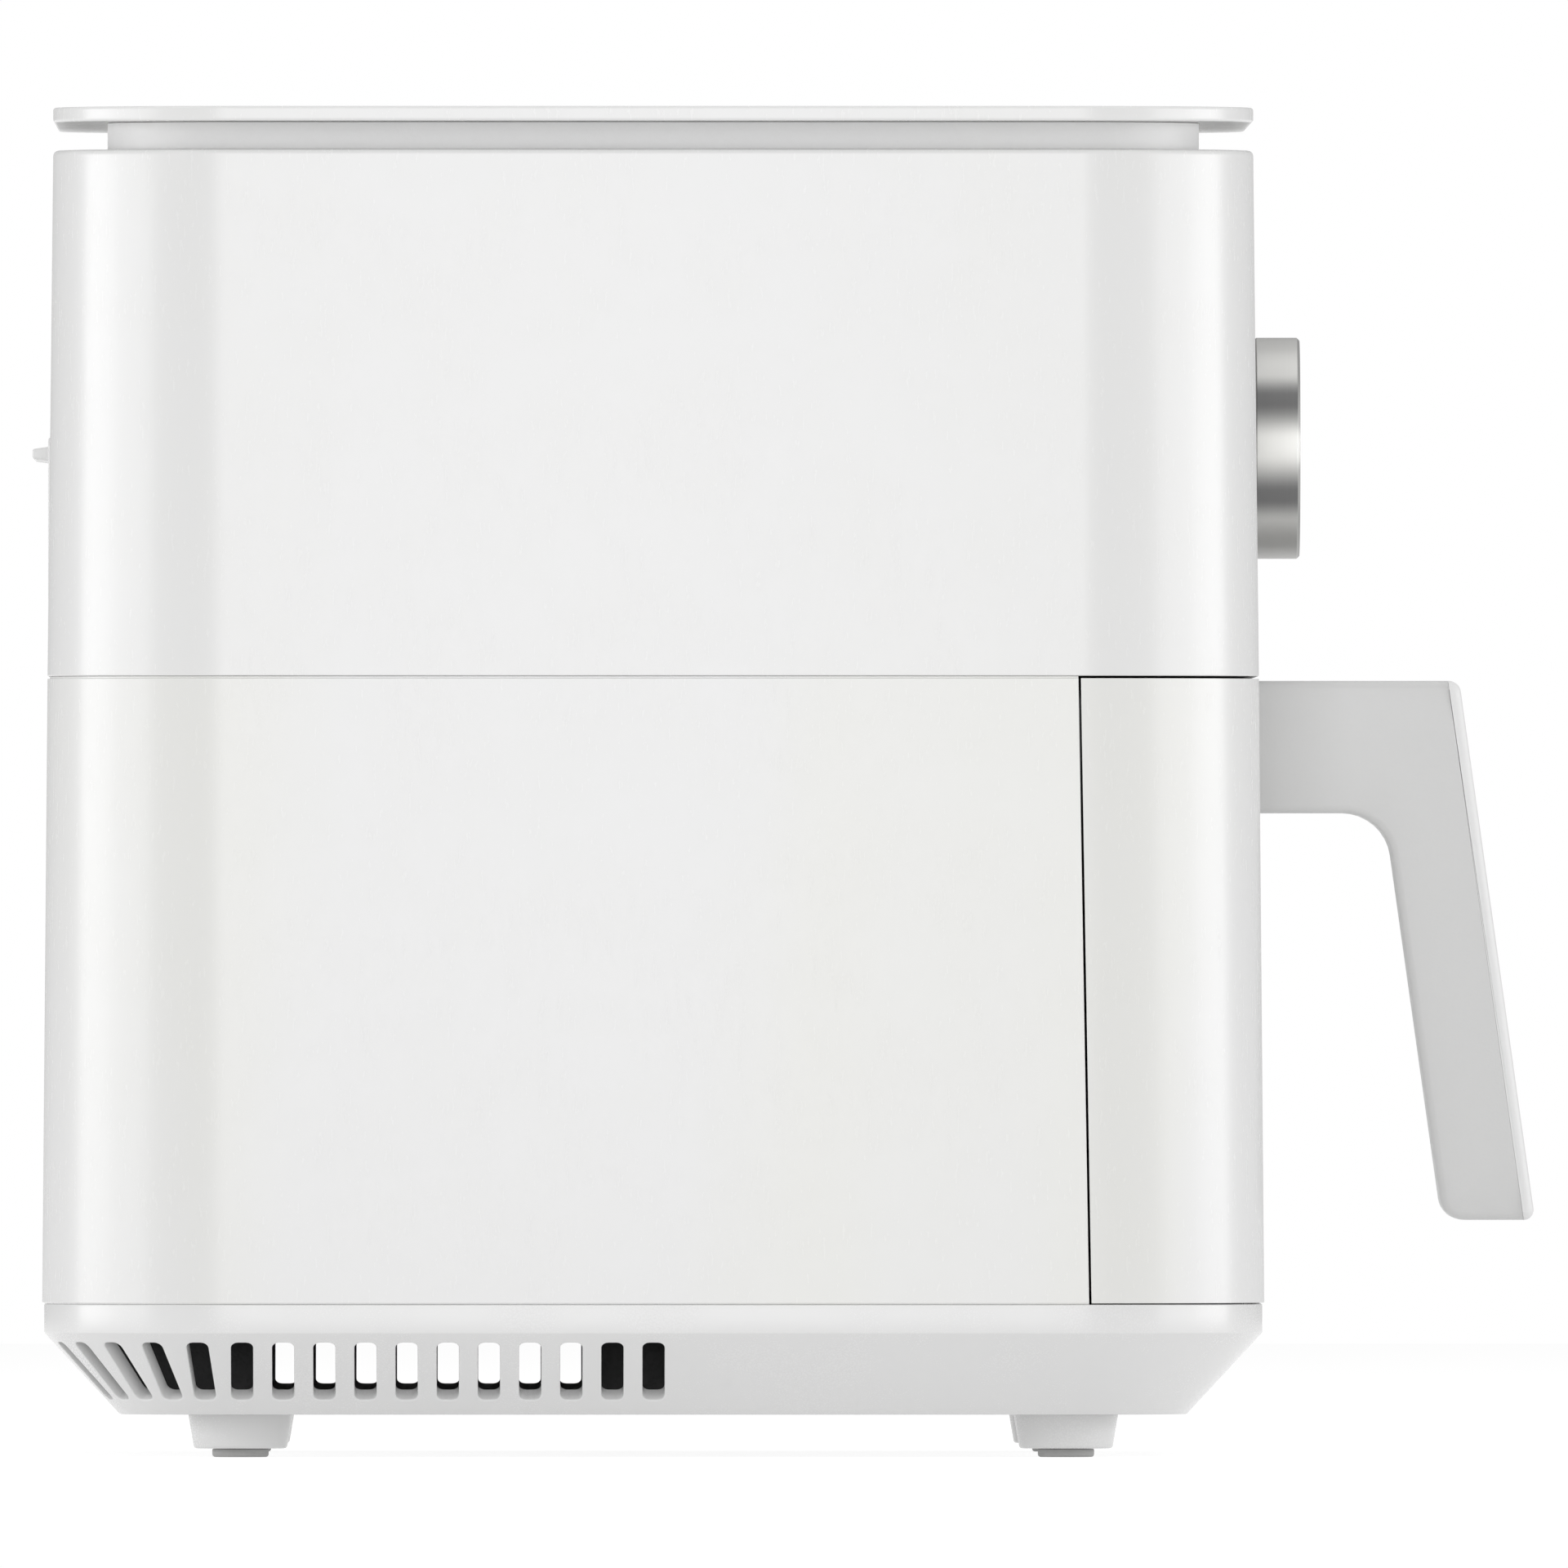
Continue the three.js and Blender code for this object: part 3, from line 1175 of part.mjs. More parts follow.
/** A deep-drawn pot with a rolled-out flange. */
function fryPot() {
  const plan = potPlan();
  const outside = drafted(plan, [
    [zPotBottom, POT_FLANGE + POT_DRAFT + POT_KNUCKLE],
    [zPotBottom + POT_KNUCKLE, POT_FLANGE + POT_DRAFT],
    [zRim - POT_WALL / 2, POT_FLANGE],
  ], axisX);
  const flange = plate(plan, zRim - POT_WALL, zRim, axisX);
  const inside = drafted(plan, [
    [zPotFloor, POT_FLANGE + POT_DRAFT + POT_WALL + POT_KNUCKLE],
    [zPotFloor + POT_KNUCKLE, POT_FLANGE + POT_DRAFT + POT_WALL],
    [zRim + PAST, POT_FLANGE + POT_WALL],
  ], axisX);
  return cut(join(outside, flange), inside);
}

/** How far the pot's inner wall stands in from its flange at height z. */
function potInset(z) {
  const rise = (z - zPotFloor) / (zRim - zPotFloor);
  return POT_FLANGE + POT_WALL + POT_DRAFT * (1 - rise);
}

/** The holes of the crisper tray, about the pot's axis. */
function trayHoles() {
  const plan = shrink(potPlan(), potInset(zTray) + TRAY_GAP);
  const reach = (size) => Math.floor((size / 2 - 2 * TRAY_HOLE_RADIUS) / TRAY_HOLE_PITCH);
  const [columns, rows] = [reach(plan.length), reach(plan.width)];
  const places = [];
  for (let i = -columns; i <= columns; i += 1) {
    for (let j = -rows; j <= rows; j += 1) {
      if (Math.abs(i) + Math.abs(j) < columns + rows) {
        places.push([axisX + i * TRAY_HOLE_PITCH, j * TRAY_HOLE_PITCH]);
      }
    }
  }
  return places;
}

/** The perforated plate that food lies on. */
function crisperTray() {
  const plan = shrink(potPlan(), potInset(zTray) + TRAY_GAP);
  const top = zTray + TRAY_THICKNESS;
  const hole = rod(TRAY_HOLE_RADIUS, zTray - PAST, top + PAST, HEXAGON);
  const holes = trayHoles().map(([x, y]) => hole.clone().translate(x, y, 0));
  return cut(plate(plan, zTray, top, axisX), ...holes);
}

/** A silicone clip on the middle of one edge of the tray, which stands on the pot's floor. */
function trayBumper(alongX) {
  const plan = shrink(potPlan(), potInset(zTray) + TRAY_GAP);
  const edge = (alongX ? plan.length : plan.width) / 2;
  const outer = edge + TRAY_GAP - (POT_DRAFT * TRAY_RISE) / (zRim - zPotFloor) - FIT;
  const half = BUMPER_LENGTH / 2;
  const inner = outer - BUMPER_DEPTH;
  const z0 = zPotFloor + POT_KNUCKLE;
  const clip = box(inner, outer, -half, half, z0, zTray + TRAY_THICKNESS + BUMPER_CAP);
  const toe = outer - POT_WALL - POT_KNUCKLE;
  const leg = box(inner, toe, -half, half, zPotFloor + SEAT, z0 + PAST);
  const [low, high] = [zTray - FIT, zTray + TRAY_THICKNESS + FIT];
  const groove = box(0, edge + FIT, -half - PAST, half + PAST, low, high);
  return cut(join(clip, leg), groove);
}

// ---------------------------------------------------------------- handle

/** Heights of the two bolts through the drawer's front. */
function boltHeights() {
  const middle = zArm - ARM_HEIGHT / 2;
  return [middle - BOLT_SPACING / 2, middle + BOLT_SPACING / 2];
}

/** The arm and the leaning grip, seen from the side, as [x, z, radius] corners. */
function handleOutline() {
  const face = BODY_LENGTH / 2 - SEAM_INSET;
  const low = zArm - HANDLE_HEIGHT;
  const outer = face + HANDLE_REACH;
  const lean = (z) => GRIP_LEAN * (zArm - z);
  const armLow = zArm - ARM_HEIGHT;
  return [
    [face - WALL, zArm],
    [outer, zArm, GRIP_TOP_RADIUS],
    [outer + lean(low), low, GRIP_TOE_RADIUS],
    [outer + lean(low) - GRIP_THICKNESS, low, GRIP_HEEL_RADIUS],
    [outer + lean(armLow) - GRIP_THICKNESS, armLow, GRIP_THROAT_RADIUS],
    [face - WALL, armLow],
  ];
}

/** Everything outside the leaning line that lies depth in from the grip's outer face. */
function outsideGrip(depth) {
  const outer = BODY_LENGTH / 2 - SEAM_INSET + HANDLE_REACH - depth;
  const far = outer + HANDLE_HEIGHT;
  const [high, low] = [zArm + WALL, zArm - HANDLE_HEIGHT - WALL];
  const lean = (z) => outer + GRIP_LEAN * (zArm - z);
  const corners = [[lean(low), low], [far, low], [far, high], [lean(high), high]];
  return sideSlab(corners, -HANDLE_WIDTH, HANDLE_WIDTH);
}

/** The whole handle, cover and all, with its root shaped to the drawer's face. */
function handleForm() {
  const half = HANDLE_WIDTH / 2;
  return cut(sideSlab(handleOutline(), -half, half), bodyBlock(zBaseTop, zSeam, -FIT));
}

/** The handle's structural half: a solid arm and a grip hollowed from its outer face. */
function handle() {
  const half = HANDLE_WIDTH / 2 - GRIP_WALL;
  const low = zArm - HANDLE_HEIGHT + 2 * GRIP_WALL;
  const band = box(0, BODY_LENGTH, -half, half, low, zArm - GRIP_WALL);
  const hollow = common(outsideGrip(GRIP_THICKNESS - GRIP_WALL), band);
  const face = BODY_LENGTH / 2;
  const holes = boltHeights().map((z) => pin(BOLT_RADIUS + FIT, 0, face + BOLT_GRIP + FIT, 0, z));
  return cut(handleForm(), outsideGrip(COVER_THICKNESS + FIT), hollow, ...holes);
}

/** The strip that closes the grip's outer face. */
function handleCover() {
  return common(handleForm(), outsideGrip(COVER_THICKNESS));
}

/** A pan-head bolt from inside the drawer's front into the handle. */
function handleBolt(z) {
  const face = BODY_LENGTH / 2 - bodyInset(z);
  const back = face - WALL - FIT;
  const shank = pin(BOLT_RADIUS, back - SEAT, face + BOLT_GRIP - RUN, 0, z);
  return join(pin(BOLT_HEAD_RADIUS, back - BOLT_HEAD_HEIGHT, back, 0, z), shank);
}

// ---------------------------------------------------------------- drawer switch

/** The plunger's [y, z]. */
function plungerPlace() {
  return [linerSide + SWITCH_OFFSET, zSeam - SWITCH_DROP];
}

/** The switch's case behind the front frame, bored for its plunger. */
function switchBody() {
  const [y, z] = plungerPlace();
  const [depth, width, height] = SWITCH_SIZE;
  const front = frameBack - FIT;
  const back = front - depth;
  const shell = box(back, front, y - width / 2, y + width / 2, z - height / 2, z + height / 2);
  return cut(shell, pin(PLUNGER_RADIUS + FIT, back + SWITCH_BACK_WALL, front + PAST, y, z));
}

/** The pin that the drawer's inner cover holds in. */
function switchPlunger() {
  const [y, z] = plungerPlace();
  const bottom = frameBack - FIT - SWITCH_SIZE[0] + SWITCH_BACK_WALL;
  return pin(PLUNGER_RADIUS, bottom + PLUNGER_SPACE, coverBack - FIT, y, z);
}

// ---------------------------------------------------------------- assembly

/** Adds one named piece to a group and gives it back, so that it can be placed. */
function add(group, name, shape, material) {
  const mesh = new THREE.Mesh(geometryOf(shape), material);
  mesh.name = name;
  group.add(mesh);
  return mesh;
}

function buildHousing(group) {
  add(group, "top_plate", topPlate(), glossWhite);
  add(group, "top_neck", topNeck(), paleGrey);
  add(group, "upper_housing", upperHousing(), glossWhite);
  add(group, "lower_housing", lowerHousing(), glossWhite);
  add(group, "mid_plate", midPlate(), blackPlastic);
  add(group, "base_pan", basePan(), satinWhite);
  add(group, "base_deck", baseDeck(), blackPlastic);
  add(group, "air_outlet_cover", airOutletCover(), satinWhite);
  add(group, "exhaust_duct", exhaustDuct(), blackPlastic);
  add(group, "cord_gland", cordGland(), greyRubber);
  Object.entries(footPlaces()).forEach(([place, [x, y]]) => {
    add(group, "foot_" + place, foot(), satinWhite).position.set(x, y, 0);
    add(group, "foot_pad_" + place, footPad(), greyRubber).position.set(x, y, 0);
  });
}

function buildChamber(group) {
  add(group, "chamber_liner", chamberLiner(), zincSheet);
  add(group, "front_frame", frontFrame(), blackPlastic);
  add(group, "rail_left", rail(-1), steel);
  add(group, "rail_right", rail(1), steel);
}

function buildHeater(group) {
  add(group, "reflector_hood", reflectorHood(), zincSheet);
  add(group, "heater_element", heaterElement(), heaterMetal);
  add(group, "heater_guard", heaterGuard(), steel);
  [1, 3, 5].forEach((sixth, i) => {
    const support = add(group, "heater_support_" + (i + 1), heaterSupport(), zincSheet);
    support.rotation.z = (sixth * Math.PI) / 3;
  });
  add(group, "temperature_sensor", temperatureSensor(), steel);
  add(group, "thermal_cutout", thermalCutout(), blackPlastic);
}

function buildMotor(group) {
  add(group, "motor_bracket", motorBracket(), zincSheet);
  add(group, "motor_can", motorCan(), steel);
  add(group, "motor_stator", motorStator(), copper);
  add(group, "bearing_lower", bearing(zBracket), steel);
  add(group, "bearing_upper", bearing(zCanTop - BEARING_HEIGHT + BEARING_PROUD), steel);
  add(group, "motor_shaft", motorShaft(), steel);
  add(group, "motor_rotor", motorRotor(), steel);
  add(group, "cooling_fan", coolingFan(), blackPlastic);
  add(group, "hot_fan", hotFan(), zincSheet);
  add(group, "fan_nut", fanNut(), steel);
}

function buildControls(group) {
  add(group, "knob_hub", knobHub(), blackPlastic);
  add(group, "knob_ring", knobRing(), satinMetal);
  add(group, "button_cap", buttonCap(), blackPlastic);
  add(group, "display_lens", displayLens(), darkGlass);
  add(group, "control_board", controlBoard(), boardGreen);
}

function buildDrawer(group) {
  add(group, "drawer_front", drawerFront(), glossWhite);
  add(group, "drawer_inner_cover", drawerInnerCover(), blackPlastic);
  add(group, "fry_pot", fryPot(), darkCoat);
  add(group, "handle", handle(), paleGrey);
  add(group, "handle_cover", handleCover(), satinWhite);
  boltHeights().forEach((z, i) => add(group, "handle_bolt_" + (i + 1), handleBolt(z), steel));
  add(group, "crisper_tray", crisperTray(), darkCoat);
  ["front", "right", "rear", "left"].forEach((side, quarter) => {
    const bumper = add(group, "tray_bumper_" + side, trayBumper(quarter % 2 === 0), darkSilicone);
    bumper.position.x = axisX;
    bumper.rotation.z = (quarter * Math.PI) / 2;
  });
}

function buildSwitch(group) {
  add(group, "switch_body", switchBody(), blackPlastic);
  add(group, "switch_plunger", switchPlunger(), paleGrey);
}

const fryer = new THREE.Group();
[buildHousing, buildChamber, buildDrawer, buildSwitch].forEach((build) => {
  const group = new THREE.Group();
  build(group);
  fryer.add(group);
});

const heat = new THREE.Group();
buildHeater(heat);
buildMotor(heat);
heat.position.x = axisX;
fryer.add(heat);

const controls = new THREE.Group();
buildControls(controls);
controls.position.set(dialFace, 0, zDial);
controls.rotation.y = Math.PI / 2;
fryer.add(controls);

add(fryer, "power_board", powerBoard(), boardGreen);

const footprint = new THREE.Box3().setFromObject(fryer);
fryer.position.x = -(footprint.min.x + footprint.max.x) / 2;

export default fryer;
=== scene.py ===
"""Looks of a drawer air fryer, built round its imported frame.

Shapes are worked out in millimetres in the frame's own axes: +X to the front, +Y to the right of
someone who faces the front, +Z up. Each mesh is scaled to metres as it is made.
"""

import logging
import math
from collections.abc import Callable, Sequence
from dataclasses import dataclass, field
from enum import Enum, StrEnum, auto

import bmesh
import bpy
import numpy as np
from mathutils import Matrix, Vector


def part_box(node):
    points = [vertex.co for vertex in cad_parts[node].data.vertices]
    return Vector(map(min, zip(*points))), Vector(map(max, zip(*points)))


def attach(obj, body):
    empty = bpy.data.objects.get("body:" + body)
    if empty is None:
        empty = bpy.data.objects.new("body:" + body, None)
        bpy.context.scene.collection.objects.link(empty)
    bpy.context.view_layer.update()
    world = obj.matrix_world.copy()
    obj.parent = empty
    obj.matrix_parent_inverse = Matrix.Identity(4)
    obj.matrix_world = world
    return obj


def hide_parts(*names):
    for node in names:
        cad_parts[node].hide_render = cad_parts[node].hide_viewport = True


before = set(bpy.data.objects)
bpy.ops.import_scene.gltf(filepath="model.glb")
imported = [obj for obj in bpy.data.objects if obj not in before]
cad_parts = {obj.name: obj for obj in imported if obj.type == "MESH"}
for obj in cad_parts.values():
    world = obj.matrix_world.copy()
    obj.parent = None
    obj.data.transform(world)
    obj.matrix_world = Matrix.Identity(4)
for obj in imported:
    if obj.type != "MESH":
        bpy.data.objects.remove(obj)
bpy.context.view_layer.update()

Array = np.ndarray
Colour = tuple[float, float, float]
MM = 0.001
QUARTER = math.pi / 2
log = logging.getLogger("air_fryer")


class Body(StrEnum):
    """The bodies that pieces ride on."""

    HOUSING = auto()
    DRAWER = auto()
    TRAY = auto()
    DIAL = auto()
    BUTTON = auto()
    FAN = auto()
    PLUNGER = auto()


class Slot(StrEnum):
    """The record's material slots."""

    GLOSS_WHITE = auto()
    SATIN_WHITE = auto()
    PALE_GREY = auto()
    BLACK_PLASTIC = auto()
    GREY_RUBBER = auto()
    SILICONE = auto()
    SATIN_METAL = auto()
    ZINC_SHEET = auto()
    BRIGHT_STEEL = auto()
    DARK_COAT = auto()
    HEATER_SHEATH = auto()
    COPPER_WINDING = auto()
    CIRCUIT_BOARD = auto()
    DISPLAY_GLASS = auto()
    PLUNGER_PLASTIC = auto()


class Axis(Enum):
    """Which way a turned or extruded shape's own third axis points."""

    X = (2, 0, 1)
    Y = (0, 2, 1)
    Z = (0, 1, 2)


# Shapes


def unit(vectors: Array) -> Array:
    """Vectors along the last axis, each divided by its own length."""
    return vectors / np.maximum(np.linalg.norm(vectors, axis=-1, keepdims=True), 1e-12)


def facing(points: Array, axis: Axis, place: Sequence[float] = (0, 0, 0)) -> Array:
    """Turns points so that their third axis lies along a frame axis, and moves them to a place."""
    return points[..., list(axis.value)] + np.asarray(place, float)


def rounded(corners: Sequence, radii: float | Sequence, steps: int = 5, closed: bool = True) -> Array:
    """Rounds an outline's corners.

    An arc's middle lies on its corner's bisector, radius / sin(half angle) from the corner, and the
    arc meets each side radius / tan(half angle) from the corner.

    Args:
        corners: The outline's corners, in order.
        radii: One radius, or one for each corner.
        steps: Segments of an arc.
        closed: False for an open path, whose ends stay sharp.

    Returns:
        The points of the outline.
    """
    here = np.asarray(corners, float)
    radius = np.broadcast_to(np.asarray(radii, float), len(here)).copy()
    if not closed:
        radius[[0, -1]] = 0
    back = unit(np.roll(here, 1, axis=0) - here)
    ahead = unit(np.roll(here, -1, axis=0) - here)
    half = np.arccos(np.clip((back * ahead).sum(axis=1), -1, 1)) / 2
    reach = (radius / np.maximum(np.tan(half), 1e-9))[:, None]
    middle = here + unit(back + ahead) * (radius / np.maximum(np.sin(half), 1e-9))[:, None]
    start, end = here + back * reach - middle, here + ahead * reach - middle
    first = np.arctan2(start[:, 1], start[:, 0])
    sweep = (np.arctan2(end[:, 1], end[:, 0]) - first + np.pi) % (2 * np.pi) - np.pi
    angle = first[:, None] + sweep[:, None] * np.linspace(0, 1, steps + 1)
    arc = middle[:, None] + radius[:, None, None] * np.stack([np.cos(angle), np.sin(angle)], axis=-1)
    points = arc.reshape(-1, 2)
    step = np.linalg.norm(points - np.roll(points, 1, axis=0), axis=1)
    keep = step > 1e-6
    keep[0] = keep[0] or not closed
    return points[keep]


def turned(profile: Array, segments: int) -> Array:
    """A surface of revolution: (radius, height) rows go round the third axis in even segments."""
    angle, (radius, height) = np.arange(segments) * 2 * np.pi / segments, profile.T[..., None]
    return np.stack([radius * np.cos(angle), radius * np.sin(angle), height + 0 * angle], axis=-1)


def tube(path: Array, radius: float, sides: int, hint: Array) -> Array:
    """A round tube: each path point carries a circle square to the path.

    The circle's first axis is the hint with its share along the path taken out, and its second is
    square to both.

    Args:
        path: Points along the middle.
        radius: The tube's radius.
        sides: Points of a circle.
        hint: A direction, or one for each point, never along the path.

    Returns:
        Points by path point and side.
    """
    tangent = unit(np.gradient(path, axis=0))
    hint = np.broadcast_to(np.asarray(hint, float), path.shape)
    first = unit(hint - (hint * tangent).sum(axis=1, keepdims=True) * tangent)
    second = np.cross(tangent, first)
    angle = np.arange(sides) * 2 * np.pi / sides
    spread = np.cos(angle)[:, None] * first[:, None] + np.sin(angle)[:, None] * second[:, None]
    return path[:, None] + radius * spread


@dataclass(frozen=True)
class Outline:
    """A flat outline whose sides can be drawn in by different shares."""

    corners: Sequence  # the corners, in order
    radii: Sequence  # each corner's radius
    shares: Sequence | None = None  # what share of a depth each side is drawn in by

    @classmethod
    def oblong(cls, low: Sequence[float], high: Sequence[float], radius: float) -> "Outline":
        """The rectangle between two corners, with one radius all round."""
        return cls([low, (high[0], low[1]), high, (low[0], high[1])], [radius] * 4)

    def at(self, depth: float) -> Array:
        """The outline drawn in by a depth.

        A corner moves so that it lies the wanted distance inside both of its sides, which is one
        pair of linear equations a corner. Outer radii shrink by the depth and inner ones grow.

        Args:
            depth: How far in.

        Returns:
            The points of the outline.
        """
        here = np.asarray(self.corners, float)
        share = np.ones(len(here)) if self.shares is None else np.asarray(self.shares, float)
        ahead = np.roll(here, -1, axis=0)
        side = unit(ahead - here)
        way = np.sign((here[:, 0] * ahead[:, 1] - ahead[:, 0] * here[:, 1]).sum())
        inward = way * np.stack([-side[:, 1], side[:, 0]], axis=-1)
        lines = np.stack([np.roll(inward, 1, axis=0), inward], axis=1)
        wanted = np.stack([np.roll(share, 1), share], axis=-1) * depth
        moved = here + np.linalg.solve(lines, wanted[..., None])[..., 0]
        last = np.roll(side, 1, axis=0)
        convex = way * (last[:, 0] * side[:, 1] - last[:, 1] * side[:, 0]) > 0
        radius = np.asarray(self.radii, float)
        changed = np.where(convex, radius - depth, radius + depth)
        return rounded(moved, np.where(radius > 0, np.maximum(changed, 0.02), 0), 8)

    def slab(self, low: float, high: float, edge: float, steps: int = 5,
             crown: tuple[float, float] | None = None) -> Array:
        """The outline raised from low to high, with rounded rims and, if wanted, swelling faces.

        At a turn t of the rim the outline is drawn in by edge * (1 - sin t) and stands
        edge * (1 - cos t) from the slab's face. A crowned face falls away towards the rim as
        swell * s * s, and the rim's turn starts at the slope that it ends with.

        Args:
            low: Where the slab starts.
            high: Where it ends.
            edge: Radius of the rims.
            steps: Segments of a rim.
            crown: How far in the faces are crowned, and by how much.

        Returns:
            Points by ring and outline point.
        """
        reach, swell = crown or (edge, 0.0)
        lean = math.atan2(2 * swell, reach - edge) if crown else 0.0
        turn = np.linspace(lean, QUARTER, steps + 1)
        depth, rise = edge * (1 - np.sin(turn)), swell + edge * (math.cos(lean) - np.cos(turn))
        if crown:
            share = np.linspace(0, 1, 2 * steps)[:-1]
            depth = np.concatenate([reach + share * (depth[0] - reach), depth])
            rise = np.concatenate([swell * share * share, rise])
        depths = np.concatenate([depth, depth[::-1]])
        heights = np.concatenate([low + rise, (high - rise)[::-1]])
        rings = [np.insert(self.at(inset), 2, height, axis=1) for inset, height in zip(depths, heights)]
        return np.stack(rings)


@dataclass(frozen=True)
class Plan:
    """A rounded rectangle seen from above."""

    length: float  # size along X
    width: float  # size along Y
    radius: float  # corner radius
    x: float  # where its middle lies
    steps: int  # segments of a corner

    @property
    def reach(self) -> Array:
        """From the middle to a corner arc's middle."""
        return np.array([self.length, self.width]) / 2 - self.radius

    def sweep(self, profile: Array) -> Array:
        """Carries a profile of (inset, z) rows round the plan.

        A point lies at its corner arc's middle + (radius - inset) * the direction faced.

        Args:
            profile: Rows of inset and height.

        Returns:
            Points by profile row and station.
        """
        angle = np.arange(4)[:, None] * QUARTER - QUARTER + np.linspace(0, QUARTER, self.steps + 1)
        direction = np.stack([np.cos(angle), np.sin(angle)], axis=-1)
        side = np.array([[1, -1], [1, 1], [-1, 1], [-1, -1]], float)
        middle = (side * self.reach)[:, None] + np.array([self.x, 0.0]) + 0 * direction
        return self._carry(profile, middle.reshape(1, -1, 2), direction.reshape(-1, 2))

    def shell(self, corners: Sequence, radii: Sequence, steps: int = 4) -> "Skin":
        """A solid from a path of (inset, z) corners, rounded and carried round the plan."""
        return Skin().closed(self.sweep(rounded(corners, radii, steps, closed=False)))

    def half(self, profile: Array, end: Callable[[Array], Array], side: int) -> Array:
        """Carries a profile round the part that lies ahead of or behind a line across.

        Where the line crosses a corner arc, the arc starts where its sine meets the line.

        Args:
            profile: Rows of inset and height.
            end: Gives the line's x at a height.
            side: 1 for the part ahead of the line, -1 for the part behind it.

        Returns:
            Points by profile row and station, from the left end to the right end.
        """
        line, centre = end(profile[:, 1]), self.x + side * self.reach[0]
        over = side * (line - centre) / np.maximum(self.radius - profile[:, 0], 0.001)
        first = np.arcsin(np.clip(over, 0, 1))[:, None]
        quarter = first + (QUARTER - first) * np.linspace(0, 1, self.steps + 1)
        turn = np.concatenate([first, quarter, np.pi - quarter[:, ::-1], np.pi - first], axis=1)
        direction = np.stack([side * np.sin(turn), -np.cos(turn)], axis=-1)
        across, half = self.reach[1], self.steps + 2
        middle = np.zeros((len(profile), 2 * half, 2))
        middle[..., 0] = centre
        middle[:, [0, -1], 0] = np.where(over > 0, centre, line)[:, None]
        middle[:, :half, 1], middle[:, half:, 1] = -across, across
        return self._carry(profile, middle, direction)

    def _carry(self, profile: Array, middle: Array, direction: Array) -> Array:
        """Points at middle + (radius - inset) * direction, at each profile row's height."""
        flat = middle + (self.radius - profile[:, 0])[:, None, None] * direction
        height = np.broadcast_to(profile[:, 1, None, None], (*flat.shape[:2], 1))
        return np.concatenate([flat, height], axis=-1)


@dataclass(frozen=True)
class Box:
    """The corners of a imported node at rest, in millimetres."""

    low: Array
    high: Array

    @classmethod
    def of(cls, node: str) -> "Box":
        """The box round a node."""
        return cls(*(np.array(list(corner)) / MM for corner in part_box(node)))

    @property
    def middle(self) -> Array:
        """Halfway between the corners."""
        return (self.low + self.high) / 2

    @property
    def size(self) -> Array:
        """From the low corner to the high one."""
        return self.high - self.low

    def ends(self, axis: int = 2) -> tuple[float, float]:
        """Where the box starts and ends along an axis, which is upright if none is named."""
        return float(self.low[axis]), float(self.high[axis])

    def on_line(self, x: float = 0.0) -> tuple[float, float, float]:
        """The point at x on the line along X through the box's middle."""
        return x, float(self.middle[1]), float(self.middle[2])


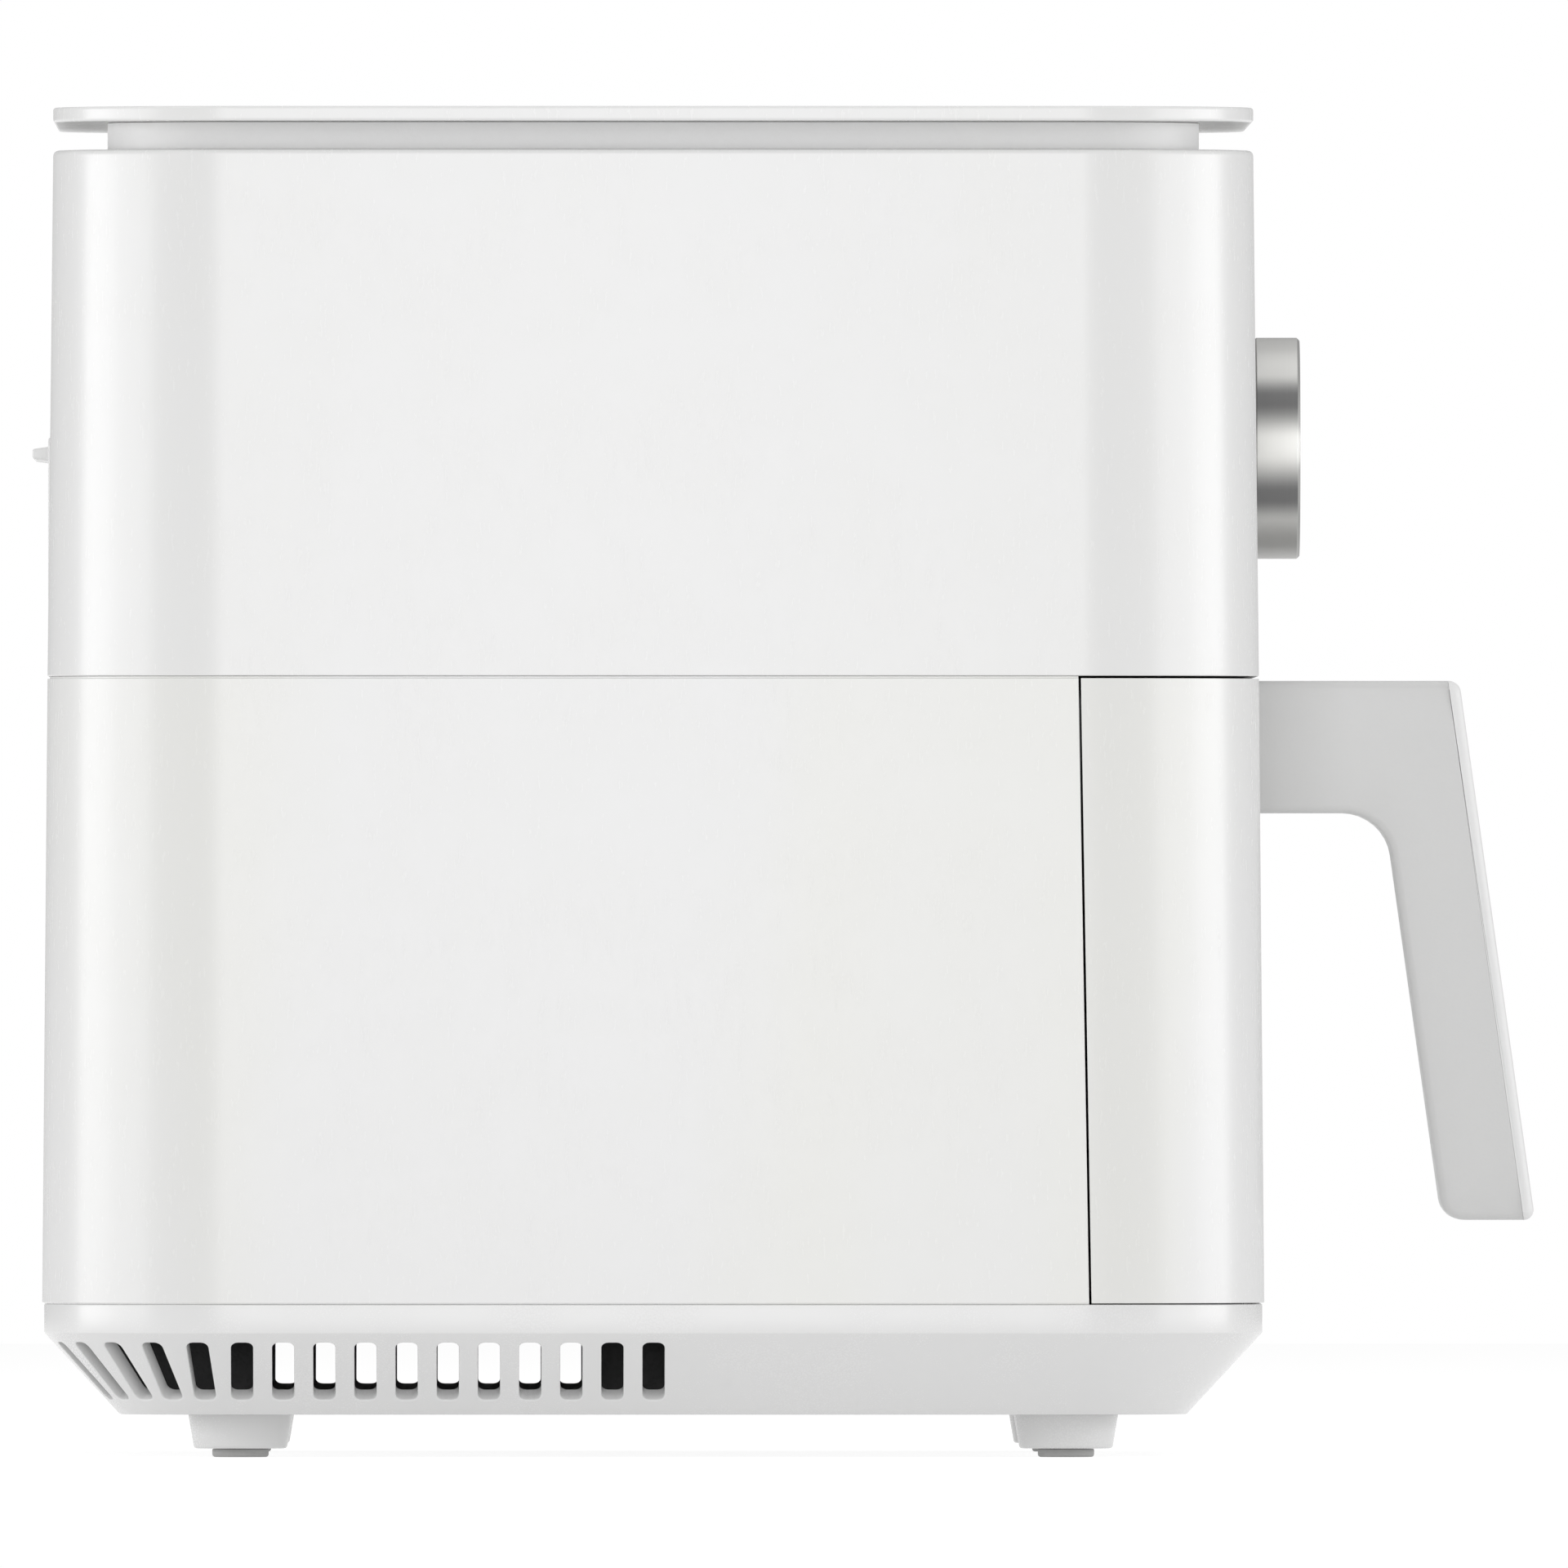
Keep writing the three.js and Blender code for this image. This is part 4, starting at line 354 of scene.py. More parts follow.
class Skin:
    """Faces gathered from grids and flat caps, then made one closed mesh."""

    def __init__(self) -> None:
        """Starts with no faces."""
        self._points: list[Array] = []
        self._faces: list[list[int]] = []
        self._count = 0

    def _take(self, points: Array) -> int:
        """Adds points and gives the number of the first."""
        first = self._count
        self._points.append(points.reshape(-1, 3))
        self._count += len(self._points[-1])
        return first

    def grid(self, points: Array, round_rows: bool = False, round_columns: bool = False) -> "Skin":
        """Adds a sheet of four-sided faces.

        Args:
            points: Points by row and column.
            round_rows: True where the last row meets the first.
            round_columns: True where the last column meets the first.

        Returns:
            The skin itself.
        """
        rows, columns = points.shape[:2]
        number = self._take(points) + np.arange(rows * columns).reshape(rows, columns)
        if round_rows:
            number = np.vstack([number, number[:1]])
        if round_columns:
            number = np.hstack([number, number[:, :1]])
        corners = [number[:-1, :-1], number[1:, :-1], number[1:, 1:], number[:-1, 1:]]
        self._faces += np.stack(corners, axis=-1).reshape(-1, 4).tolist()
        return self

    def cap(self, rim: Array) -> "Skin":
        """Adds one flat face inside a rim."""
        first = self._take(rim)
        self._faces.append(list(range(first, first + len(rim))))
        return self

    def closed(self, points: Array) -> "Skin":
        """Adds rings of points, closed by a flat face on the first and the last ring."""
        return self.grid(points, round_columns=True).cap(points[0]).cap(points[-1])

    def block(self, points: Array) -> "Skin":
        """Adds a half plan's sweep as a solid: its skin, its floor and roof, and its flat end."""
        self.grid(points).cap(points[0]).cap(points[-1])
        return self.cap(np.concatenate([points[:, 0], points[::-1, -1]]))

    def lathe(self, corners: Sequence, radii: float | Sequence, axis: Axis, place: Sequence[float],
              segments: int, steps: int = 4) -> "Skin":
        """Adds a turned solid: a rounded section goes round the third axis.

        A section whose first corner lies on the axis is open there.

        Args:
            corners: The section's corners, as radius and height.
            radii: One radius, or one for each corner.
            axis: Where the third axis points.
            place: Where it starts.
            segments: Stations of a turn.
            steps: Segments of a rounded corner.

        Returns:
            The skin itself.
        """
        closed = corners[0][0] > 0
        points = facing(turned(rounded(corners, radii, steps, closed), segments), axis, place)
        return self.grid(points, round_rows=closed, round_columns=True)

    def drum(self, radius: float, low: float, high: float, axis: Axis, place: Sequence[float] = (0, 0, 0),
             segments: int = 24) -> "Skin":
        """Adds a plain cylinder of some radius from low to high along its axis, and gives the skin."""
        points = turned(np.array([(radius, low), (radius, high)], float), segments)
        return self.closed(facing(points, axis, place))

    def mesh(self, name: str) -> bpy.types.Mesh:
        """Makes the mesh, in metres, with its doubles merged and its faces pointing outwards.

        Args:
            name: The mesh's name.

        Returns:
            The mesh.
        """
        mesh = bpy.data.meshes.new(name)
        mesh.from_pydata(np.concatenate(self._points) * MM, [], self._faces)
        work = bmesh.new()
        work.from_mesh(mesh)
        bmesh.ops.remove_doubles(work, verts=work.verts, dist=2e-6)
        bmesh.ops.dissolve_degenerate(work, edges=work.edges, dist=1e-6)
        bmesh.ops.recalc_face_normals(work, faces=work.faces)
        work.to_mesh(mesh)
        work.free()
        return mesh


# Shading


def operator(operation: str, swapped: bool = False) -> Callable[["Wire", "Wire | float"], "Wire"]:
    """A method of Wire that stands for one of Python's operators.

    Args:
        operation: What the Math node does.
        swapped: True for the reflected form, in which the other value comes first.

    Returns:
        The method.
    """

    def method(self: "Wire", other: "Wire | float") -> "Wire":
        """The operation on this value and the other one."""
        return self.bench.math(operation, *((other, self) if swapped else (self, other)))

    return method


class Wire:
    """A number or a colour on its way between nodes, with arithmetic for numbers."""

    def __init__(self, bench: "Bench", socket: bpy.types.NodeSocket) -> None:
        """Wraps a node's output."""
        self.bench = bench
        self.socket = socket

    __add__, __radd__ = operator("ADD"), operator("ADD", swapped=True)
    __sub__, __rsub__ = operator("SUBTRACT"), operator("SUBTRACT", swapped=True)
    __mul__, __rmul__ = operator("MULTIPLY"), operator("MULTIPLY", swapped=True)
    __truediv__ = operator("DIVIDE")
    __gt__, __lt__ = operator("GREATER_THAN"), operator("LESS_THAN")

    def ramp(self, low: float, high: float, to_low: float = 0.0, to_high: float = 1.0) -> "Wire":
        """A smooth step from to_low to to_high as this goes from low to high."""
        inputs = {"Value": self, "From Min": low, "From Max": high, "To Min": to_low, "To Max": to_high}
        return self.bench.wire("ShaderNodeMapRange", {"interpolation_type": "SMOOTHSTEP"}, inputs)


class Bench:
    """Makes and links the nodes of one material or world."""

    def __init__(self, tree: bpy.types.NodeTree) -> None:
        """Empties the tree that it works on."""
        self.tree = tree
        tree.nodes.clear()

    def node(self, kind: str, settings: dict | None = None, inputs: dict | None = None) -> bpy.types.Node:
        """Makes any node.

        Args:
            kind: The node's type.
            settings: Its own settings, which are set first.
            inputs: Values or wires by socket name or number.

        Returns:
            The node.
        """
        made = self.tree.nodes.new(kind)
        for key, value in (settings or {}).items():
            setattr(made, key, value)
        for key, value in (inputs or {}).items():
            if isinstance(value, Wire):
                self.tree.links.new(value.socket, made.inputs[key])
            else:
                made.inputs[key].default_value = value
        return made

    def wire(self, kind: str, settings: dict | None = None, inputs: dict | None = None,
             output: int | str = 0) -> Wire:
        """Makes any node and gives one of its outputs, by name or number."""
        return Wire(self, self.node(kind, settings, inputs).outputs[output])

    def math(self, operation: str, *values: "Wire | float") -> Wire:
        """One operation on numbers."""
        return self.wire("ShaderNodeMath", {"operation": operation}, dict(enumerate(values)))

    def where(self, scale: Sequence[float] = (1, 1, 1)) -> Wire:
        """Object coordinates, stretched along each axis."""
        place = self.wire("ShaderNodeTexCoord", output="Object")
        return self.wire("ShaderNodeMapping", None, {"Vector": place, "Scale": tuple(scale)})

    def about(self, point: Sequence[float]) -> Wire:
        """Object coordinates measured from a point, in metres."""
        place = self.wire("ShaderNodeTexCoord", output="Object")
        return self.wire("ShaderNodeVectorMath", {"operation": "SUBTRACT"}, {0: place, 1: tuple(point)})

    def parts(self, vector: Wire) -> tuple[Wire, Wire, Wire]:
        """The three coordinates of a vector."""
        made = self.node("ShaderNodeSeparateXYZ", None, {0: vector})
        return tuple(Wire(self, output) for output in made.outputs)

    def noise(self, scale: float, detail: float = 2.0, rough: float = 0.5, at: Wire | None = None) -> Wire:
        """Cloudy noise from 0 to 1, by features a metre, layers, their strength and its coordinates."""
        inputs = {"Vector": at or self.where(), "Scale": scale, "Detail": detail, "Roughness": rough}
        return self.wire("ShaderNodeTexNoise", None, inputs, "Fac")

    def cells(self, scale: float, output: str = "Distance") -> Wire:
        """Cell noise: the distance to the nearest point, or a colour for each cell."""
        return self.wire("ShaderNodeTexVoronoi", None, {"Vector": self.where(), "Scale": scale}, output)

    def blend(self, share: Wire | float, first: Wire | Sequence, second: Wire | Sequence) -> Wire:
        """A colour between two colours."""
        ready = [colour if isinstance(colour, Wire) else (*colour, 1.0) for colour in (first, second)]
        return self.wire("ShaderNodeMix", {"data_type": "RGBA"}, {0: share, 6: ready[0], 7: ready[1]}, 2)

    def relief(self, height: Wire, depth: float) -> Wire:
        """A normal from a height of 0 to 1 that stands for depth metres."""
        return self.wire("ShaderNodeBump", None, {"Height": height, "Distance": depth, "Strength": 1.0})

    def surface(self, **sockets: "Wire | float | Sequence") -> None:
        """Ends the material in one surface shader, whose sockets are named with _ for a space."""
        inputs = {}
        for key, value in sockets.items():
            inputs[key.replace("_", " ")] = (*value, 1.0) if isinstance(value, Sequence) else value
        shader = self.wire("ShaderNodeBsdfPrincipled", None, inputs)
        self.node("ShaderNodeOutputMaterial", None, {"Surface": shader})


@dataclass(frozen=True)
class Finish:
    """What a surface is made of; each kind paints its own nodes."""

    label: str  # the material's name
    slot: Slot  # the record's slot that it belongs to

    def material(self) -> bpy.types.Material:
        """The material, made the first time that it is asked for."""
        known = bpy.data.materials.get(self.label)
        if known:
            return known
        made = bpy.data.materials.new(self.label)
        made.use_nodes = True
        self.paint(Bench(made.node_tree))
        return made

    def paint(self, bench: Bench) -> None:
        """Makes the material's nodes with a bench."""
        raise NotImplementedError


@dataclass(frozen=True)
class GlossPlastic(Finish):
    """Polished moulding: faint warm bands painted as reflection, a trace of orange peel and fine handling
    marks.
    """

    colour: Colour = (0.84, 0.84, 0.84)  # the plastic's own colour
    warm: Colour = (0.835, 0.835, 0.8)  # its colour in the painted reflection bands
    tint: float = 0.15  # how strong the painted reflection bands are
    roughness: float = 0.235  # its usual roughness

    def paint(self, bench: Bench) -> None:
        """Mixes a warm tint in upright bands as painted reflection, and lays a very shallow relief."""
        # upright warm bands along X: painted reflection waviness
        painted_reflection_bands = bench.noise(1.0, 1.0, 0.4, bench.where((17, 3, 1.6))).ramp(0.5, 0.7, 0, self.tint)
        cloud = bench.noise(60, 3, 0.6).ramp(0.3, 0.7, 0.0, 0.08)
        colour = bench.blend(painted_reflection_bands + cloud, self.colour, self.warm)
        marks = bench.noise(900, 4, 0.7, bench.where((1, 1, 0.2))).ramp(0.45, 0.75)
        rough = self.roughness + marks * 0.05 + cloud * 0.2
        peel = bench.noise(260, 1, 0.4)
        bench.surface(Base_Color=colour, Roughness=rough, Normal=bench.relief(peel, 0.000012), IOR=1.5)


@dataclass(frozen=True)
class GrainedPlastic(Finish):
    """Spark-eroded moulding: a fine pitted grain and a wandering tone."""

    colour: Colour = (0.76, 0.76, 0.755)  # the plastic's own colour
    roughness: float = 0.5  # its usual roughness
    grain: float = 1700.0  # pits a metre
    depth: float = 0.00003  # depth of the pits, in metres
    tint: float = 0.05  # how much the tone wanders

    def paint(self, bench: Bench) -> None:
        """Pits from cells and noise, a wandering tone and dull and shiny patches."""
        pits = bench.cells(self.grain).ramp(0.0, 0.75)
        fine = bench.noise(self.grain * 1.6, 2, 0.6)
        height = pits * 0.6 + fine * 0.4
        wander = bench.noise(35, 4, 0.6).ramp(0.3, 0.7)
        darker = tuple(channel * (1 - self.tint) for channel in self.colour)
        lighter = tuple(min(1.0, channel * (1 + self.tint)) for channel in self.colour)
        colour = bench.blend(wander * 0.7 + height * 0.3, darker, lighter)
        rough = self.roughness + (wander - 0.5) * 0.08 + (0.5 - pits) * 0.06
        bench.surface(Base_Color=colour, Roughness=rough, Normal=bench.relief(height, self.depth), IOR=1.48)


@dataclass(frozen=True)
class Rubber(Finish):
    """Soft rubber or silicone: matte, with bloom and a fine moulded grain."""

    colour: Colour = (0.42, 0.42, 0.415)
    bloom: Colour = (0.52, 0.52, 0.51)
    sheen: float = 0.15

    def paint(self, bench: Bench) -> None:
        """A pale bloom in clouds over a fine grain."""
        bloom = bench.noise(140, 5, 0.7).ramp(0.42, 0.75, 0.0, 0.6)
        grain = bench.noise(2400, 3, 0.6)
        bench.surface(
            Base_Color=bench.blend(bloom, self.colour, self.bloom), Roughness=0.78 + bloom * 0.12,
            Normal=bench.relief(grain, 0.00004), Sheen_Weight=self.sheen, Sheen_Roughness=0.5,
        )


@dataclass(frozen=True)
class SpunMetal(Finish):
    """Turned satin metal with painted highlight rays and painted dark reflection rays about its axis, and
    fine tool lines.
    """

    axis: Sequence[float]  # the point that the axis along X passes through, in metres
    middle: float  # from there to the middle of the ring, in metres
    half: float  # half the ring's length, in metres
    pale: Colour = (0.7, 0.697, 0.675)  # the colour of the painted highlight rays
    dark: Colour = (0.16, 0.16, 0.16)  # the colour of the painted dark reflection rays

    def paint(self, bench: Bench) -> None:
        """Painted highlight and reflection rays by the angle about the axis, and tool lines by the distance
        along and from it.
        """
        x, y, z = bench.parts(bench.about(self.axis))
        turn = bench.math("ARCTAN2", z, y) / math.pi
        off_level = bench.math("FRACT", turn + 8.5) - 0.5
        ray = bench.math("ABSOLUTE", off_level) * 180 + (bench.noise(30, 3, 0.6) - 0.5) * 1.5
        # painted highlight where the ring's face turns level, on either side
        painted_highlight = ray.ramp(4, 24, 0.95, 0.0)
        # painted side highlights further round; the dark rays between them are painted reflections
        side = ray.ramp(28, 42, 0.0, 0.62) * ray.ramp(46, 64, 1.0, 0.88)
        share = bench.math("MAXIMUM", painted_highlight, side)
        # on the rims the painted highlights are halved and lifted to a mid tone
        rim = bench.math("ABSOLUTE", x - self.middle) > self.half - 0.0006
        share = bench.math("MAXIMUM", share * (1 - rim * 0.5), rim * 0.3)
        distance = bench.math("SQRT", y * y + z * z)
        along_and_out = bench.wire("ShaderNodeCombineXYZ", None, {0: x * 14000.0, 1: distance * 14000.0})
        lines = bench.noise(1.0, 3, 0.8, along_and_out)
        tone = share + (lines - 0.5) * 0.12
        bench.surface(
            Base_Color=bench.blend(tone, self.dark, self.pale), Metallic=0.55 + share * 0.2,
            Roughness=0.34 + lines * 0.12, Normal=bench.relief(lines, 0.000008),
        )


@dataclass(frozen=True)
class ZincSheet(Finish):
    """Galvanised sheet with soft spangle, rolling lines and a little soot and oil."""

    colour: Colour = (0.55, 0.56, 0.57)
    shade: Colour = (0.42, 0.43, 0.45)
    roughness: float = 0.36

    def paint(self, bench: Bench) -> None:
        """Crystals from cells of one tone each, crossed by rolling lines."""
        tone, _, _ = bench.parts(bench.cells(110, "Color"))
        rolled = bench.noise(1.0, 3, 0.7, bench.where((40, 2200, 2200)))
        stain = bench.noise(18, 5, 0.65).ramp(0.45, 0.8)
        share = tone * 0.55 + rolled * 0.25 + stain * 0.2
        bench.surface(
            Base_Color=bench.blend(share, self.colour, self.shade), Metallic=1.0,
            Roughness=self.roughness + tone * 0.12 + stain * 0.1, Normal=bench.relief(rolled, 0.00001),
        )


@dataclass(frozen=True)
class Steel(Finish):
    """Machined or drawn steel with fine lines, and oil-dark patches."""

    colour: Colour = (0.62, 0.62, 0.62)
    shade: Colour = (0.45, 0.45, 0.46)
    roughness: float = 0.28
    lines: Sequence[float] = (300, 300, 9000)

    def paint(self, bench: Bench) -> None:
        """Drawing lines stretched along the piece, over broad patches."""
        drawn = bench.noise(1.0, 3, 0.75, bench.where(self.lines))
        patch = bench.noise(70, 4, 0.6).ramp(0.4, 0.75)
        bench.surface(
            Base_Color=bench.blend(drawn * 0.5 + patch * 0.5, self.colour, self.shade), Metallic=1.0,
            Roughness=self.roughness + drawn * 0.14 + patch * 0.08, Normal=bench.relief(drawn, 0.000008),
        )


@dataclass(frozen=True)
class NonStick(Finish):
    """Dark non-stick coat: fine orange peel, scattered pale flecks and faint use marks."""

    colour: Colour = (0.03, 0.03, 0.032)
    fleck: Colour = (0.2, 0.2, 0.205)

    def paint(self, bench: Bench) -> None:
        """Flecks where the nearest cell point is close and its cell was drawn pale."""
        near = bench.cells(520).ramp(0.10, 0.2, 1.0, 0.0)
        tone, _, _ = bench.parts(bench.cells(520, "Color"))
        flecks = near * (tone > 0.55)
        use = bench.noise(55, 5, 0.65).ramp(0.45, 0.8)
        peel = bench.noise(1300, 2, 0.5)
        bench.surface(
            Base_Color=bench.blend(flecks * 0.8 + use * 0.06, self.colour, self.fleck),
            Metallic=flecks * 0.5, Roughness=0.36 + use * 0.16 + peel * 0.06,
            Normal=bench.relief(peel, 0.00002), IOR=1.5,
        )


@dataclass(frozen=True)
class HeaterSheath(Finish):
    """Sheath tube darkened by heat, with straw and blue tints and a scaly skin."""

    colour: Colour = (0.13, 0.115, 0.105)
    straw: Colour = (0.24, 0.17, 0.1)
    blue: Colour = (0.09, 0.1, 0.14)

    def paint(self, bench: Bench) -> None:
        """Two tints in clouds of different size over fine scale."""
        straw = bench.noise(45, 3, 0.6).ramp(0.5, 0.75)
        blue = bench.noise(28, 3, 0.6).ramp(0.55, 0.75)
        scale = bench.noise(1800, 4, 0.7)
        tinted = bench.blend(straw * 0.7, self.colour, self.straw)
        bench.surface(
            Base_Color=bench.blend(blue * 0.6, tinted, self.blue), Metallic=1.0,
            Roughness=0.42 + scale * 0.2, Normal=bench.relief(scale, 0.00002),
        )


@dataclass(frozen=True)
class Winding(Finish):
    """Varnished copper wire laid round a ring, with bare laminations at the rim."""

    middle: Sequence[float]  # the ring's middle, in metres
    inner: float  # where the winding starts, from the axis, in metres
    outer: float  # where it ends

    def paint(self, bench: Bench) -> None:
        """Wires by the distance from the axis where copper shows, and stacked sheets elsewhere."""
        x, y, z = bench.parts(bench.about(self.middle))
        out = bench.math("SQRT", x * x + y * y)
        wire = bench.math("SINE", out * 9000.0) * 0.5 + 0.5
        stack = bench.math("SINE", z * 12500.0) * 0.5 + 0.5
        copper = (out > self.inner) * (out < self.outer)
        high = bench.math("ABSOLUTE", z) > 0.0111
        wound = copper * high
        varnish = bench.blend(wire, (0.30, 0.09, 0.035), (0.62, 0.25, 0.11))
        sheets = bench.blend(stack, (0.12, 0.12, 0.125), (0.3, 0.3, 0.31))
        height = wire * wound + stack * (1 - wound)
        bench.surface(
            Base_Color=bench.blend(wound, sheets, varnish), Metallic=1.0,
            Roughness=0.3 + bench.noise(400, 3) * 0.2, Normal=bench.relief(height, 0.0001),
        )


@dataclass(frozen=True)
class CircuitBoard(Finish):
    """Green solder mask with tracks and pads, and parts in their own colours above it."""

    level: float  # the board's face along the axis square to it, in metres
    upright: bool  # True for a board that stands across X, False for one that lies flat

    def paint(self, bench: Bench) -> None:
        """Tracks from square cells, pads from dots, and a dark tone past the board's face."""
        x, y, z = bench.parts(bench.where())
        height, u, v = (x, y, z) if self.upright else (z, x, y)
        track_u = bench.math("FRACT", u * 390.0 + bench.noise(60, 0) * 1.5)
        track_v = bench.math("FRACT", v * 390.0)
        tracks = (track_u < 0.32) * (bench.noise(90, 0) > 0.47)
        pad_u, pad_v = (bench.math("FRACT", way * 210.0) - 0.5 for way in (u, v))
        dot = bench.math("SQRT", pad_u * pad_u + pad_v * pad_v)
        pads = (dot < 0.2) * (bench.noise(75, 0) > 0.55)
        mask = bench.blend(tracks, (0.012, 0.1, 0.045), (0.03, 0.2, 0.085))
        board = bench.blend(pads, mask, (0.6, 0.6, 0.58))
        above = height > self.level + 0.0003
        tall = height > self.level + 0.0095
        part = bench.blend((v * 55.0 + 8.3).ramp(7.2, 7.3), (0.02, 0.05, 0.16), (0.45, 0.34, 0.06))
        part = bench.blend((v * 55.0 + 8.3).ramp(9.2, 9.3), part, (0.02, 0.02, 0.022))
        part = bench.blend(tall * 0.2, part, (0.5, 0.5, 0.5))
        bench.surface(
            Base_Color=bench.blend(above, board, part),
            Roughness=0.34 + pads * -0.1 + track_v * 0.05 + above * 0.1, Metallic=pads * (1 - above),
            Normal=bench.relief(tracks + pads, 0.00003),
        )


@dataclass(frozen=True)
class DisplayGlass(Finish):
    """Dark glass with a ring of printed ticks near its rim and faint smears."""

    middle: Sequence[float]  # the lens's middle, in metres
    rim: float = 0.0132  # the radius of the ticks, in metres

    def paint(self, bench: Bench) -> None:
        """Ticks where the distance from the middle and the turn about it both fit."""
        _, y, z = bench.parts(bench.about(self.middle))
        out = bench.math("SQRT", y * y + z * z)
        ring = (out > self.rim - 0.0008) * (out < self.rim + 0.0005)
        turn = bench.math("FRACT", bench.math("ARCTAN2", z, y) * (24 / (2 * math.pi)) + 12.5)
        tick = ring * (bench.math("ABSOLUTE", turn - 0.5) < 0.09)
        smear = bench.noise(160, 5, 0.7).ramp(0.5, 0.8)
        bench.surface(
            Base_Color=bench.blend(tick, (0.008, 0.008, 0.01), (0.5, 0.52, 0.53)),
            Roughness=0.06 + smear * 0.14 + tick * 0.25, Coat_Weight=0.6, Coat_Roughness=0.04, IOR=1.52,
        )


GLOSS_WHITE = GlossPlastic("gloss_white_plastic", Slot.GLOSS_WHITE)
# Stronger painted reflection bands on the lower housing and the drawer's front.
LOWER_WHITE = GlossPlastic("gloss_white_plastic_lower", Slot.GLOSS_WHITE, tint=0.6)
SATIN_WHITE = GrainedPlastic(
    "satin_white_plastic", Slot.SATIN_WHITE, (0.83, 0.83, 0.828), 0.26, 1900, 0.000002, 0.006
)
COVER_WHITE = GrainedPlastic(
    "cover_white_plastic", Slot.SATIN_WHITE, (0.84, 0.84, 0.838), 0.42, 1900, 0.000012, 0.012
)
# Paler than the body's white: painted light that offsets the shade under the top plate.
NECK_PAINTED_FILL = GrainedPlastic("neck_plastic_painted_fill", Slot.PALE_GREY, (0.93, 0.93, 0.93), 0.5, 1700, 0.00002, 0.02)
# The handle's white plastic darkened to grey: painted shade.
HANDLE_SHADED_WHITE = GrainedPlastic(
    "handle_white_painted_shade", Slot.PALE_GREY, (0.69, 0.69, 0.687), 0.42, 1500, 0.000012, 0.015
)
BLACK_PLASTIC = GrainedPlastic(
    "black_plastic_grained", Slot.BLACK_PLASTIC, (0.02, 0.02, 0.022), 0.5, 1300, 0.00005, 0.25
)
GREY_RUBBER = Rubber("grey_rubber_moulded", Slot.GREY_RUBBER)
SILICONE = Rubber("black_silicone", Slot.SILICONE, (0.03, 0.03, 0.032), (0.06, 0.06, 0.062), 0.3)
NYLON = GrainedPlastic("natural_nylon", Slot.PLUNGER_PLASTIC, (0.5, 0.5, 0.49), 0.4, 1100, 0.00002, 0.05)
ZINC = ZincSheet("zinc_coated_sheet", Slot.ZINC_SHEET)
STEEL = Steel("drawn_steel", Slot.BRIGHT_STEEL)
TURNED_STEEL = Steel(
    "turned_steel", Slot.BRIGHT_STEEL, (0.58, 0.58, 0.585), (0.4, 0.4, 0.41), 0.24, (120, 120, 16000)
)
NON_STICK = NonStick("dark_non_stick_coat", Slot.DARK_COAT)
SHEATH = HeaterSheath("heat_darkened_sheath", Slot.HEATER_SHEATH)


# Making pieces


@dataclass
class Piece:
    """One visible piece, from its skin to its place in the object."""

    node: str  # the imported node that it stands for
    skin: Skin  # its surface
    finish: Finish  # what it is made of
    body: Body = Body.HOUSING  # the body that it rides on
    cuts: Sequence[Skin] = ()  # solids that are taken out of it
    joins: Sequence[Skin] = ()  # solids that become one with it
    edge: float = 0.0  # width of the bevel on its sharp edges, or 0 for none
    level_faces: bool = True  # True to shade its large faces flat

    def make(self) -> None:
        """Makes the object, dresses it and hands it to the frame."""
        made = self._object(self.node + "_form", self.skin)
        for operation, tools in (("UNION", self.joins), ("DIFFERENCE", self.cuts)):
            for tool in tools:
                self._combine(made, tool, operation)
        made.data.shade_smooth()
        made.data.set_sharp_from_angle(angle=math.radians(32))
        if self.edge:
            self._bevel(made)
        if self.level_faces:
            made.modifiers.new("level_faces", "WEIGHTED_NORMAL").keep_sharp = True
        made.data.materials.append(self.finish.material())
        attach(made, self.body.value)
        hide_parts(self.node)
        log.info("%s: %d faces", made.name, len(made.data.polygons))

    @staticmethod
    def _object(name: str, skin: Skin) -> bpy.types.Object:
        """Puts a skin into the scene."""
        made = bpy.data.objects.new(name, skin.mesh(name))
        bpy.context.scene.collection.objects.link(made)
        return made

    def _combine(self, made: bpy.types.Object, tool: Skin, operation: str) -> None:
        """Joins a solid to the piece or takes it out, and keeps the result as plain faces.

        Args:
            made: The piece's object.
            tool: The solid.
            operation: UNION or DIFFERENCE.
        """
        cutter = self._object("tool", tool)
        change = made.modifiers.new("change", "BOOLEAN")
        change.operation, change.solver, change.object = operation, "EXACT", cutter
        shapes = bpy.context.evaluated_depsgraph_get()
        result = bpy.data.meshes.new_from_object(made.evaluated_get(shapes))
        made.modifiers.clear()
        old, made.data = made.data, result
        result.name = made.name
        bpy.data.meshes.remove(old)
        bpy.data.meshes.remove(cutter.data)

    def _bevel(self, made: bpy.types.Object) -> None:
        """Rounds the sharp edges."""
        bevel = made.modifiers.new("edge", "BEVEL")
        bevel.width, bevel.segments = self.edge * MM, 3
        bevel.limit_method, bevel.angle_limit = "ANGLE", math.radians(40)
        bevel.miter_outer = "MITER_ARC"


def dress(finish: Finish, *nodes: str) -> None:
    """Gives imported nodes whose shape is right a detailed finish.

    Args:
        finish: The finish.
        nodes: The nodes.
    """
    for node in nodes:
        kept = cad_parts[node]
        kept.data.materials.clear()
        kept.data.materials.append(finish.material())
        log.info("%s: kept, in %s", node, finish.label)


# The housing's form


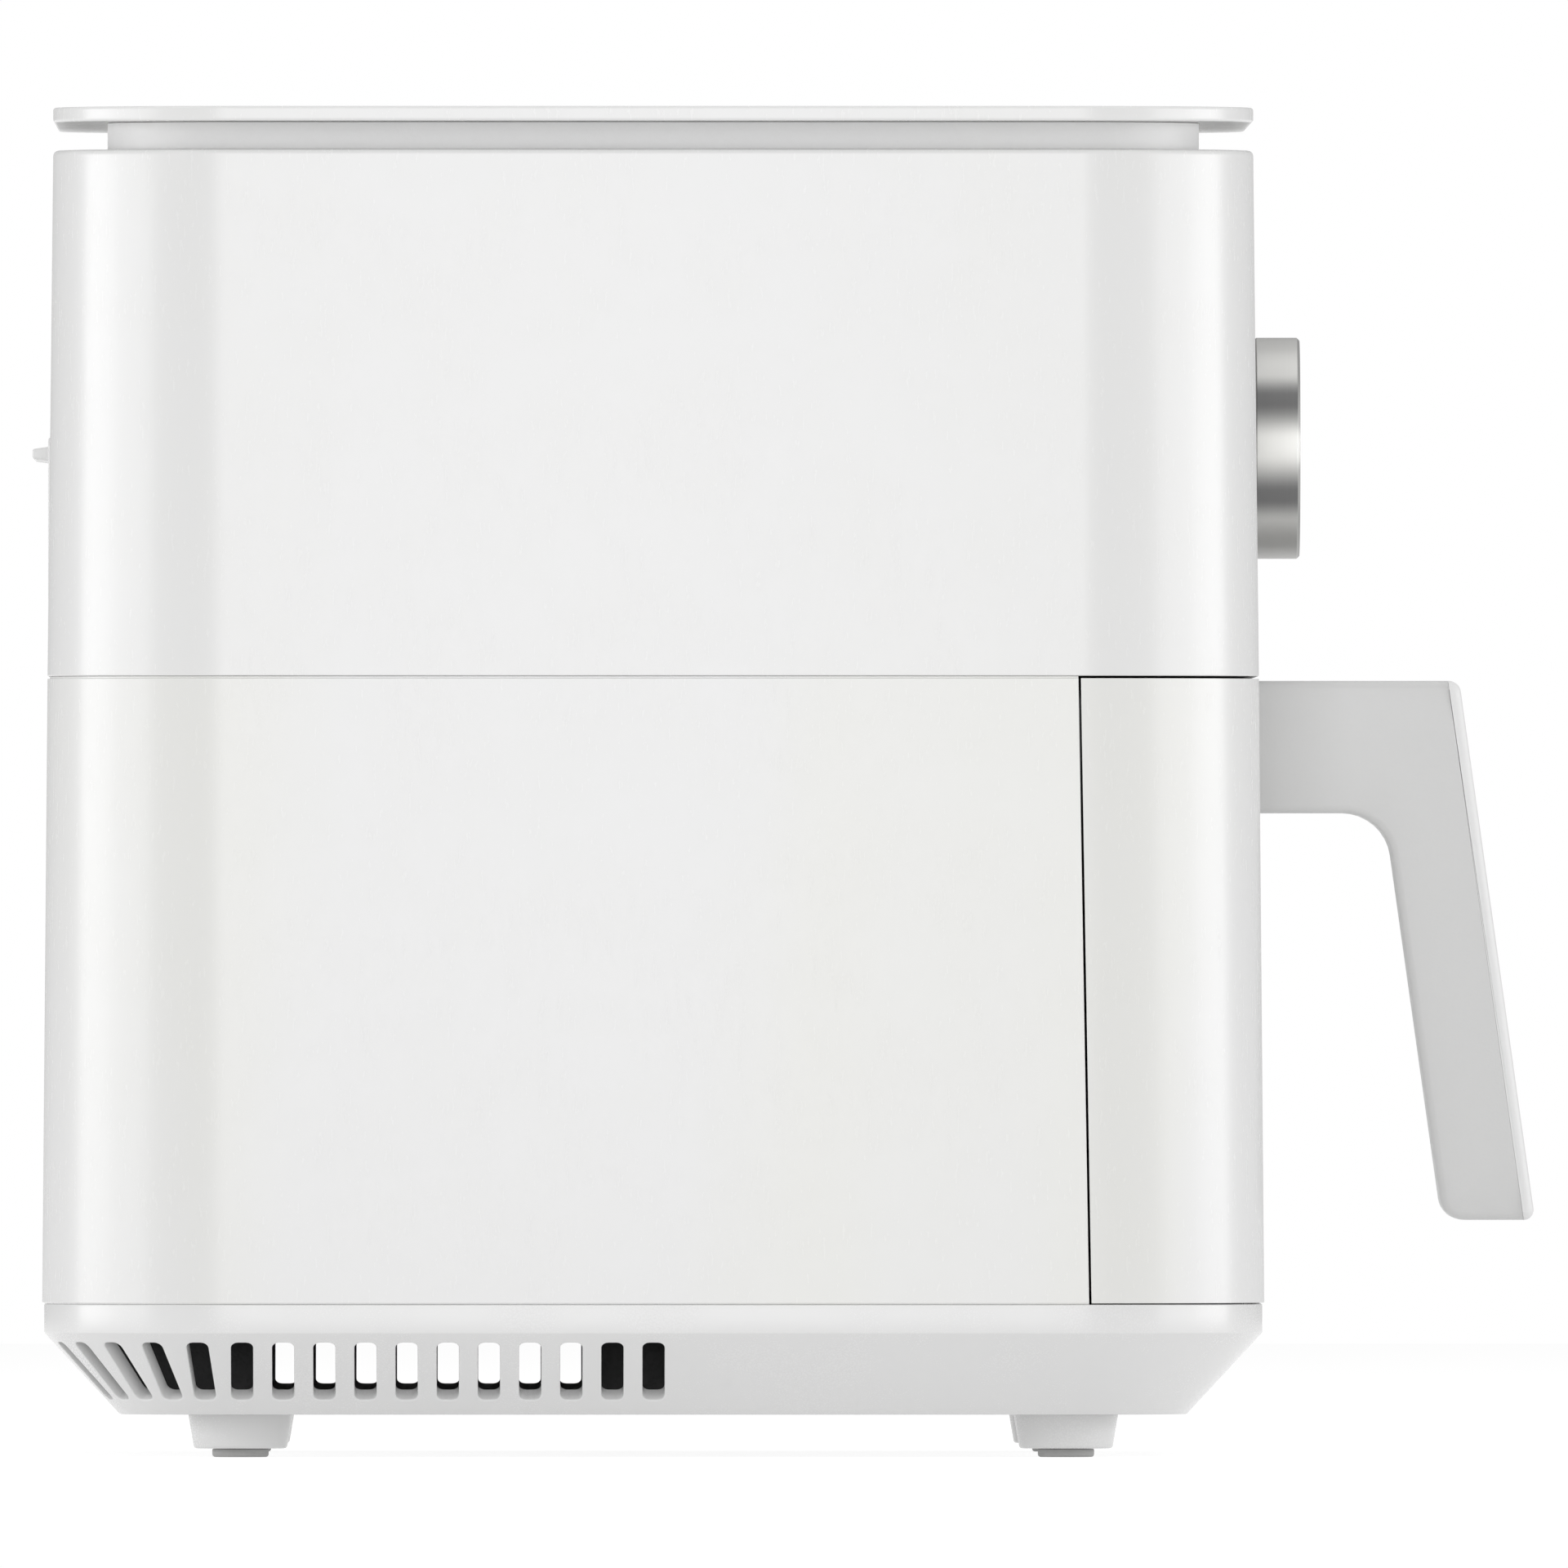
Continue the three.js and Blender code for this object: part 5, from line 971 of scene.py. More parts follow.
@dataclass(frozen=True)
class Form:
    """The outer form that the housing, the base and the drawer's front share."""

    radius: float = 45.0  # corner radius at the base
    seam_inset: float = 1.3  # how far the housing leans in by the seam between its halves
    shoulder_inset: float = 2.7  # how far by its top
    wall: float = 2.5  # thickness of a moulded wall
    seam_gap: float = 0.6  # open line between the shells
    seam_lean: float = 2.6  # how far the drawer seam's top lies behind its bottom
    cap_depth: float = 42.9  # from the front face back to the drawer seam, at the bottom
    lower: Box = field(default_factory=lambda: Box.of("lower_housing"))  # the lower housing's box
    upper: Box = field(default_factory=lambda: Box.of("upper_housing"))  # the upper housing's box

    @property
    def middle_x(self) -> float:
        """The housing's middle in the frame."""
        return float(self.upper.middle[0])

    @property
    def plan(self) -> Plan:
        """The outline at the foot of the housing."""
        length = 2 * (self.middle_x - self.lower.low[0])
        return Plan(length, 2 * self.lower.high[1], self.radius, self.middle_x, 28)

    @property
    def base_top(self) -> float:
        """Where the base ends and the lower housing starts."""
        return float(self.lower.low[2]) - self.seam_gap / 2

    @property
    def seam(self) -> float:
        """The middle of the line between the housings."""
        return float(self.upper.low[2]) - self.seam_gap / 2

    @property
    def shoulder(self) -> float:
        """The top of the upper housing."""
        return float(self.upper.high[2])

    def inset(self, z: float) -> float:
        """How far the outer face stands in from the plan at a height."""
        levels = [self.base_top, self.seam, self.shoulder]
        return float(np.interp(z, levels, [0.0, self.seam_inset, self.shoulder_inset]))

    def seam_x(self, z: Array) -> Array:
        """Where the drawer's side seam runs at a height."""
        share = (np.asarray(z, float) - self.base_top) / (self.seam - self.base_top)
        return self.middle_x + self.plan.length / 2 - self.cap_depth - self.seam_lean * share


@dataclass
class Housing:
    """The moulded shells of the body, with the plate that floats on a recessed neck."""

    form: Form  # the form that the shells share
    plate_rim: float = 0.7  # radius of the top plate's rims
    neck_wall: float = 3.0  # thickness of the neck
    step: float = 0.6  # depth of the stepped rims that close the lower housing's seams
    gap: float = 0.3  # open line round the rear outlet
    window_corner: float = 2.3  # corner radius of the rear outlet's window
    cord_hole: float = 9.3  # radius of the hole for the cord's bush
    rim: float = 0.22  # bevel of the lower housing's rims

    def build(self) -> None:
        """Makes all four shells."""
        self._top_plate()
        self._neck()
        self._upper()
        self._lower()

    def _top_plate(self) -> None:
        """A thin plate with softened rims: a rounded profile carried round the plan."""
        inset, rim = self.form.shoulder_inset, self.plate_rim
        low, high = Box.of("top_plate").ends()
        corners = [(inset + 8, low), (inset, low), (inset, high), (inset + 8, high)]
        skin = self.form.plan.shell(corners, [0, rim, rim, 0])
        Piece("top_plate", skin, GLOSS_WHITE).make()

    def _neck(self) -> None:
        """A low ring wall under the plate."""
        neck = Box.of("top_neck")
        low, high = neck.ends()
        outer = self.form.plan.width / 2 - neck.high[1]
        inner = outer + self.neck_wall
        profile = rounded([(outer, low), (outer, high), (inner, high), (inner, low)], 0.3, 2)
        skin = Skin().grid(self.form.plan.sweep(profile), round_rows=True, round_columns=True)
        Piece("top_neck", skin, NECK_PAINTED_FILL).make()

    def _upper(self) -> None:
        """An open-bottomed shell with the dial's hole and the window for the rear outlet."""
        form, wall, gap = self.form, self.form.wall, self.gap
        low, high = form.upper.low[2], form.shoulder
        seam, top = form.inset(low), form.shoulder_inset
        corners = [
            (top + 40, high - wall), (top + wall, high - wall), (seam + wall, low), (seam, low),
            (top, high), (top + 40, high),
        ]
        skin = form.plan.shell(corners, [0, 1.5, 0.15, 0.3, 1.3, 0], 5)
        ring, cover = Box.of("knob_ring"), Box.of("air_outlet_cover")
        radius = Box.of("button_cap").size[1] / 2 + Dial.hub_wall + 2 * Dial.gap
        hole = Skin().drum(radius, ring.low[0] - 30, ring.high[0], Axis.X, (0, 0, ring.middle[2]), 64)
        side, low, high = cover.high[1] + gap, cover.low[2] - gap, cover.high[2] + gap
        rectangle = Outline.oblong((-side, low), (side, high), self.window_corner)
        back = cover.low[0]
        window = Skin().closed(facing(rectangle.slab(back - 5, back + 30, 0.01, 1), Axis.X))
        Piece("upper_housing", skin, GLOSS_WHITE, cuts=[hole, window]).make()

    def _lower(self) -> None:
        """The side and back skin, whose stepped rims close the seams above and below."""
        form, wall, step = self.form, self.form.wall, self.step
        low, high = form.lower.ends()
        foot, head = form.inset(low), form.inset(high)
        above, below = high + form.seam_gap - 0.06, low - form.seam_gap / 2 + 0.04
        corners = [
            (foot, low), (head, high), (head + step, high), (head + step, above), (head + wall, above),
            (foot + wall, below), (foot + step, below), (foot + step, low),
        ]
        points = form.plan.half(np.array(corners), lambda z: form.seam_x(z) - form.seam_gap / 2, -1)
        skin = Skin().grid(points, round_rows=True).cap(points[:, 0]).cap(points[:, -1])
        gland = Box.of("cord_gland")
        back = gland.low[0]
        hole = Skin().drum(self.cord_hole, back - 5, back + 12, Axis.X, gland.on_line(), 40)
        Piece("lower_housing", skin, LOWER_WHITE, cuts=[hole], edge=self.rim).make()


@dataclass
class Base:
    """The base pan, whose sloped skirt is pierced by vents, with its feet and pads."""

    form: Form  # the housing's form
    band_inset: float = 0.5  # how far the upright band stands in
    band_height: float = 7.0  # height of the band
    skirt_run: float = 18.5  # how far the skirt leans in
    skirt_wall: float = 4.0  # thickness of the skirt, square to its slope
    floor: float = 2.5  # thickness of the floor
    vent_half: float = 2.7  # half a vent's width
    vent_rise: float = 10.6  # from the underside to a vent's middle
    vent_mouth: float = 14.0  # upright height of a vent
    vent_corner: float = 1.7  # its corner radius
    lip: float = 0.3  # radius of its rounded rim
    pitches: int = 104  # vent pitches in the whole loop
    vents: int = 53  # vents, from the left side's middle back round to the right side's
    stem: float = 4.0  # radius of a pad's stem, which sits in its foot
    taper: float = 1.4  # how much narrower a foot is at its toe
    ridge: float = 0.35  # height of a pad's ridges

    def __post_init__(self) -> None:
        """Works out the levels, the slope and the loop that the vents stand on.

        The loop starts at the left side's middle. For each straight and each corner it keeps the way
        gone, the straight way gone, the turn made and where the spine is.
        """
        self.low, self.high = Box.of("base_pan").ends()
        self.band = self.high - self.band_height
        self.rise = self.band - self.low
        slope = math.hypot(self.rise, self.skirt_run)
        self.up, self.out = self.rise / slope, self.skirt_run / slope
        self.middle = self.low + self.vent_rise
        half = min(self.band - 0.5 - self.middle, self.vent_rise - 0.5)
        self.levels = np.linspace(self.middle - half, self.middle + half, 7)
        plan = self.form.plan
        side, back = plan.reach
        flat = np.array([side, 0, 2 * back, 0, 2 * side, 0, 2 * back, 0, side])
        turn = np.array([0, 1] * 4 + [0]) * QUARTER
        ways_x, ways_y = np.array([(-1, 0, 0, 0, 1, 0, 0, 0, -1), (0, 0, 1, 0, 0, 0, -1, 0, 0)]) * flat
        radius = plan.radius - self.inside(self.middle, 0)[0]
        self.marks, self.flats, self.turns, self.spine_x, self.spine_y = (
            start + np.concatenate([[0], np.cumsum(steps)])
            for start, steps in (
                (0, flat + turn * radius), (0, flat), (0, turn), (plan.x, ways_x), (-back, ways_y)
            )
        )
        self.pitch = self.marks[-1] / self.pitches

    def inside(self, z: Array | float, deep: float) -> tuple:
        """Inset and height of the point that lies a depth inside the skirt, square to it, at z."""
        inset = self.band_inset + self.skirt_run * (self.band - z) / self.rise
        return inset + self.up * deep, z + self.out * deep

    def place(self, along: Array, inset: Array, z: Array) -> Array:
        """The point at a distance along the vents' loop, an inset and a height.

        The spine point and the direction faced are straight-line functions of the distance, and the
        point lies at spine + (radius - inset) * direction.

        Args:
            along: The distance along the loop.
            inset: How far in the point lies.
            z: Its height.

        Returns:
            The points.
        """
        along, inset, z = np.broadcast_arrays(np.mod(along, self.marks[-1]), inset, z)
        angle = -QUARTER - np.interp(along, self.marks, self.turns)
        reach = self.form.plan.radius - inset
        x = np.interp(along, self.marks, self.spine_x) + reach * np.cos(angle)
        y = np.interp(along, self.marks, self.spine_y) + reach * np.sin(angle)
        return np.stack([x, y, z], axis=-1)

    def bore(self, start: float, outline: Array, deep: float) -> Array:
        """Points of a vent whose sides are parallel, also where the skirt turns a corner.

        The distance along the loop is found from the sideways offset by repeating
        along += offset - length(along), where length follows the radius at the point itself.

        Args:
            start: The vent's middle along the loop.
            outline: Offsets sideways and up the slope.
            deep: How far inside the outer face, square to it.

        Returns:
            The points.
        """
        offset, rise = outline.T
        inset, z = self.inside(self.middle + rise * self.up, deep)
        radius, along = self.form.plan.radius - inset, start + offset

        def length(at: Array | float) -> Array:
            """The way round to a place, at this point's own radius."""
            laps, wrapped = np.divmod(at, self.marks[-1])
            flat = np.interp(wrapped, self.marks, self.flats) + laps * self.flats[-1]
            turn = np.interp(wrapped, self.marks, self.turns) + laps * self.turns[-1]
            return flat + turn * radius

        for _ in range(14):
            along = along + offset - (length(along) - length(start))
        return self.place(along, inset, z)

    @staticmethod
    def _mirrored(u: Sequence, v: Sequence) -> Array:
        """A whole outline from its first quarter, which runs from its bottom to its right."""
        quarter = np.stack([u, v], axis=-1)
        signs = ((1, 1, 1), (1, -1, -1), (-1, -1, 1), (-1, 1, -1))
        return np.concatenate([(quarter * (right, up))[::way][:-1] for right, up, way in signs])

    def _slot(self, grown: float) -> Array:
        """A vent's outline.

        Args:
            grown: How far it is drawn out.

        Returns:
            Offsets sideways and up the slope.
        """
        corner, wide = self.vent_corner + grown, self.vent_half + grown
        half, turn = self.vent_mouth / self.up / 2 + grown, np.linspace(0, QUARTER, 5)
        u = [0, (wide - corner) / 2, *(wide - corner + corner * np.sin(turn)), wide]
        v = [-half, -half, *(corner - half - corner * np.cos(turn)), 0]
        return self._mirrored(u, v)

    def build(self) -> None:
        """Makes the pan and the four feet with their pads."""
        skin = Skin()
        self._cells(skin)
        self._rims(skin)
        Piece("base_pan", skin, SATIN_WHITE, level_faces=False).make()
        for corner in ("front_left", "front_right", "rear_left", "rear_right"):
            self._foot(corner)

    def _cells(self, skin: Skin) -> None:
        """The skirt: pierced cells where there are vents and plain ones elsewhere.

        A pierced cell is a stack of rings: its border, the vent's rim rounded over a quarter turn,
        the vent's wall, and the same in reverse on the inside.

        Args:
            skin: The skin that they join.
        """
        half = (self.levels[-1] - self.levels[0]) / 2
        border = self._mirrored(np.array([0, 1, 2, 3, 4, 4, 4, 4]) * self.pitch / 8,
                                np.array([3, 3, 3, 3, 3, 2, 1, 0]) * -half / 3)
        turn = np.linspace(0, QUARTER, 4)
        outer = [(self.lip + 0.35, 0.0), *zip(self.lip * (1 - np.sin(turn)), self.lip * (1 - np.cos(turn)))]
        inner = [(size, self.skirt_wall - deep) for size, deep in reversed(outer)]
        slots = [(self._slot(size), deep) for size, deep in outer + inner]
        faces = (0.0, self.skirt_wall)
        for start in np.arange(self.vents) * self.pitch:
            along, z = start + border[:, 0], self.middle + border[:, 1]
            first, last = (self.place(along, *self.inside(z, deep)) for deep in faces)
            rings = [self.bore(start, outline, deep) for outline, deep in slots]
            skin.grid(np.stack([first, *rings, last]), round_columns=True)
        plain = np.arange(self.vents * 8 - 4, self.pitches * 8 - 3)[None] * self.pitch / 8
        for deep in faces:
            skin.grid(self.place(plain, *self.inside(self.levels[:, None], deep)))

    def _rims(self, skin: Skin) -> None:
        """All that runs round above and below the cells, on the cells' own stations.

        Args:
            skin: The skin that it joins.
        """
        along = np.arange(self.pitches * 8)[None] * self.pitch / 8
        low, high = self.levels[[0, -1]]
        deep, level, middle = self.skirt_wall, self.skirt_wall / self.up, 40.0
        band, wall, floor = self.band_inset, self.band_inset + self.form.wall, self.low + self.floor
        knee = self.band + (level - self.form.wall) / self.skirt_run * self.rise
        above = [
            self.inside(high, 0), (band, self.band), (band, self.high), (wall, self.high), (wall, knee),
            self.inside(high, deep),
        ]
        below = [self.inside(low, 0), self.inside(self.low, 0), (middle, self.low)]
        within = [self.inside(low, deep), (self.inside(floor, 0)[0] + level, floor), (middle, floor)]
        paths = ((above, [0, 0.35, 0.3, 0.3, 0.5, 0]), (below, [0, 0.4, 0]), (within, [0, 0.3, 0]))
        for corners, radii in paths:
            path = rounded(corners, radii, 4, closed=False)
            points = self.place(along, path[:, :1], path[:, 1:])
            skin.grid(points, round_columns=True)
            if corners is not above:
                skin.cap(points[-1])

    def _foot(self, corner: str) -> None:
        """A tapered foot with a soft toe, and the ridged pad whose stem sits in it.

        Args:
            corner: The end of both nodes' names.
        """
        foot, pad = Box.of("foot_" + corner), Box.of("foot_pad_" + corner)
        place, (low, high) = (foot.middle[0], foot.middle[1], 0), foot.ends()
        top, wide, stem, tip = foot.size[0] / 2, pad.size[0] / 2, self.stem, pad.high[2]
        hole, socket = stem + 0.3, tip + 0.3
        corners = [(0, socket), (hole, socket), (hole, low), (top - self.taper, low), (top, high), (0, high)]
        skin = Skin().lathe(corners, [0, 0, 0.2, 0.9, 0.15, 0], Axis.Z, place, 56, 5)
        Piece("foot_" + corner, skin, SATIN_WHITE).make()
        ridges = []
        for start in (1.6, 4.1):
            ridges += [(start, 0), (start + 0.3, self.ridge), (start + 0.9, self.ridge), (start + 1.2, 0)]
        rest = low - 0.1
        corners = [(0, 0), *ridges, (wide, 0), (wide, rest), (stem, rest), (stem, tip), (0, tip)]
        radii = [0, *[0.08] * 8, 0.7, 0.25, 0, 0.4, 0]
        skin = Skin().lathe(corners, radii, Axis.Z, place, 40, 3)
        Piece("foot_pad_" + corner, skin, GREY_RUBBER).make()


@dataclass
class RearOutlet:
    """The louvred cover with its lip, and the bush that lines the cord's hole."""

    rows: int = 5  # rows of louvres
    columns: int = 4  # louvres in a row
    pitch: float = 6.4  # from row to row
    height: float = 3.0  # height of a louvre
    margin: float = 6.0  # from the cover's side to the first louvre's cell
    bar: float = 4.0  # between the louvres of a row, and under the first row
    depth: float = 3.0  # thickness of the cover
    lip_drop: float = 2.2  # from the cover's top to the lip
    lip_root: float = 3.5  # thickness of the lip where it leaves the cover
    lip_tip: float = 2.4  # thickness of the lip at its edge
    lip_reach: float = 3.9  # how far the lip stands out
    sunk: float = 1.2  # how far the lip is sunk into the cover
    cord: float = 5.0  # radius of the bush's bore
    bush: float = 9.0  # radius of the bush in the wall's hole
    bush_flange: float = 12.0  # radius of its flange
    bush_face: float = 2.5  # from its outer face to the flange
    bush_thick: float = 2.0  # thickness of the flange

    def build(self) -> None:
        """Makes both pieces."""
        self._cover()
        self._gland()

    def _cover(self) -> None:
        """A softened plate, joined with its lip and pierced by rows of round-ended louvres."""
        box = Box.of("air_outlet_cover")
        half, (low, high), bar = box.high[1], box.ends(), self.bar
        face = box.low[0] + self.lip_reach
        panel = Outline.oblong((-half, low), (half, high), 2.0)
        skin = Skin().closed(facing(panel.slab(face, face + self.depth, 0.5, 3), Axis.X))
        top, fall = high - self.lip_drop, (self.lip_root - self.lip_tip) / 2
        flare, root, edge = fall * self.sunk / self.lip_reach, face + self.sunk, face - self.lip_reach
        corners = [
            (root, top - self.lip_root - flare), (root, top + flare), (edge, top - fall),
            (edge, top - fall - self.lip_tip),
        ]
        lip = Outline(corners, [0, 0, 0.7, 0.7], [0, 1, 1, 1])
        shelf = Skin().closed(facing(lip.slab(bar - half, half - bar, 0.5, 3), Axis.Y))
        slots = Skin()
        cell = (2 * half - 2 * self.margin) / self.columns
        for row in range(self.rows):
            for column in range(self.columns):
                y, z = self.margin - half + column * cell + bar / 2, low + bar + row * self.pitch
                slot = Outline.oblong((y, z), (y + cell - bar, z + self.height), 1.4)
                slots.closed(facing(slot.slab(face - 1, face + 8, 0.01, 1), Axis.X))
        Piece("air_outlet_cover", skin, SATIN_WHITE, cuts=[slots], joins=[shelf], edge=0.25).make()

    def _gland(self) -> None:
        """A turned rubber bush with a flange inside the wall."""
        box = Box.of("cord_gland")
        bore, bush, flange, length = self.cord, self.bush, self.bush_flange, box.size[0]
        near, far = self.bush_face, self.bush_face + self.bush_thick
        corners = [
            (bore, 0), (bush, 0), (bush, near), (flange, near), (flange, far), (bush - 1, length),
            (bore, length),
        ]
        radii = [1.2, 0.4, 0.1, *[0.6] * 4]
        skin = Skin().lathe(corners, radii, Axis.X, box.on_line(box.low[0]), 48, 5)
        Piece("cord_gland", skin, GREY_RUBBER).make()


@dataclass
class Dial:
    """The turning ring on its fixed hub, round the pressed centre with its lens."""

    wall: float = 5.0  # thickness of the ring
    edge: float = 0.7  # chamfer of its rims
    hub_wall: float = 4.2  # thickness of the hub
    flange: float = 4.0  # how far the hub's flange stands out
    flange_wall: float = 2.0  # thickness of the flange
    flange_place: float = -3.1  # where the flange's front lies, inside the housing
    gap: float = 0.3  # between the pieces
    lens_edge: float = 1.6  # rim of the centre round the lens

    def build(self) -> None:
        """Makes the four pieces."""
        self.box = Box.of("knob_ring")
        self.axis = (0.0, 0.0, float(self.box.middle[2]))
        self.face = float(self.box.low[0]) - self.gap
        self.radius = float(self.box.size[1]) / 2
        self.proud = float(self.box.high[0]) - self.face
        self._ring()
        self._hub()
        self._centre()

    def _turn(self, corners: Sequence, radii: Sequence, segments: int = 72) -> Skin:
        """A lathe shape about the dial's axis, from (radius, distance from the housing) corners."""
        return Skin().lathe(corners, radii, Axis.X, (self.face, 0, self.axis[2]), segments, 3)

    def _ring(self) -> None:
        """The ring, with crisp chamfers whose painted rays are dimmed, and a short pointer groove in its
        face.
        """
        outer, edge, back, proud = self.radius, self.edge, self.gap, self.proud
        inner = outer - self.wall
        corners = [
            (inner, back), (outer - edge, back), (outer, back + edge), (outer, proud - edge),
            (outer - edge, proud), (inner, proud),
        ]
        skin = self._turn(corners, [0.2, 0.12, 0.12, 0.12, 0.12, 0.2], 144)
        groove = Outline.oblong((-0.5, inner + 0.9), (0.5, outer - 1.4), 0.45)
        front = self.face + proud
        tool = Skin().closed(facing(groove.slab(front - 0.35, front + 2, 0.01, 1), Axis.X, self.axis))
        point = tuple(value * MM for value in (self.face, 0, self.axis[2]))
        middle, half = (back + proud) / 2 * MM, (proud - back) / 2 * MM
        metal = SpunMetal("spun_metal_painted_rays", Slot.SATIN_METAL, point, middle, half)
        Piece("knob_ring", skin, metal, Body.DIAL, cuts=[tool]).make()

    def _hub(self) -> None:
        """The fixed tube that the ring turns on, with its flange behind the wall."""
        outer = self.radius - self.wall - self.gap
        inner, front = outer - self.hub_wall, self.proud - 2 * self.edge
        back, rim = float(Box.of("knob_hub").low[0]) - self.face, outer + self.flange
        near, far = self.flange_place, self.flange_place - self.flange_wall
        corners = [
            (inner, back), (outer, back), (outer, far), (rim, far), (rim, near), (outer, near),
            (outer, front), (inner, front),
        ]
        skin = self._turn(corners, [0.3, 0.3, 0.1, 0.4, 0.4, 0.1, 0.5, 0.5])
        Piece("knob_hub", skin, BLACK_PLASTIC).make()

    def _centre(self) -> None:
        """The pressed cup with its stem, and the dark lens set into it."""
        box, lens = Box.of("button_cap"), Box.of("display_lens")
        outer, front, tip = float(box.size[1]) / 2, box.high[0] - self.face, box.low[0] - self.face
        thick, wide, back = float(lens.size[0]), float(lens.size[1]) / 2, front - 8
        seat, recess = outer - self.lens_edge + self.gap, front - thick - self.gap
        corners = [
            (0, tip), (3, tip), (3, back), (outer, back), (outer, front), (seat, front), (seat, recess),
            (0, recess),
        ]
        skin = self._turn(corners, [0, 0.4, 0.8, 0.5, 0.35, 0.12, 0.1, 0])
        Piece("button_cap", skin, BLACK_PLASTIC, Body.BUTTON).make()
        corners = [(0, front - thick), (wide, front - thick), (wide, front), (0, front)]
        skin = self._turn(corners, [0, 0.1, 0.3, 0])
        glass = DisplayGlass("dark_display_glass", Slot.DISPLAY_GLASS, tuple(lens.middle * MM))
        Piece("display_lens", skin, glass, Body.BUTTON).make()


@dataclass
class Drawer:
    """The drawer: its hollow front, the plate behind it, the pot and the handle."""

    form: Form  # the housing's form
    arm_height: float = 32.5  # height of the handle's arm
    grip: float = 22.7  # thickness of the grip, measured level
    lean: float = math.tan(math.radians(8))  # the grip's outward lean, across for each unit down
    grip_wall: float = 3.0  # wall of the grip round its hollow, which opens towards the strip
    cover: float = 2.8  # thickness of the strip on the grip's outside
    soft: float = 2.4  # radius of the handle's rounded sides
    crown: tuple[float, float] = (14.0, 0.85)  # how far in the handle's sides are crowned, and by how much
    flange: float = 5.0  # width of the pot's flange
    draft: float = 5.0  # how far the pot's wall leans in
    pot_wall: float = 1.5  # thickness of the pot
    pot_radius: float = 42.0  # corner radius of the pot's flange

    def build(self) -> None:
        """Makes every piece of the drawer."""
        self._front()
        self._inner_cover()
        self._pot()
        self._handle()
        self._bolts()

    def _front(self) -> None:
        """A cap with the housing's own outline: an outer block less an inner one that runs out behind."""
        form, wall = self.form, self.form.wall
        box = Box.of("drawer_front")
        low, high = box.ends()
        foot, head = form.inset(low), form.inset(high)
        outer = np.array([(foot, low), (head, high)])
        inner = np.array([(foot + wall, low + wall), (head + wall, high - wall)])
        skin = Skin().block(form.plan.half(outer, lambda z: form.seam_x(z) + form.seam_gap / 2, 1))
        cavity = Skin().block(form.plan.half(inner, lambda z: form.seam_x(z) - 8, 1))
        bolts = self._bolt_holes(2.8, box.high[0] - 10, box.high[0] + 5)
        Piece("drawer_front", skin, LOWER_WHITE, Body.DRAWER, cuts=[cavity, bolts], edge=Housing.rim).make()

    @staticmethod
    def _bolt_holes(radius: float, start: float, end: float | None = None) -> Skin:
        """Drums on both bolts' axes.

        Args:
            radius: A drum's radius.
            start: Where the drums start.
            end: Where they end, or None for a little past each bolt's tip.

        Returns:
            The drums.
        """
        holes = Skin()
        for bolt in (Box.of("handle_bolt_1"), Box.of("handle_bolt_2")):
            holes.drum(radius, start, end or bolt.high[0] + 0.6, Axis.X, bolt.on_line())
        return holes

    @staticmethod
    def _inner_cover() -> None:
        """A plate with rounded corners and rims, a little narrower at its top."""
        box = Box.of("drawer_inner_cover")
        half, (low, high) = box.high[1], box.ends()
        top = half - 1.2
        outline = Outline([(-half, low), (half, low), (top, high), (-top, high)], [3.0] * 4)
        skin = Skin().closed(facing(outline.slab(box.low[0], box.high[0], 0.5, 3), Axis.X))
        Piece("drawer_inner_cover", skin, BLACK_PLASTIC, Body.DRAWER).make()

    def _pot(self) -> None:
        """A deep-drawn pot: one profile from the inner floor over the rolled flange to the underside."""
        box = Box.of("fry_pot")
        plan = Plan(box.size[0], box.size[1], self.pot_radius, box.middle[0], 28)
        (low, rim), wall = box.ends(), self.pot_wall
        near, far, middle = self.flange, self.flange + self.draft, 60
        corners = [
            (middle, low + wall), (far + wall + 3, low + wall), (far + wall, low + wall + 3),
            (near + wall, rim - 0.4), (near + wall - 0.6, rim), (0, rim), (0, rim - wall),
            (near, rim - wall), (far, low + 3), (far + 3, low), (middle, low),
        ]
        skin = plan.shell(corners, [0, 1.8, 1.8, 0.2, 0.5, 0.6, 0.6, 1.2, 2.5, 2.5, 0])
        Piece("fry_pot", skin, NON_STICK, Body.DRAWER).make()

    def _handle(self) -> None:
        """The arm and the leaning grip, and the pale strip that runs down the grip's outside."""
        box, foot = Box.of("handle"), Box.of("handle_cover").high[0]
        root, half, (low, top) = box.low[0], box.high[1], box.ends()
        outer = foot - self.lean * (top - low)

        def line(depth: float, *heights: float) -> list[tuple[float, float]]:
            """Points on the grip's outer line, drawn in by a depth, at some heights."""
            return [(outer + self.lean * (top - z) - depth, z) for z in heights]

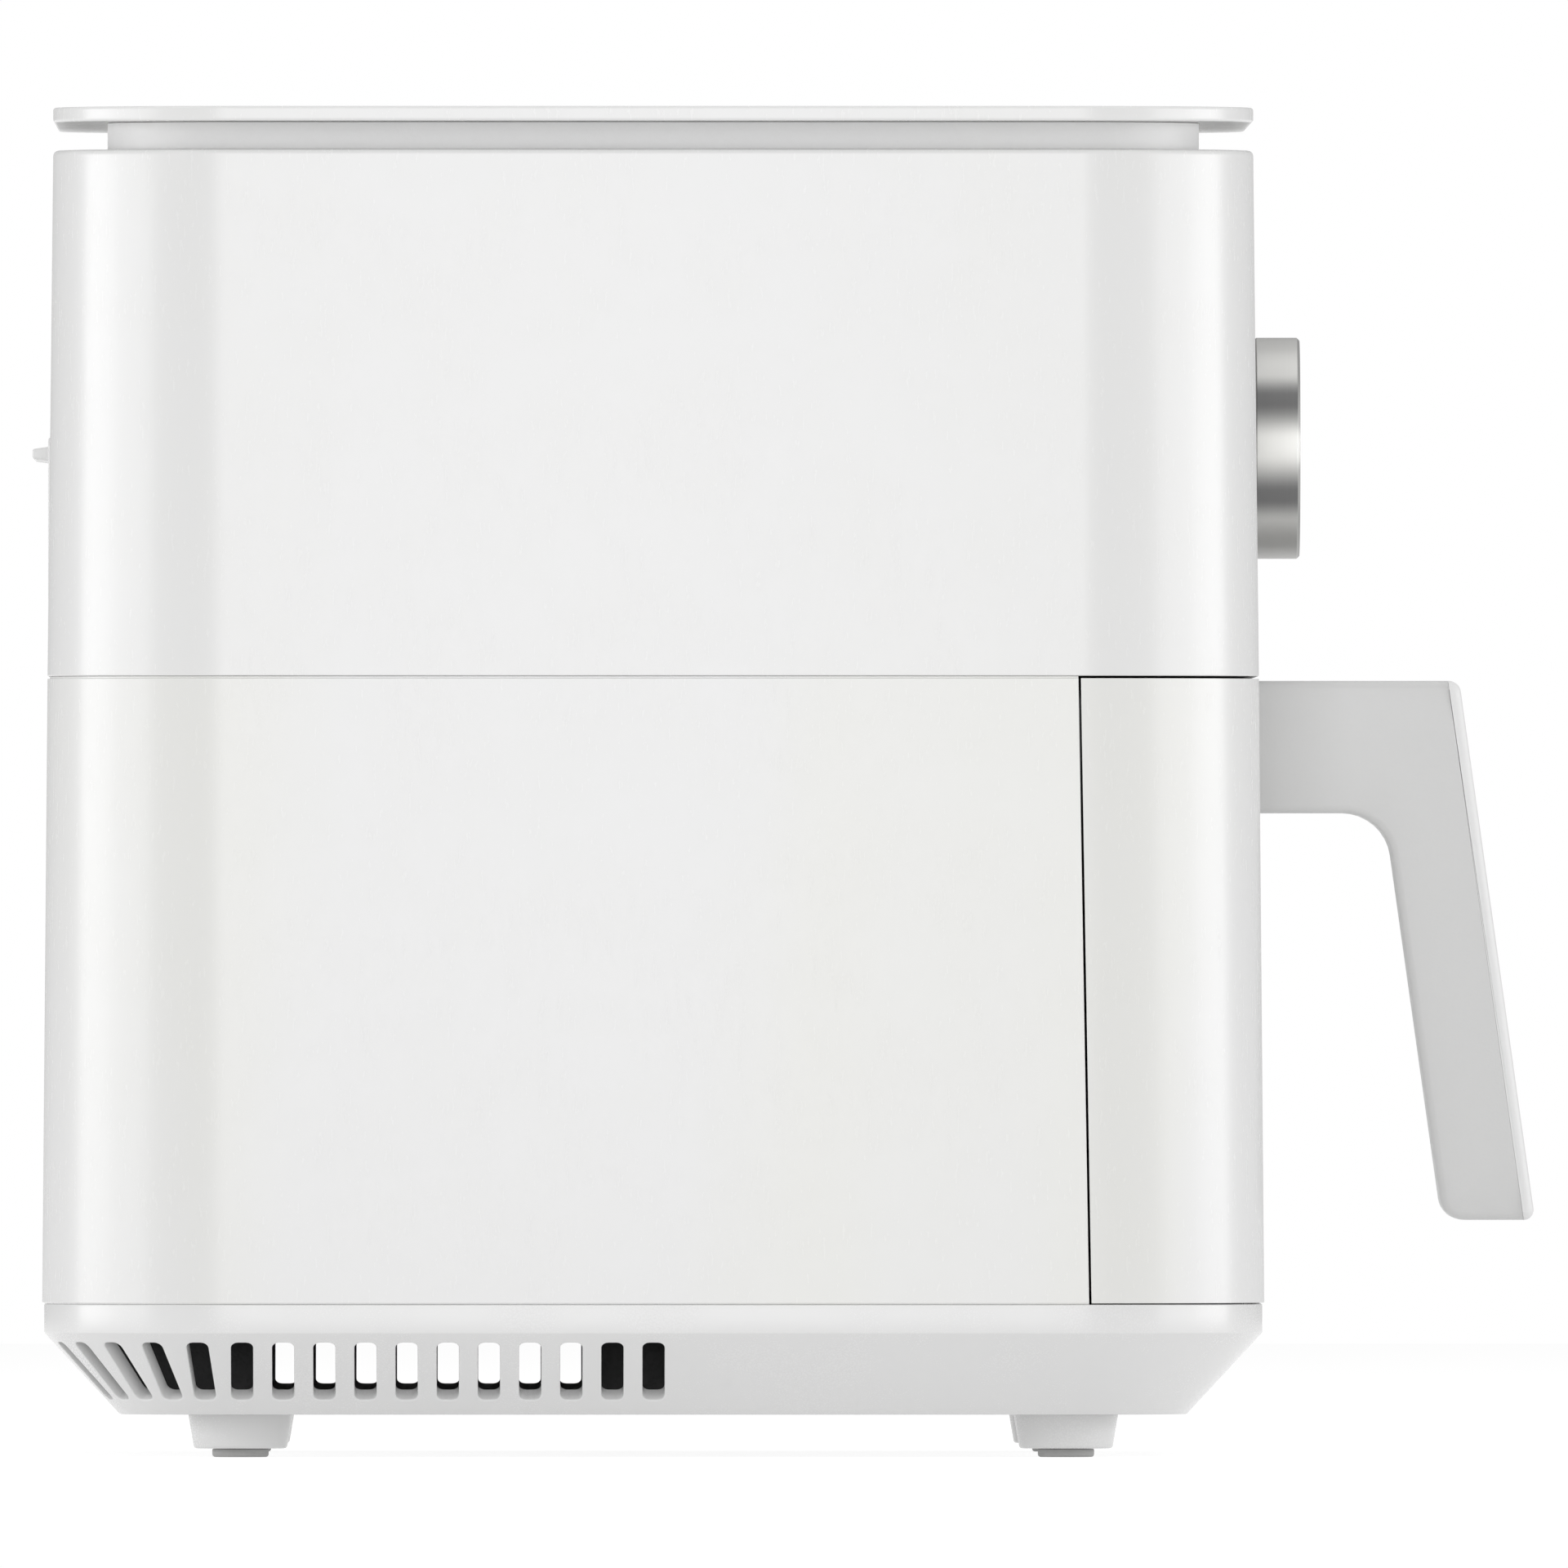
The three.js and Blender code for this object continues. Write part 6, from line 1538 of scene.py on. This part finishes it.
        arm_low = top - self.arm_height
        corners = [
            (root, top), *line(self.cover + 0.05, top, low), *line(self.grip, low, arm_low),
            (root + 0.27, arm_low),
        ]
        grip = Outline(corners, [0, 0, 0, 6.0, 12.0, 0], [1, 0, 1, 1, 1, 0])
        skin = Skin().closed(facing(grip.slab(-half, half, self.soft, 7, self.crown), Axis.Y))
        ceiling, floor, open_end = top - self.grip_wall, low + 2 * self.grip_wall, foot + 9
        back = line(self.grip - self.grip_wall, ceiling, floor)
        hollow = Outline([back[0], (open_end, ceiling), (open_end, floor), back[1]], [0.6] * 4)
        room = half - self.grip_wall
        sockets = self._bolt_holes(2.6, root - 2)
        sockets.closed(facing(hollow.slab(-room, room, 0.6, 2), Axis.Y))
        Piece("handle", skin, HANDLE_SHADED_WHITE, Body.DRAWER, cuts=[sockets]).make()
        corners = [*line(self.cover, top), *line(0, top, low), *line(self.cover, low)]
        strip = Outline(corners, [0, 3.0, 2.4, 0], [1, 1, 1, 0])
        skin = Skin().closed(facing(strip.slab(-half, half, self.cover * 0.75, 7), Axis.Y))
        Piece("handle_cover", skin, COVER_WHITE, Body.DRAWER).make()

    def _bolts(self) -> None:
        """Pan-head bolts with a recess and a turned thread."""
        wide, head, pitch = 2.5, 3.0, 0.8
        for node in ("handle_bolt_1", "handle_bolt_2"):
            box = Box.of(node)
            length = float(box.size[0])
            turns = np.arange(head + 4.0, length - pitch, pitch)
            along = np.repeat(turns, 2) + np.tile([0, pitch / 2], len(turns))
            thread = np.stack([np.tile([wide, 2.15], len(turns)), along], axis=-1)
            start = [(0, 1.2), (1.3, 1.2), (1.7, 0), (4.5, 0), (4.5, head), (wide, head), (wide, head + 3.6)]
            corners = np.concatenate([start, thread, [(1.9, length), (0, length)]])
            radii = [0, 0.1, 0.1, 1.4, 0.2, 0.1, 0, *[0] * len(thread), 0.2, 0]
            skin = Skin().lathe(corners, radii, Axis.X, box.on_line(box.low[0]), 28)
            Piece(node, skin, TURNED_STEEL, Body.DRAWER).make()


@dataclass
class CrisperTray:
    """The perforated plate with a silicone clip on the middle of each edge."""

    radius: float = 27.9  # corner radius of the plate
    hole: float = 4.6  # radius of a hole
    pitch: float = 22.0  # from hole to hole
    gap: float = 0.3  # between the plate and a clip's slit
    clip_depth: float = 7.0  # how far a clip reaches in
    toe: float = 4.5  # how far a clip's foot stands in from its outside
    foot: float = 2.9  # height of that foot

    def build(self) -> None:
        """Makes the plate and the four clips."""
        self.box = Box.of("crisper_tray")
        self._plate()
        for turn, side in enumerate(("front", "right", "rear", "left")):
            self._clip("tray_bumper_" + side, turn % 2, 1 if turn < 2 else -1)

    def _plate(self) -> None:
        """A plate with rounded rims, less a drum for each hole."""
        box, (low, high) = self.box, self.box.ends()
        plan = Plan(box.size[0], box.size[1], self.radius, box.middle[0], 16)
        skin = plan.shell([(12, low), (0, low), (0, high), (12, high)], [0, 0.6, 0.6, 0], 3)
        reach = ((box.size[:2] / 2 - 2 * self.hole) // self.pitch).astype(int)
        holes = Skin()
        for column in range(-reach[0], reach[0] + 1):
            for row in range(-reach[1], reach[1] + 1):
                if abs(column) + abs(row) < reach.sum():
                    place = (box.middle[0] + column * self.pitch, row * self.pitch, 0)
                    holes.drum(self.hole, low - 1, high + 1, Axis.Z, place, 20)
        Piece("crisper_tray", skin, NON_STICK, Body.TRAY, cuts=[holes], edge=0.35).make()

    def _clip(self, node: str, axis: int, way: int) -> None:
        """A soft clip whose section grips the plate's edge.

        Args:
            node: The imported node.
            axis: The axis that it reaches out along, 0 for X or 1 for Y.
            way: 1 where it reaches out that way, or -1.
        """
        box, plate = Box.of(node), self.box
        middle = 0.0 if axis else plate.middle[0]
        outer = abs((box.high if way > 0 else box.low)[axis] - middle)
        inner, toe, slit = outer - self.clip_depth, outer - self.toe, plate.size[axis] / 2 + self.gap
        (low, top), (under, over) = box.ends(), plate.ends()
        foot, under, over = low + self.foot, under - self.gap, over + self.gap
        corners = [
            (inner, low), (toe, low), (toe + 0.2, foot), (outer, foot), (outer, top), (inner, top),
            (inner, over), (slit, over), (slit, under), (inner, under),
        ]
        section = Outline(corners, [0.5, 0.5, 0.3, 0.8, 0.9, 0.9, 0.2, 0.1, 0.1, 0.2])
        half = box.size[1 - axis] / 2
        points = section.slab(-half, half, 0.6, 3) * (way, 1, 1)
        points = points[..., [2, 0, 1] if axis else [0, 2, 1]] + (plate.middle[0], 0, 0)
        Piece(node, Skin().closed(points), SILICONE, Body.TRAY).make()


@dataclass
class Chamber:
    """The metal box round the pot, with the hood, the heater and the guard over it."""

    sheet: float = 1.2  # thickness of the sheet
    radius: float = 30.0  # rear corner radius of the liner
    flange: float = 6.0  # width of the hood's flange
    heater_radius: float = 3.2  # the heater tube's radius
    heater_pitch: float = 13.0  # from turn to turn
    heater_turns: float = 1.25  # turns of each arm
    heater_ends: float = 28.6  # from one end of the heater to the other, round the hood
    heater_bend: float = 7.68  # from the coil up to a knot of the turned-up ends, and on to the next
    rim: float = 8.0  # from the hood's wall in to the heater's ends
    wire: float = 2.4  # thickness of the guard's wires
    rings: int = 4  # rings of the guard

    def build(self) -> None:
        """Makes the formed pieces and dresses the plain ones."""
        hood = Box.of("reflector_hood")
        self.axis = (float(hood.middle[0]), 0.0, 0.0)
        self.hood_radius = float(hood.size[0]) / 2 - self.flange
        self.hood_low, self.hood_high = hood.ends()
        self._liner()
        self._hood()
        self._heater()
        self._guard()
        self._sensor()
        # Black plastic; on the base deck and the exhaust duct it also stands in for the shade seen through
        # the vents.
        dress(BLACK_PLASTIC, "front_frame", "mid_plate", "base_deck", "exhaust_duct")
        dress(STEEL, "rail_left", "rail_right")
        dress(ZINC, *(f"heater_support_{number}" for number in (1, 2, 3)))
        dress(BLACK_PLASTIC, "thermal_cutout")

    def _liner(self) -> None:
        """An outer block less an inner one that runs out at the front, with the heater's hole."""
        box, sheet, middle = Box.of("chamber_liner"), self.sheet, 20
        front, (low, high) = box.high[0], box.ends()
        plan = Plan(2 * box.size[0], box.size[1], self.radius, front, 20)
        room = Plan(plan.length - 2 * sheet, plan.width - 2 * sheet, self.radius - sheet, front, plan.steps)
        corners = [(middle, low), (0, low), (0, high), (middle, high)]
        outer = rounded(corners, [0, 3.2, 3.2, 0], 4, closed=False)
        corners = [(middle, low + sheet), (0, low + sheet), (0, high - sheet), (middle, high - sheet)]
        inner = rounded(corners, [0, 2.0, 2.0, 0], 4, closed=False)
        skin = Skin().block(plan.half(outer, lambda z: np.full_like(z, front), -1))
        cavity = Skin().block(room.half(inner, lambda z: np.full_like(z, front + 6), -1))
        radius = self.hood_radius - sheet - self.flange / 2
        opening = Skin().drum(radius, high - 3, high + 3, Axis.Z, self.axis, 96)
        Piece("chamber_liner", skin, ZINC, cuts=[cavity, opening]).make()

    def _hood(self) -> None:
        """A turned pan with a flange, pierced for the heater's ends and the sensor."""
        outer, inner, sheet = self.hood_radius, self.hood_radius - self.sheet, self.sheet
        low, high, rim = self.hood_low, self.hood_high, self.hood_radius + self.flange
        corners = [
            (inner, low), (rim, low), (rim, low + sheet), (outer, low + sheet), (outer, high), (10, high),
            (10, high - sheet), (inner, high - sheet),
        ]
        radii = [1.0, 0.3, 0.3, 0.4, 3.5, 0.3, 0.3, 2.3]
        skin = Skin().lathe(corners, radii, Axis.Z, self.axis, 112, 5)
        reach, holes = outer - self.rim, Skin()
        for angle, radius in ((0, 3.5), (-self.heater_ends / reach, 3.5), (2 * math.pi / 3, 3.3)):
            place = (self.axis[0] + reach * math.cos(angle), reach * math.sin(angle), 0)
            holes.drum(radius, high - 3, high + 3, Axis.Z, place)
        Piece("reflector_hood", skin, ZINC, cuts=[holes]).make()

    def _heater(self) -> None:
        """A tube along two arms of a spiral joined at the middle, with both ends turned up.

        An arm's radius falls by the pitch over half a turn. The path runs smoothly through its knots
        by cubic pieces whose tangents come from the neighbouring knots.
        """
        outer, pitch = self.hood_radius - 14, self.heater_pitch
        box = Box.of("heater_element")
        level, top = box.low[2] + self.heater_radius, box.high[2]
        end, bend = 2 * math.pi * self.heater_turns, self.heater_bend
        reach = self.hood_radius - self.rim

        def around(radius: Array | float, turn: Array | float, z: Array | float) -> Array:
            """Points at a radius and a turn about the hood's axis."""
            radius, turn, z = np.broadcast_arrays(radius, turn, z)
            return np.stack([radius * np.cos(turn), radius * np.sin(turn), z], axis=-1).reshape(-1, 3)

        turns = np.linspace(0, end, 31)
        middle = around(outer - pitch * (2 * self.heater_turns + 0.5), end, level)
        heights = np.array([top, level + 2 * bend, level + bend])
        parts = [
            around(reach, 0.0, heights), around(outer + 2, bend / outer, level),
            around(outer - pitch * turns[2:] / math.pi, turns[2:], level),
            middle + around(pitch / 2, end + QUARTER, 0.0),
            around(outer - pitch - pitch * turns / math.pi, turns, level)[::-1],
            around(outer - pitch / 2, (pitch - self.heater_ends) / outer, level),
            around(reach, -self.heater_ends / reach, heights[::-1]),
        ]
        path = self._smooth(np.concatenate(parts), 7) + self.axis
        radial = unit((path - self.axis) * (1, 1, 0))
        rising = np.clip((path[:, 2:] - level) / 3.0, 0, 1)
        ends = np.clip(np.abs(np.linspace(-1, 1, len(path))[:, None]) * 12 - 10.6, 0, 1)
        share = np.maximum(rising, ends)
        hint = radial * share + np.array([0, 0, 1.0]) * (1 - share)
        skin = Skin().closed(tube(path, self.heater_radius, 20, hint))
        Piece("heater_element", skin, SHEATH, level_faces=False).make()

    @staticmethod
    def _smooth(knots: Array, steps: int) -> Array:
        """A smooth path through knots.

        Between two knots it is the cubic with the knots' tangents, which are the differences of the
        neighbouring knots over the distance between them.

        Args:
            knots: The points that it passes through.
            steps: Points for each stretch between two knots.

        Returns:
            Points along the path.
        """
        gap = np.linalg.norm(np.diff(knots, axis=0), axis=1)
        mark = np.concatenate([[0], np.cumsum(np.sqrt(gap))])
        tangent = np.gradient(knots, mark, axis=0)
        share = np.linspace(0, 1, steps, endpoint=False)[None, :, None]
        span = np.diff(mark)[:, None, None]
        start, finish = knots[:-1, None], knots[1:, None]
        leave, arrive = tangent[:-1, None] * span, tangent[1:, None] * span
        square, cube = share**2, share**3
        points = (
            start * (2 * cube - 3 * square + 1)
            + leave * (cube - 2 * square + share)
            + finish * (3 * square - 2 * cube)
            + arrive * (cube - square)
        )
        return np.concatenate([points.reshape(-1, 3), knots[-1:]])

    def _guard(self) -> None:
        """Round wires: rings about the axis and three straight wires across."""
        level, thick = Box.of("heater_guard").middle[2], self.wire / 2
        outer = self.hood_radius - self.sheet
        step, turn = (outer - 8) / self.rings, np.linspace(0, 2 * np.pi, 17)[:-1]
        skin = Skin()
        for number in range(self.rings):
            radius = outer - number * step - thick
            profile = np.stack([radius + thick * np.cos(turn), level + thick * np.sin(turn)], axis=-1)
            points = facing(turned(profile, 96), Axis.Z, self.axis)
            skin.grid(points, round_rows=True, round_columns=True)
        for angle in np.arange(3) * math.pi / 3:
            along = np.linspace(-1, 1, 9)[:, None] * (outer - thick)
            path = along * (math.cos(angle), math.sin(angle), 0.0) + (self.axis[0], 0, level)
            skin.closed(tube(path, thick * 0.96, 12, np.array([0, 0, 1.0])))
        Piece("heater_guard", skin, STEEL, level_faces=False).make()

    def _sensor(self) -> None:
        """A slim probe with a collar."""
        box, collar = Box.of("temperature_sensor"), self.hood_high + 0.1
        (low, high), place = box.ends(), (box.middle[0], box.middle[1], 0)
        corners = [
            (0, low), (2, low), (2, collar), (6, collar), (6, collar + 2), (3, collar + 2), (3, high),
            (0, high),
        ]
        radii = [0, 1.2, 0.2, 0.4, 0.4, 0.2, 0.7, 0]
        skin = Skin().lathe(corners, radii, Axis.Z, place, 28)
        Piece("temperature_sensor", skin, TURNED_STEEL).make()


@dataclass
class Motor:
    """The motor over the hood, with its two fans on one shaft."""

    shaft: float = 3.0  # the shaft's radius
    bore: float = 3.3  # radius of the bores round it
    hub: float = 8.0  # the fans' hub radius
    blades: int = 8  # blades of a fan
    blade: float = 1.2  # thickness of a blade and of a fan's disc
    can: float = 36.0  # the can's radius
    sheet: float = 1.2  # thickness of the can
    rotor: float = 15.4  # the rotor's radius
    bearing: float = 8.0  # a bearing's radius

    def build(self) -> None:
        """Makes the turned pieces and the fans, and dresses the strap."""
        self.axis = (float(Box.of("reflector_hood").middle[0]), 0.0, 0.0)
        self._shaft()
        self._fan("hot_fan", ZINC, down=True)
        self._fan("cooling_fan", BLACK_PLASTIC, down=False)
        self._nut()
        for node in ("bearing_lower", "bearing_upper"):
            self._ring(node, self.bearing, 0.6, Body.HOUSING, 40)
        self._can()
        self._core()
        self._ring("motor_rotor", self.rotor, 0.5, Body.FAN, 56)
        dress(ZINC, "motor_bracket")

    def _ring(self, node: str, wide: float, edge: float, body: Body, segments: int) -> None:
        """A plain steel ring round the shaft, with softened rims.

        Args:
            node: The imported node.
            wide: Its outer radius.
            edge: Radius of its rims.
            body: What it rides on.
            segments: Stations of a turn.
        """
        (low, high), bore = Box.of(node).ends(), self.bore
        corners = [(bore, low), (wide, low), (wide, high), (bore, high)]
        skin = Skin().lathe(corners, edge, Axis.Z, self.axis, segments)
        Piece(node, skin, TURNED_STEEL, body).make()

    def _shaft(self) -> None:
        """A plain shaft with chamfered ends."""
        (low, high), wide, edge = Box.of("motor_shaft").ends(), self.shaft, 0.6
        corners = [
            (0, low), (wide - edge, low), (wide, low + edge), (wide, high - edge), (wide - edge, high),
            (0, high),
        ]
        skin = Skin().lathe(corners, 0.0, Axis.Z, self.axis, 32)
        Piece("motor_shaft", skin, TURNED_STEEL, Body.FAN).make()

    def _fan(self, node: str, finish: Finish, down: bool) -> None:
        """A disc with a bored hub and upright blades that lose height towards their tips.

        Args:
            node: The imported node.
            finish: Its finish.
            down: True where the blades hang under the disc.
        """
        box, bore, hub, thick = Box.of(node), self.bore, self.hub, self.blade
        (low, high), radius = box.ends(), box.size[0] / 2
        disc = high - 2 * thick if down else low + 1
        corners = [
            (bore, low), (hub, low), (hub, disc), (radius, disc), (radius, disc + thick),
            (hub, disc + thick), (hub, high), (bore, high),
        ]
        radii = [0.3, 0.8, 0.5, 0.4, 0.4, 0.3, 0.5, 0.3]
        skin = Skin().lathe(corners, radii, Axis.Z, self.axis, 80)
        root = disc + thick / 2
        foot, head = (low + 1, root) if down else (root, high - thick)
        along = np.linspace(hub - 0.8, radius - thick, 14)[:, None]
        share = np.clip((along - along[0]) / (along[-1] - along[0]), 0, 1)
        drop = 0.32 * share**3 * (head - foot)
        side, height = np.array([(-0.5, 0), (0.5, 0), (0.5, 1), (-0.5, 1)]).T
        z = foot + drop + (head - foot - drop) * height if down else foot + (head - drop - foot) * height
        blade = np.stack([along + 0 * z, side * thick + 0 * z, z], axis=-1)
        for angle in np.arange(self.blades) * 2 * math.pi / self.blades:
            turn = np.array([(math.cos(angle), math.sin(angle), 0), (-math.sin(angle), math.cos(angle), 0),
                             (0, 0, 1)])
            skin.closed(blade @ turn + self.axis)
        Piece(node, skin, finish, Body.FAN).make()

    def _nut(self) -> None:
        """A six-sided nut, chamfered where a cone meets its corners."""
        box, edge, count = Box.of("fan_nut"), 0.45, 48
        low, high = box.ends()
        angle = np.arange(count) * 2 * math.pi / count
        flat = max(box.size[:2]) / 2 * math.cos(math.pi / 6)
        side = flat / np.cos((angle + QUARTER) % (math.pi / 3) - math.pi / 6)
        bore, face = np.full(count, self.bore), np.minimum(side, flat)
        rings = [
            (bore, low), (face, low), (side, low + edge), (side, high - edge), (face, high), (bore, high),
        ]
        points = np.array([[ring * np.cos(angle), ring * np.sin(angle), 0 * ring + z] for ring, z in rings])
        points = points.swapaxes(1, 2) + self.axis
        skin = Skin().grid(points, round_rows=True, round_columns=True)
        Piece("fan_nut", skin, TURNED_STEEL, Body.FAN).make()

    def _can(self) -> None:
        """The drawn can, open below and holed for the upper bearing."""
        (low, high), outer, inner = Box.of("motor_can").ends(), self.can, self.can - self.sheet
        hole = self.bearing + 0.3
        corners = [
            (inner, low), (outer, low), (outer, high), (hole, high), (hole, high - self.sheet),
            (inner, high - self.sheet),
        ]
        skin = Skin().lathe(corners, [0.3, 0.3, 3.5, 0.4, 0.4, 2.3], Axis.Z, self.axis, 80)
        Piece("motor_can", skin, STEEL).make()

    def _core(self) -> None:
        """The stacked core, whose winding stands proud of both its faces."""
        box, proud = Box.of("motor_stator"), 3
        (low, high), inner, outer = box.ends(), self.rotor + 0.6, self.can - 1.5
        margin = (outer - inner) * 0.3
        near, far, foot, head = inner + margin, outer - margin, low + proud, high - proud
        corners = [
            (inner, foot), (near, foot), (near, low), (far, low), (far, foot), (outer, foot),
            (outer, head), (far, head), (far, high), (near, high), (near, head), (inner, head),
        ]
        radii = [0, 0, 1.3, 1.3, 0, 0] * 2
        skin = Skin().lathe(corners, radii, Axis.Z, self.axis, 72)
        middle = (self.axis[0] * MM, 0.0, box.middle[2] * MM)
        label = "varnished_copper_winding"
        wound = Winding(label, Slot.COPPER_WINDING, middle, near * MM, far * MM)
        Piece("motor_stator", skin, wound).make()


@dataclass
class Controls:
    """The boards behind the dial and under it, and the drawer's switch."""

    board: float = 1.6  # thickness of a board
    parts: float = 6.0  # height of the parts behind the control board

    def build(self) -> None:
        """Dresses the boards and the switch, and makes the plunger."""
        control = (Box.of("control_board").low[0] + self.parts + self.board) * MM
        dress(CircuitBoard("control_board_mask", Slot.CIRCUIT_BOARD, control, True), "control_board")
        power = (Box.of("power_board").low[2] + self.board) * MM
        dress(CircuitBoard("power_board_mask", Slot.CIRCUIT_BOARD, power, False), "power_board")
        dress(BLACK_PLASTIC, "switch_body")
        box = Box.of("switch_plunger")
        length, wide = box.size[0], box.size[1] / 2
        corners = [(0, 0), (wide, 0), (wide, length), (0, length)]
        place = box.on_line(box.low[0])
        skin = Skin().lathe(corners, [0, 0.3, 0.9, 0], Axis.X, place, 28)
        Piece("switch_plunger", skin, NYLON, Body.PLUNGER).make()


@dataclass
class Studio:
    """A pale floor, soft lamps and the camera square to the left side."""

    distance: float = 18.0  # from the object's middle to the camera, in metres
    view_width: float = 0.3858  # what the camera takes in at the object, in metres
    aim: Sequence[float] = (0.0, 0.0, 0.1649)  # what the camera looks at, in metres
    eye: Sequence[float] = (-0.07, 0.125)  # the camera's place along X and its height, in metres
    fill: float = 0.42  # strength of the sky for light that falls on matte surfaces
    behind: float = 0.5  # strength of what gloss mirrors low down behind the object
    floor_side: float = 5.0  # half the floor's side, in metres
    glow: float = 0.35  # the floor's share of its own light

    def build(self) -> None:
        """Makes the camera first, then the sky, the floor and the lamps."""
        self._camera()
        self._sky()
        self._floor()
        self._lamps()
        bpy.context.scene.view_settings.view_transform = "Standard"

    def _camera(self) -> None:
        """A long lens, whose focal length is sensor * distance / width taken in."""
        data = bpy.data.cameras.new("camera")
        data.sensor_width = 36.0
        data.lens = data.sensor_width * self.distance / self.view_width
        data.clip_start, data.clip_end = 1.0, 100.0
        camera = bpy.data.objects.new("camera", data)
        place = Vector((self.eye[0], -self.distance, self.eye[1]))
        camera.location = place
        camera.rotation_euler = (Vector(self.aim) - place).to_track_quat("-Z", "Y").to_euler()
        bpy.context.scene.collection.objects.link(camera)
        bpy.context.scene.camera = camera

    @staticmethod
    def _seen(bench: Bench) -> Wire:
        """1 for rays that show the background: straight, mirrored or through glass.

        Args:
            bench: The nodes that it joins.

        Returns:
            The wire, 0 for every other ray.
        """
        path = bench.node("ShaderNodeLightPath")
        rays = ("Is Camera Ray", "Is Glossy Ray", "Is Transmission Ray")
        first, second, third = (Wire(bench, path.outputs[name]) for name in rays)
        return bench.math("MINIMUM", first + second + third, 1.0)

    def _sky(self) -> None:
        """White where it is seen, and weaker as light on matte surfaces."""
        world = bpy.data.worlds.new("studio_sky")
        bpy.context.scene.world = world
        world.use_nodes = True
        bench = Bench(world.node_tree)
        _, y, z = bench.parts(bench.about((0, 0, 0)))
        low = z.ramp(0.35, 0.6, 1.0, 0.0) * y.ramp(0.3, 0.55)
        mirrored = bench.wire("ShaderNodeLightPath", output="Is Glossy Ray")
        shown = 1.0 - mirrored * low * (1 - self.behind)
        strength = self.fill + self._seen(bench) * (shown - self.fill)
        sky = bench.wire("ShaderNodeBackground", None, {"Color": (1, 1, 1, 1), "Strength": strength})
        bench.node("ShaderNodeOutputWorld", None, {"Surface": sky})

    def _floor(self) -> None:
        """A wide matte floor that keeps the object's shadow."""
        mesh = bpy.data.meshes.new("floor")
        corners = np.array([(-1, -1, 0), (1, -1, 0), (1, 1, 0), (-1, 1, 0)], float) * self.floor_side
        mesh.from_pydata(corners, [], [(0, 1, 2, 3)])
        floor = bpy.data.objects.new("floor", mesh)
        bpy.context.scene.collection.objects.link(floor)
        material = bpy.data.materials.new("pale_floor")
        material.use_nodes = True
        bench = Bench(material.node_tree)
        matte = bench.wire("ShaderNodeBsdfDiffuse", None, {"Color": (0.86, 0.86, 0.86, 1)})
        tone = bench.blend(self._seen(bench), (0.8, 0.8, 0.8), (2.08, 2.08, 2.08))
        glow = bench.wire("ShaderNodeEmission", None, {"Color": tone, "Strength": 1.0})
        mixed = bench.wire("ShaderNodeMixShader", None, {0: self.glow, 1: matte, 2: glow})
        bench.node("ShaderNodeOutputMaterial", None, {"Surface": mixed})
        mesh.materials.append(material)

    def _lamp(self, name: str, place: Sequence[float], aim: Sequence[float], size: tuple[float, float],
              radiance: float) -> None:
        """A soft rectangular lamp that the camera doesn't see.

        Its power is radiance * area * pi, which makes its face as bright as the radiance says.

        Args:
            name: The lamp's name.
            place: Where it stands, in metres.
            aim: What it faces.
            size: Its width and height.
            radiance: Brightness of its face.
        """
        data = bpy.data.lights.new(name, "AREA")
        data.shape = "RECTANGLE"
        data.size, data.size_y = size
        data.energy = radiance * size[0] * size[1] * math.pi
        lamp = bpy.data.objects.new(name, data)
        way = Vector(aim) - Vector(place)
        lamp.rotation_mode = "QUATERNION"
        lamp.rotation_quaternion = way.to_track_quat("-Z", "Y")
        lamp.location = place
        lamp.visible_camera = False
        bpy.context.scene.collection.objects.link(lamp)

    def _lamps(self) -> None:
        """A front panel, a tall strip to each side and a broad panel overhead."""
        self._lamp("front_panel", (-0.06, -1.6, 0.45), (-0.06, 0, 0.25), (0.44, 0.9), 3.8)
        for side, name in ((-1, "rear_strip"), (1, "front_strip")):
            self._lamp(name, (side * 3.0, 0.03, 0.38), (0, 0, 0.2), (1.44, 0.75), 4.2)
        for side, name in ((-1, "rear_wing"), (1, "front_wing")):
            self._lamp(name, (side * 2.7, -1.35, 0.38), (0, 0, 0.2), (1.5, 0.75), 2.8)
        self._lamp("top_panel", (0.0, 0.0, 3.0), (0, 0, 0), (3.0, 3.0), 0.85)


def main() -> None:
    """Builds the object piece by piece."""
    logging.basicConfig(level=logging.INFO, format="%(name)s %(message)s")
    form = Form()
    assemblies = (
        Studio(), Housing(form), Base(form), RearOutlet(), Dial(), Drawer(form), CrisperTray(), Chamber(),
        Motor(), Controls(),
    )
    for assembly in assemblies:
        assembly.build()
        log.info("%s is built", type(assembly).__name__)
    bpy.context.view_layer.update()


if __name__ == "__main__":
    main()
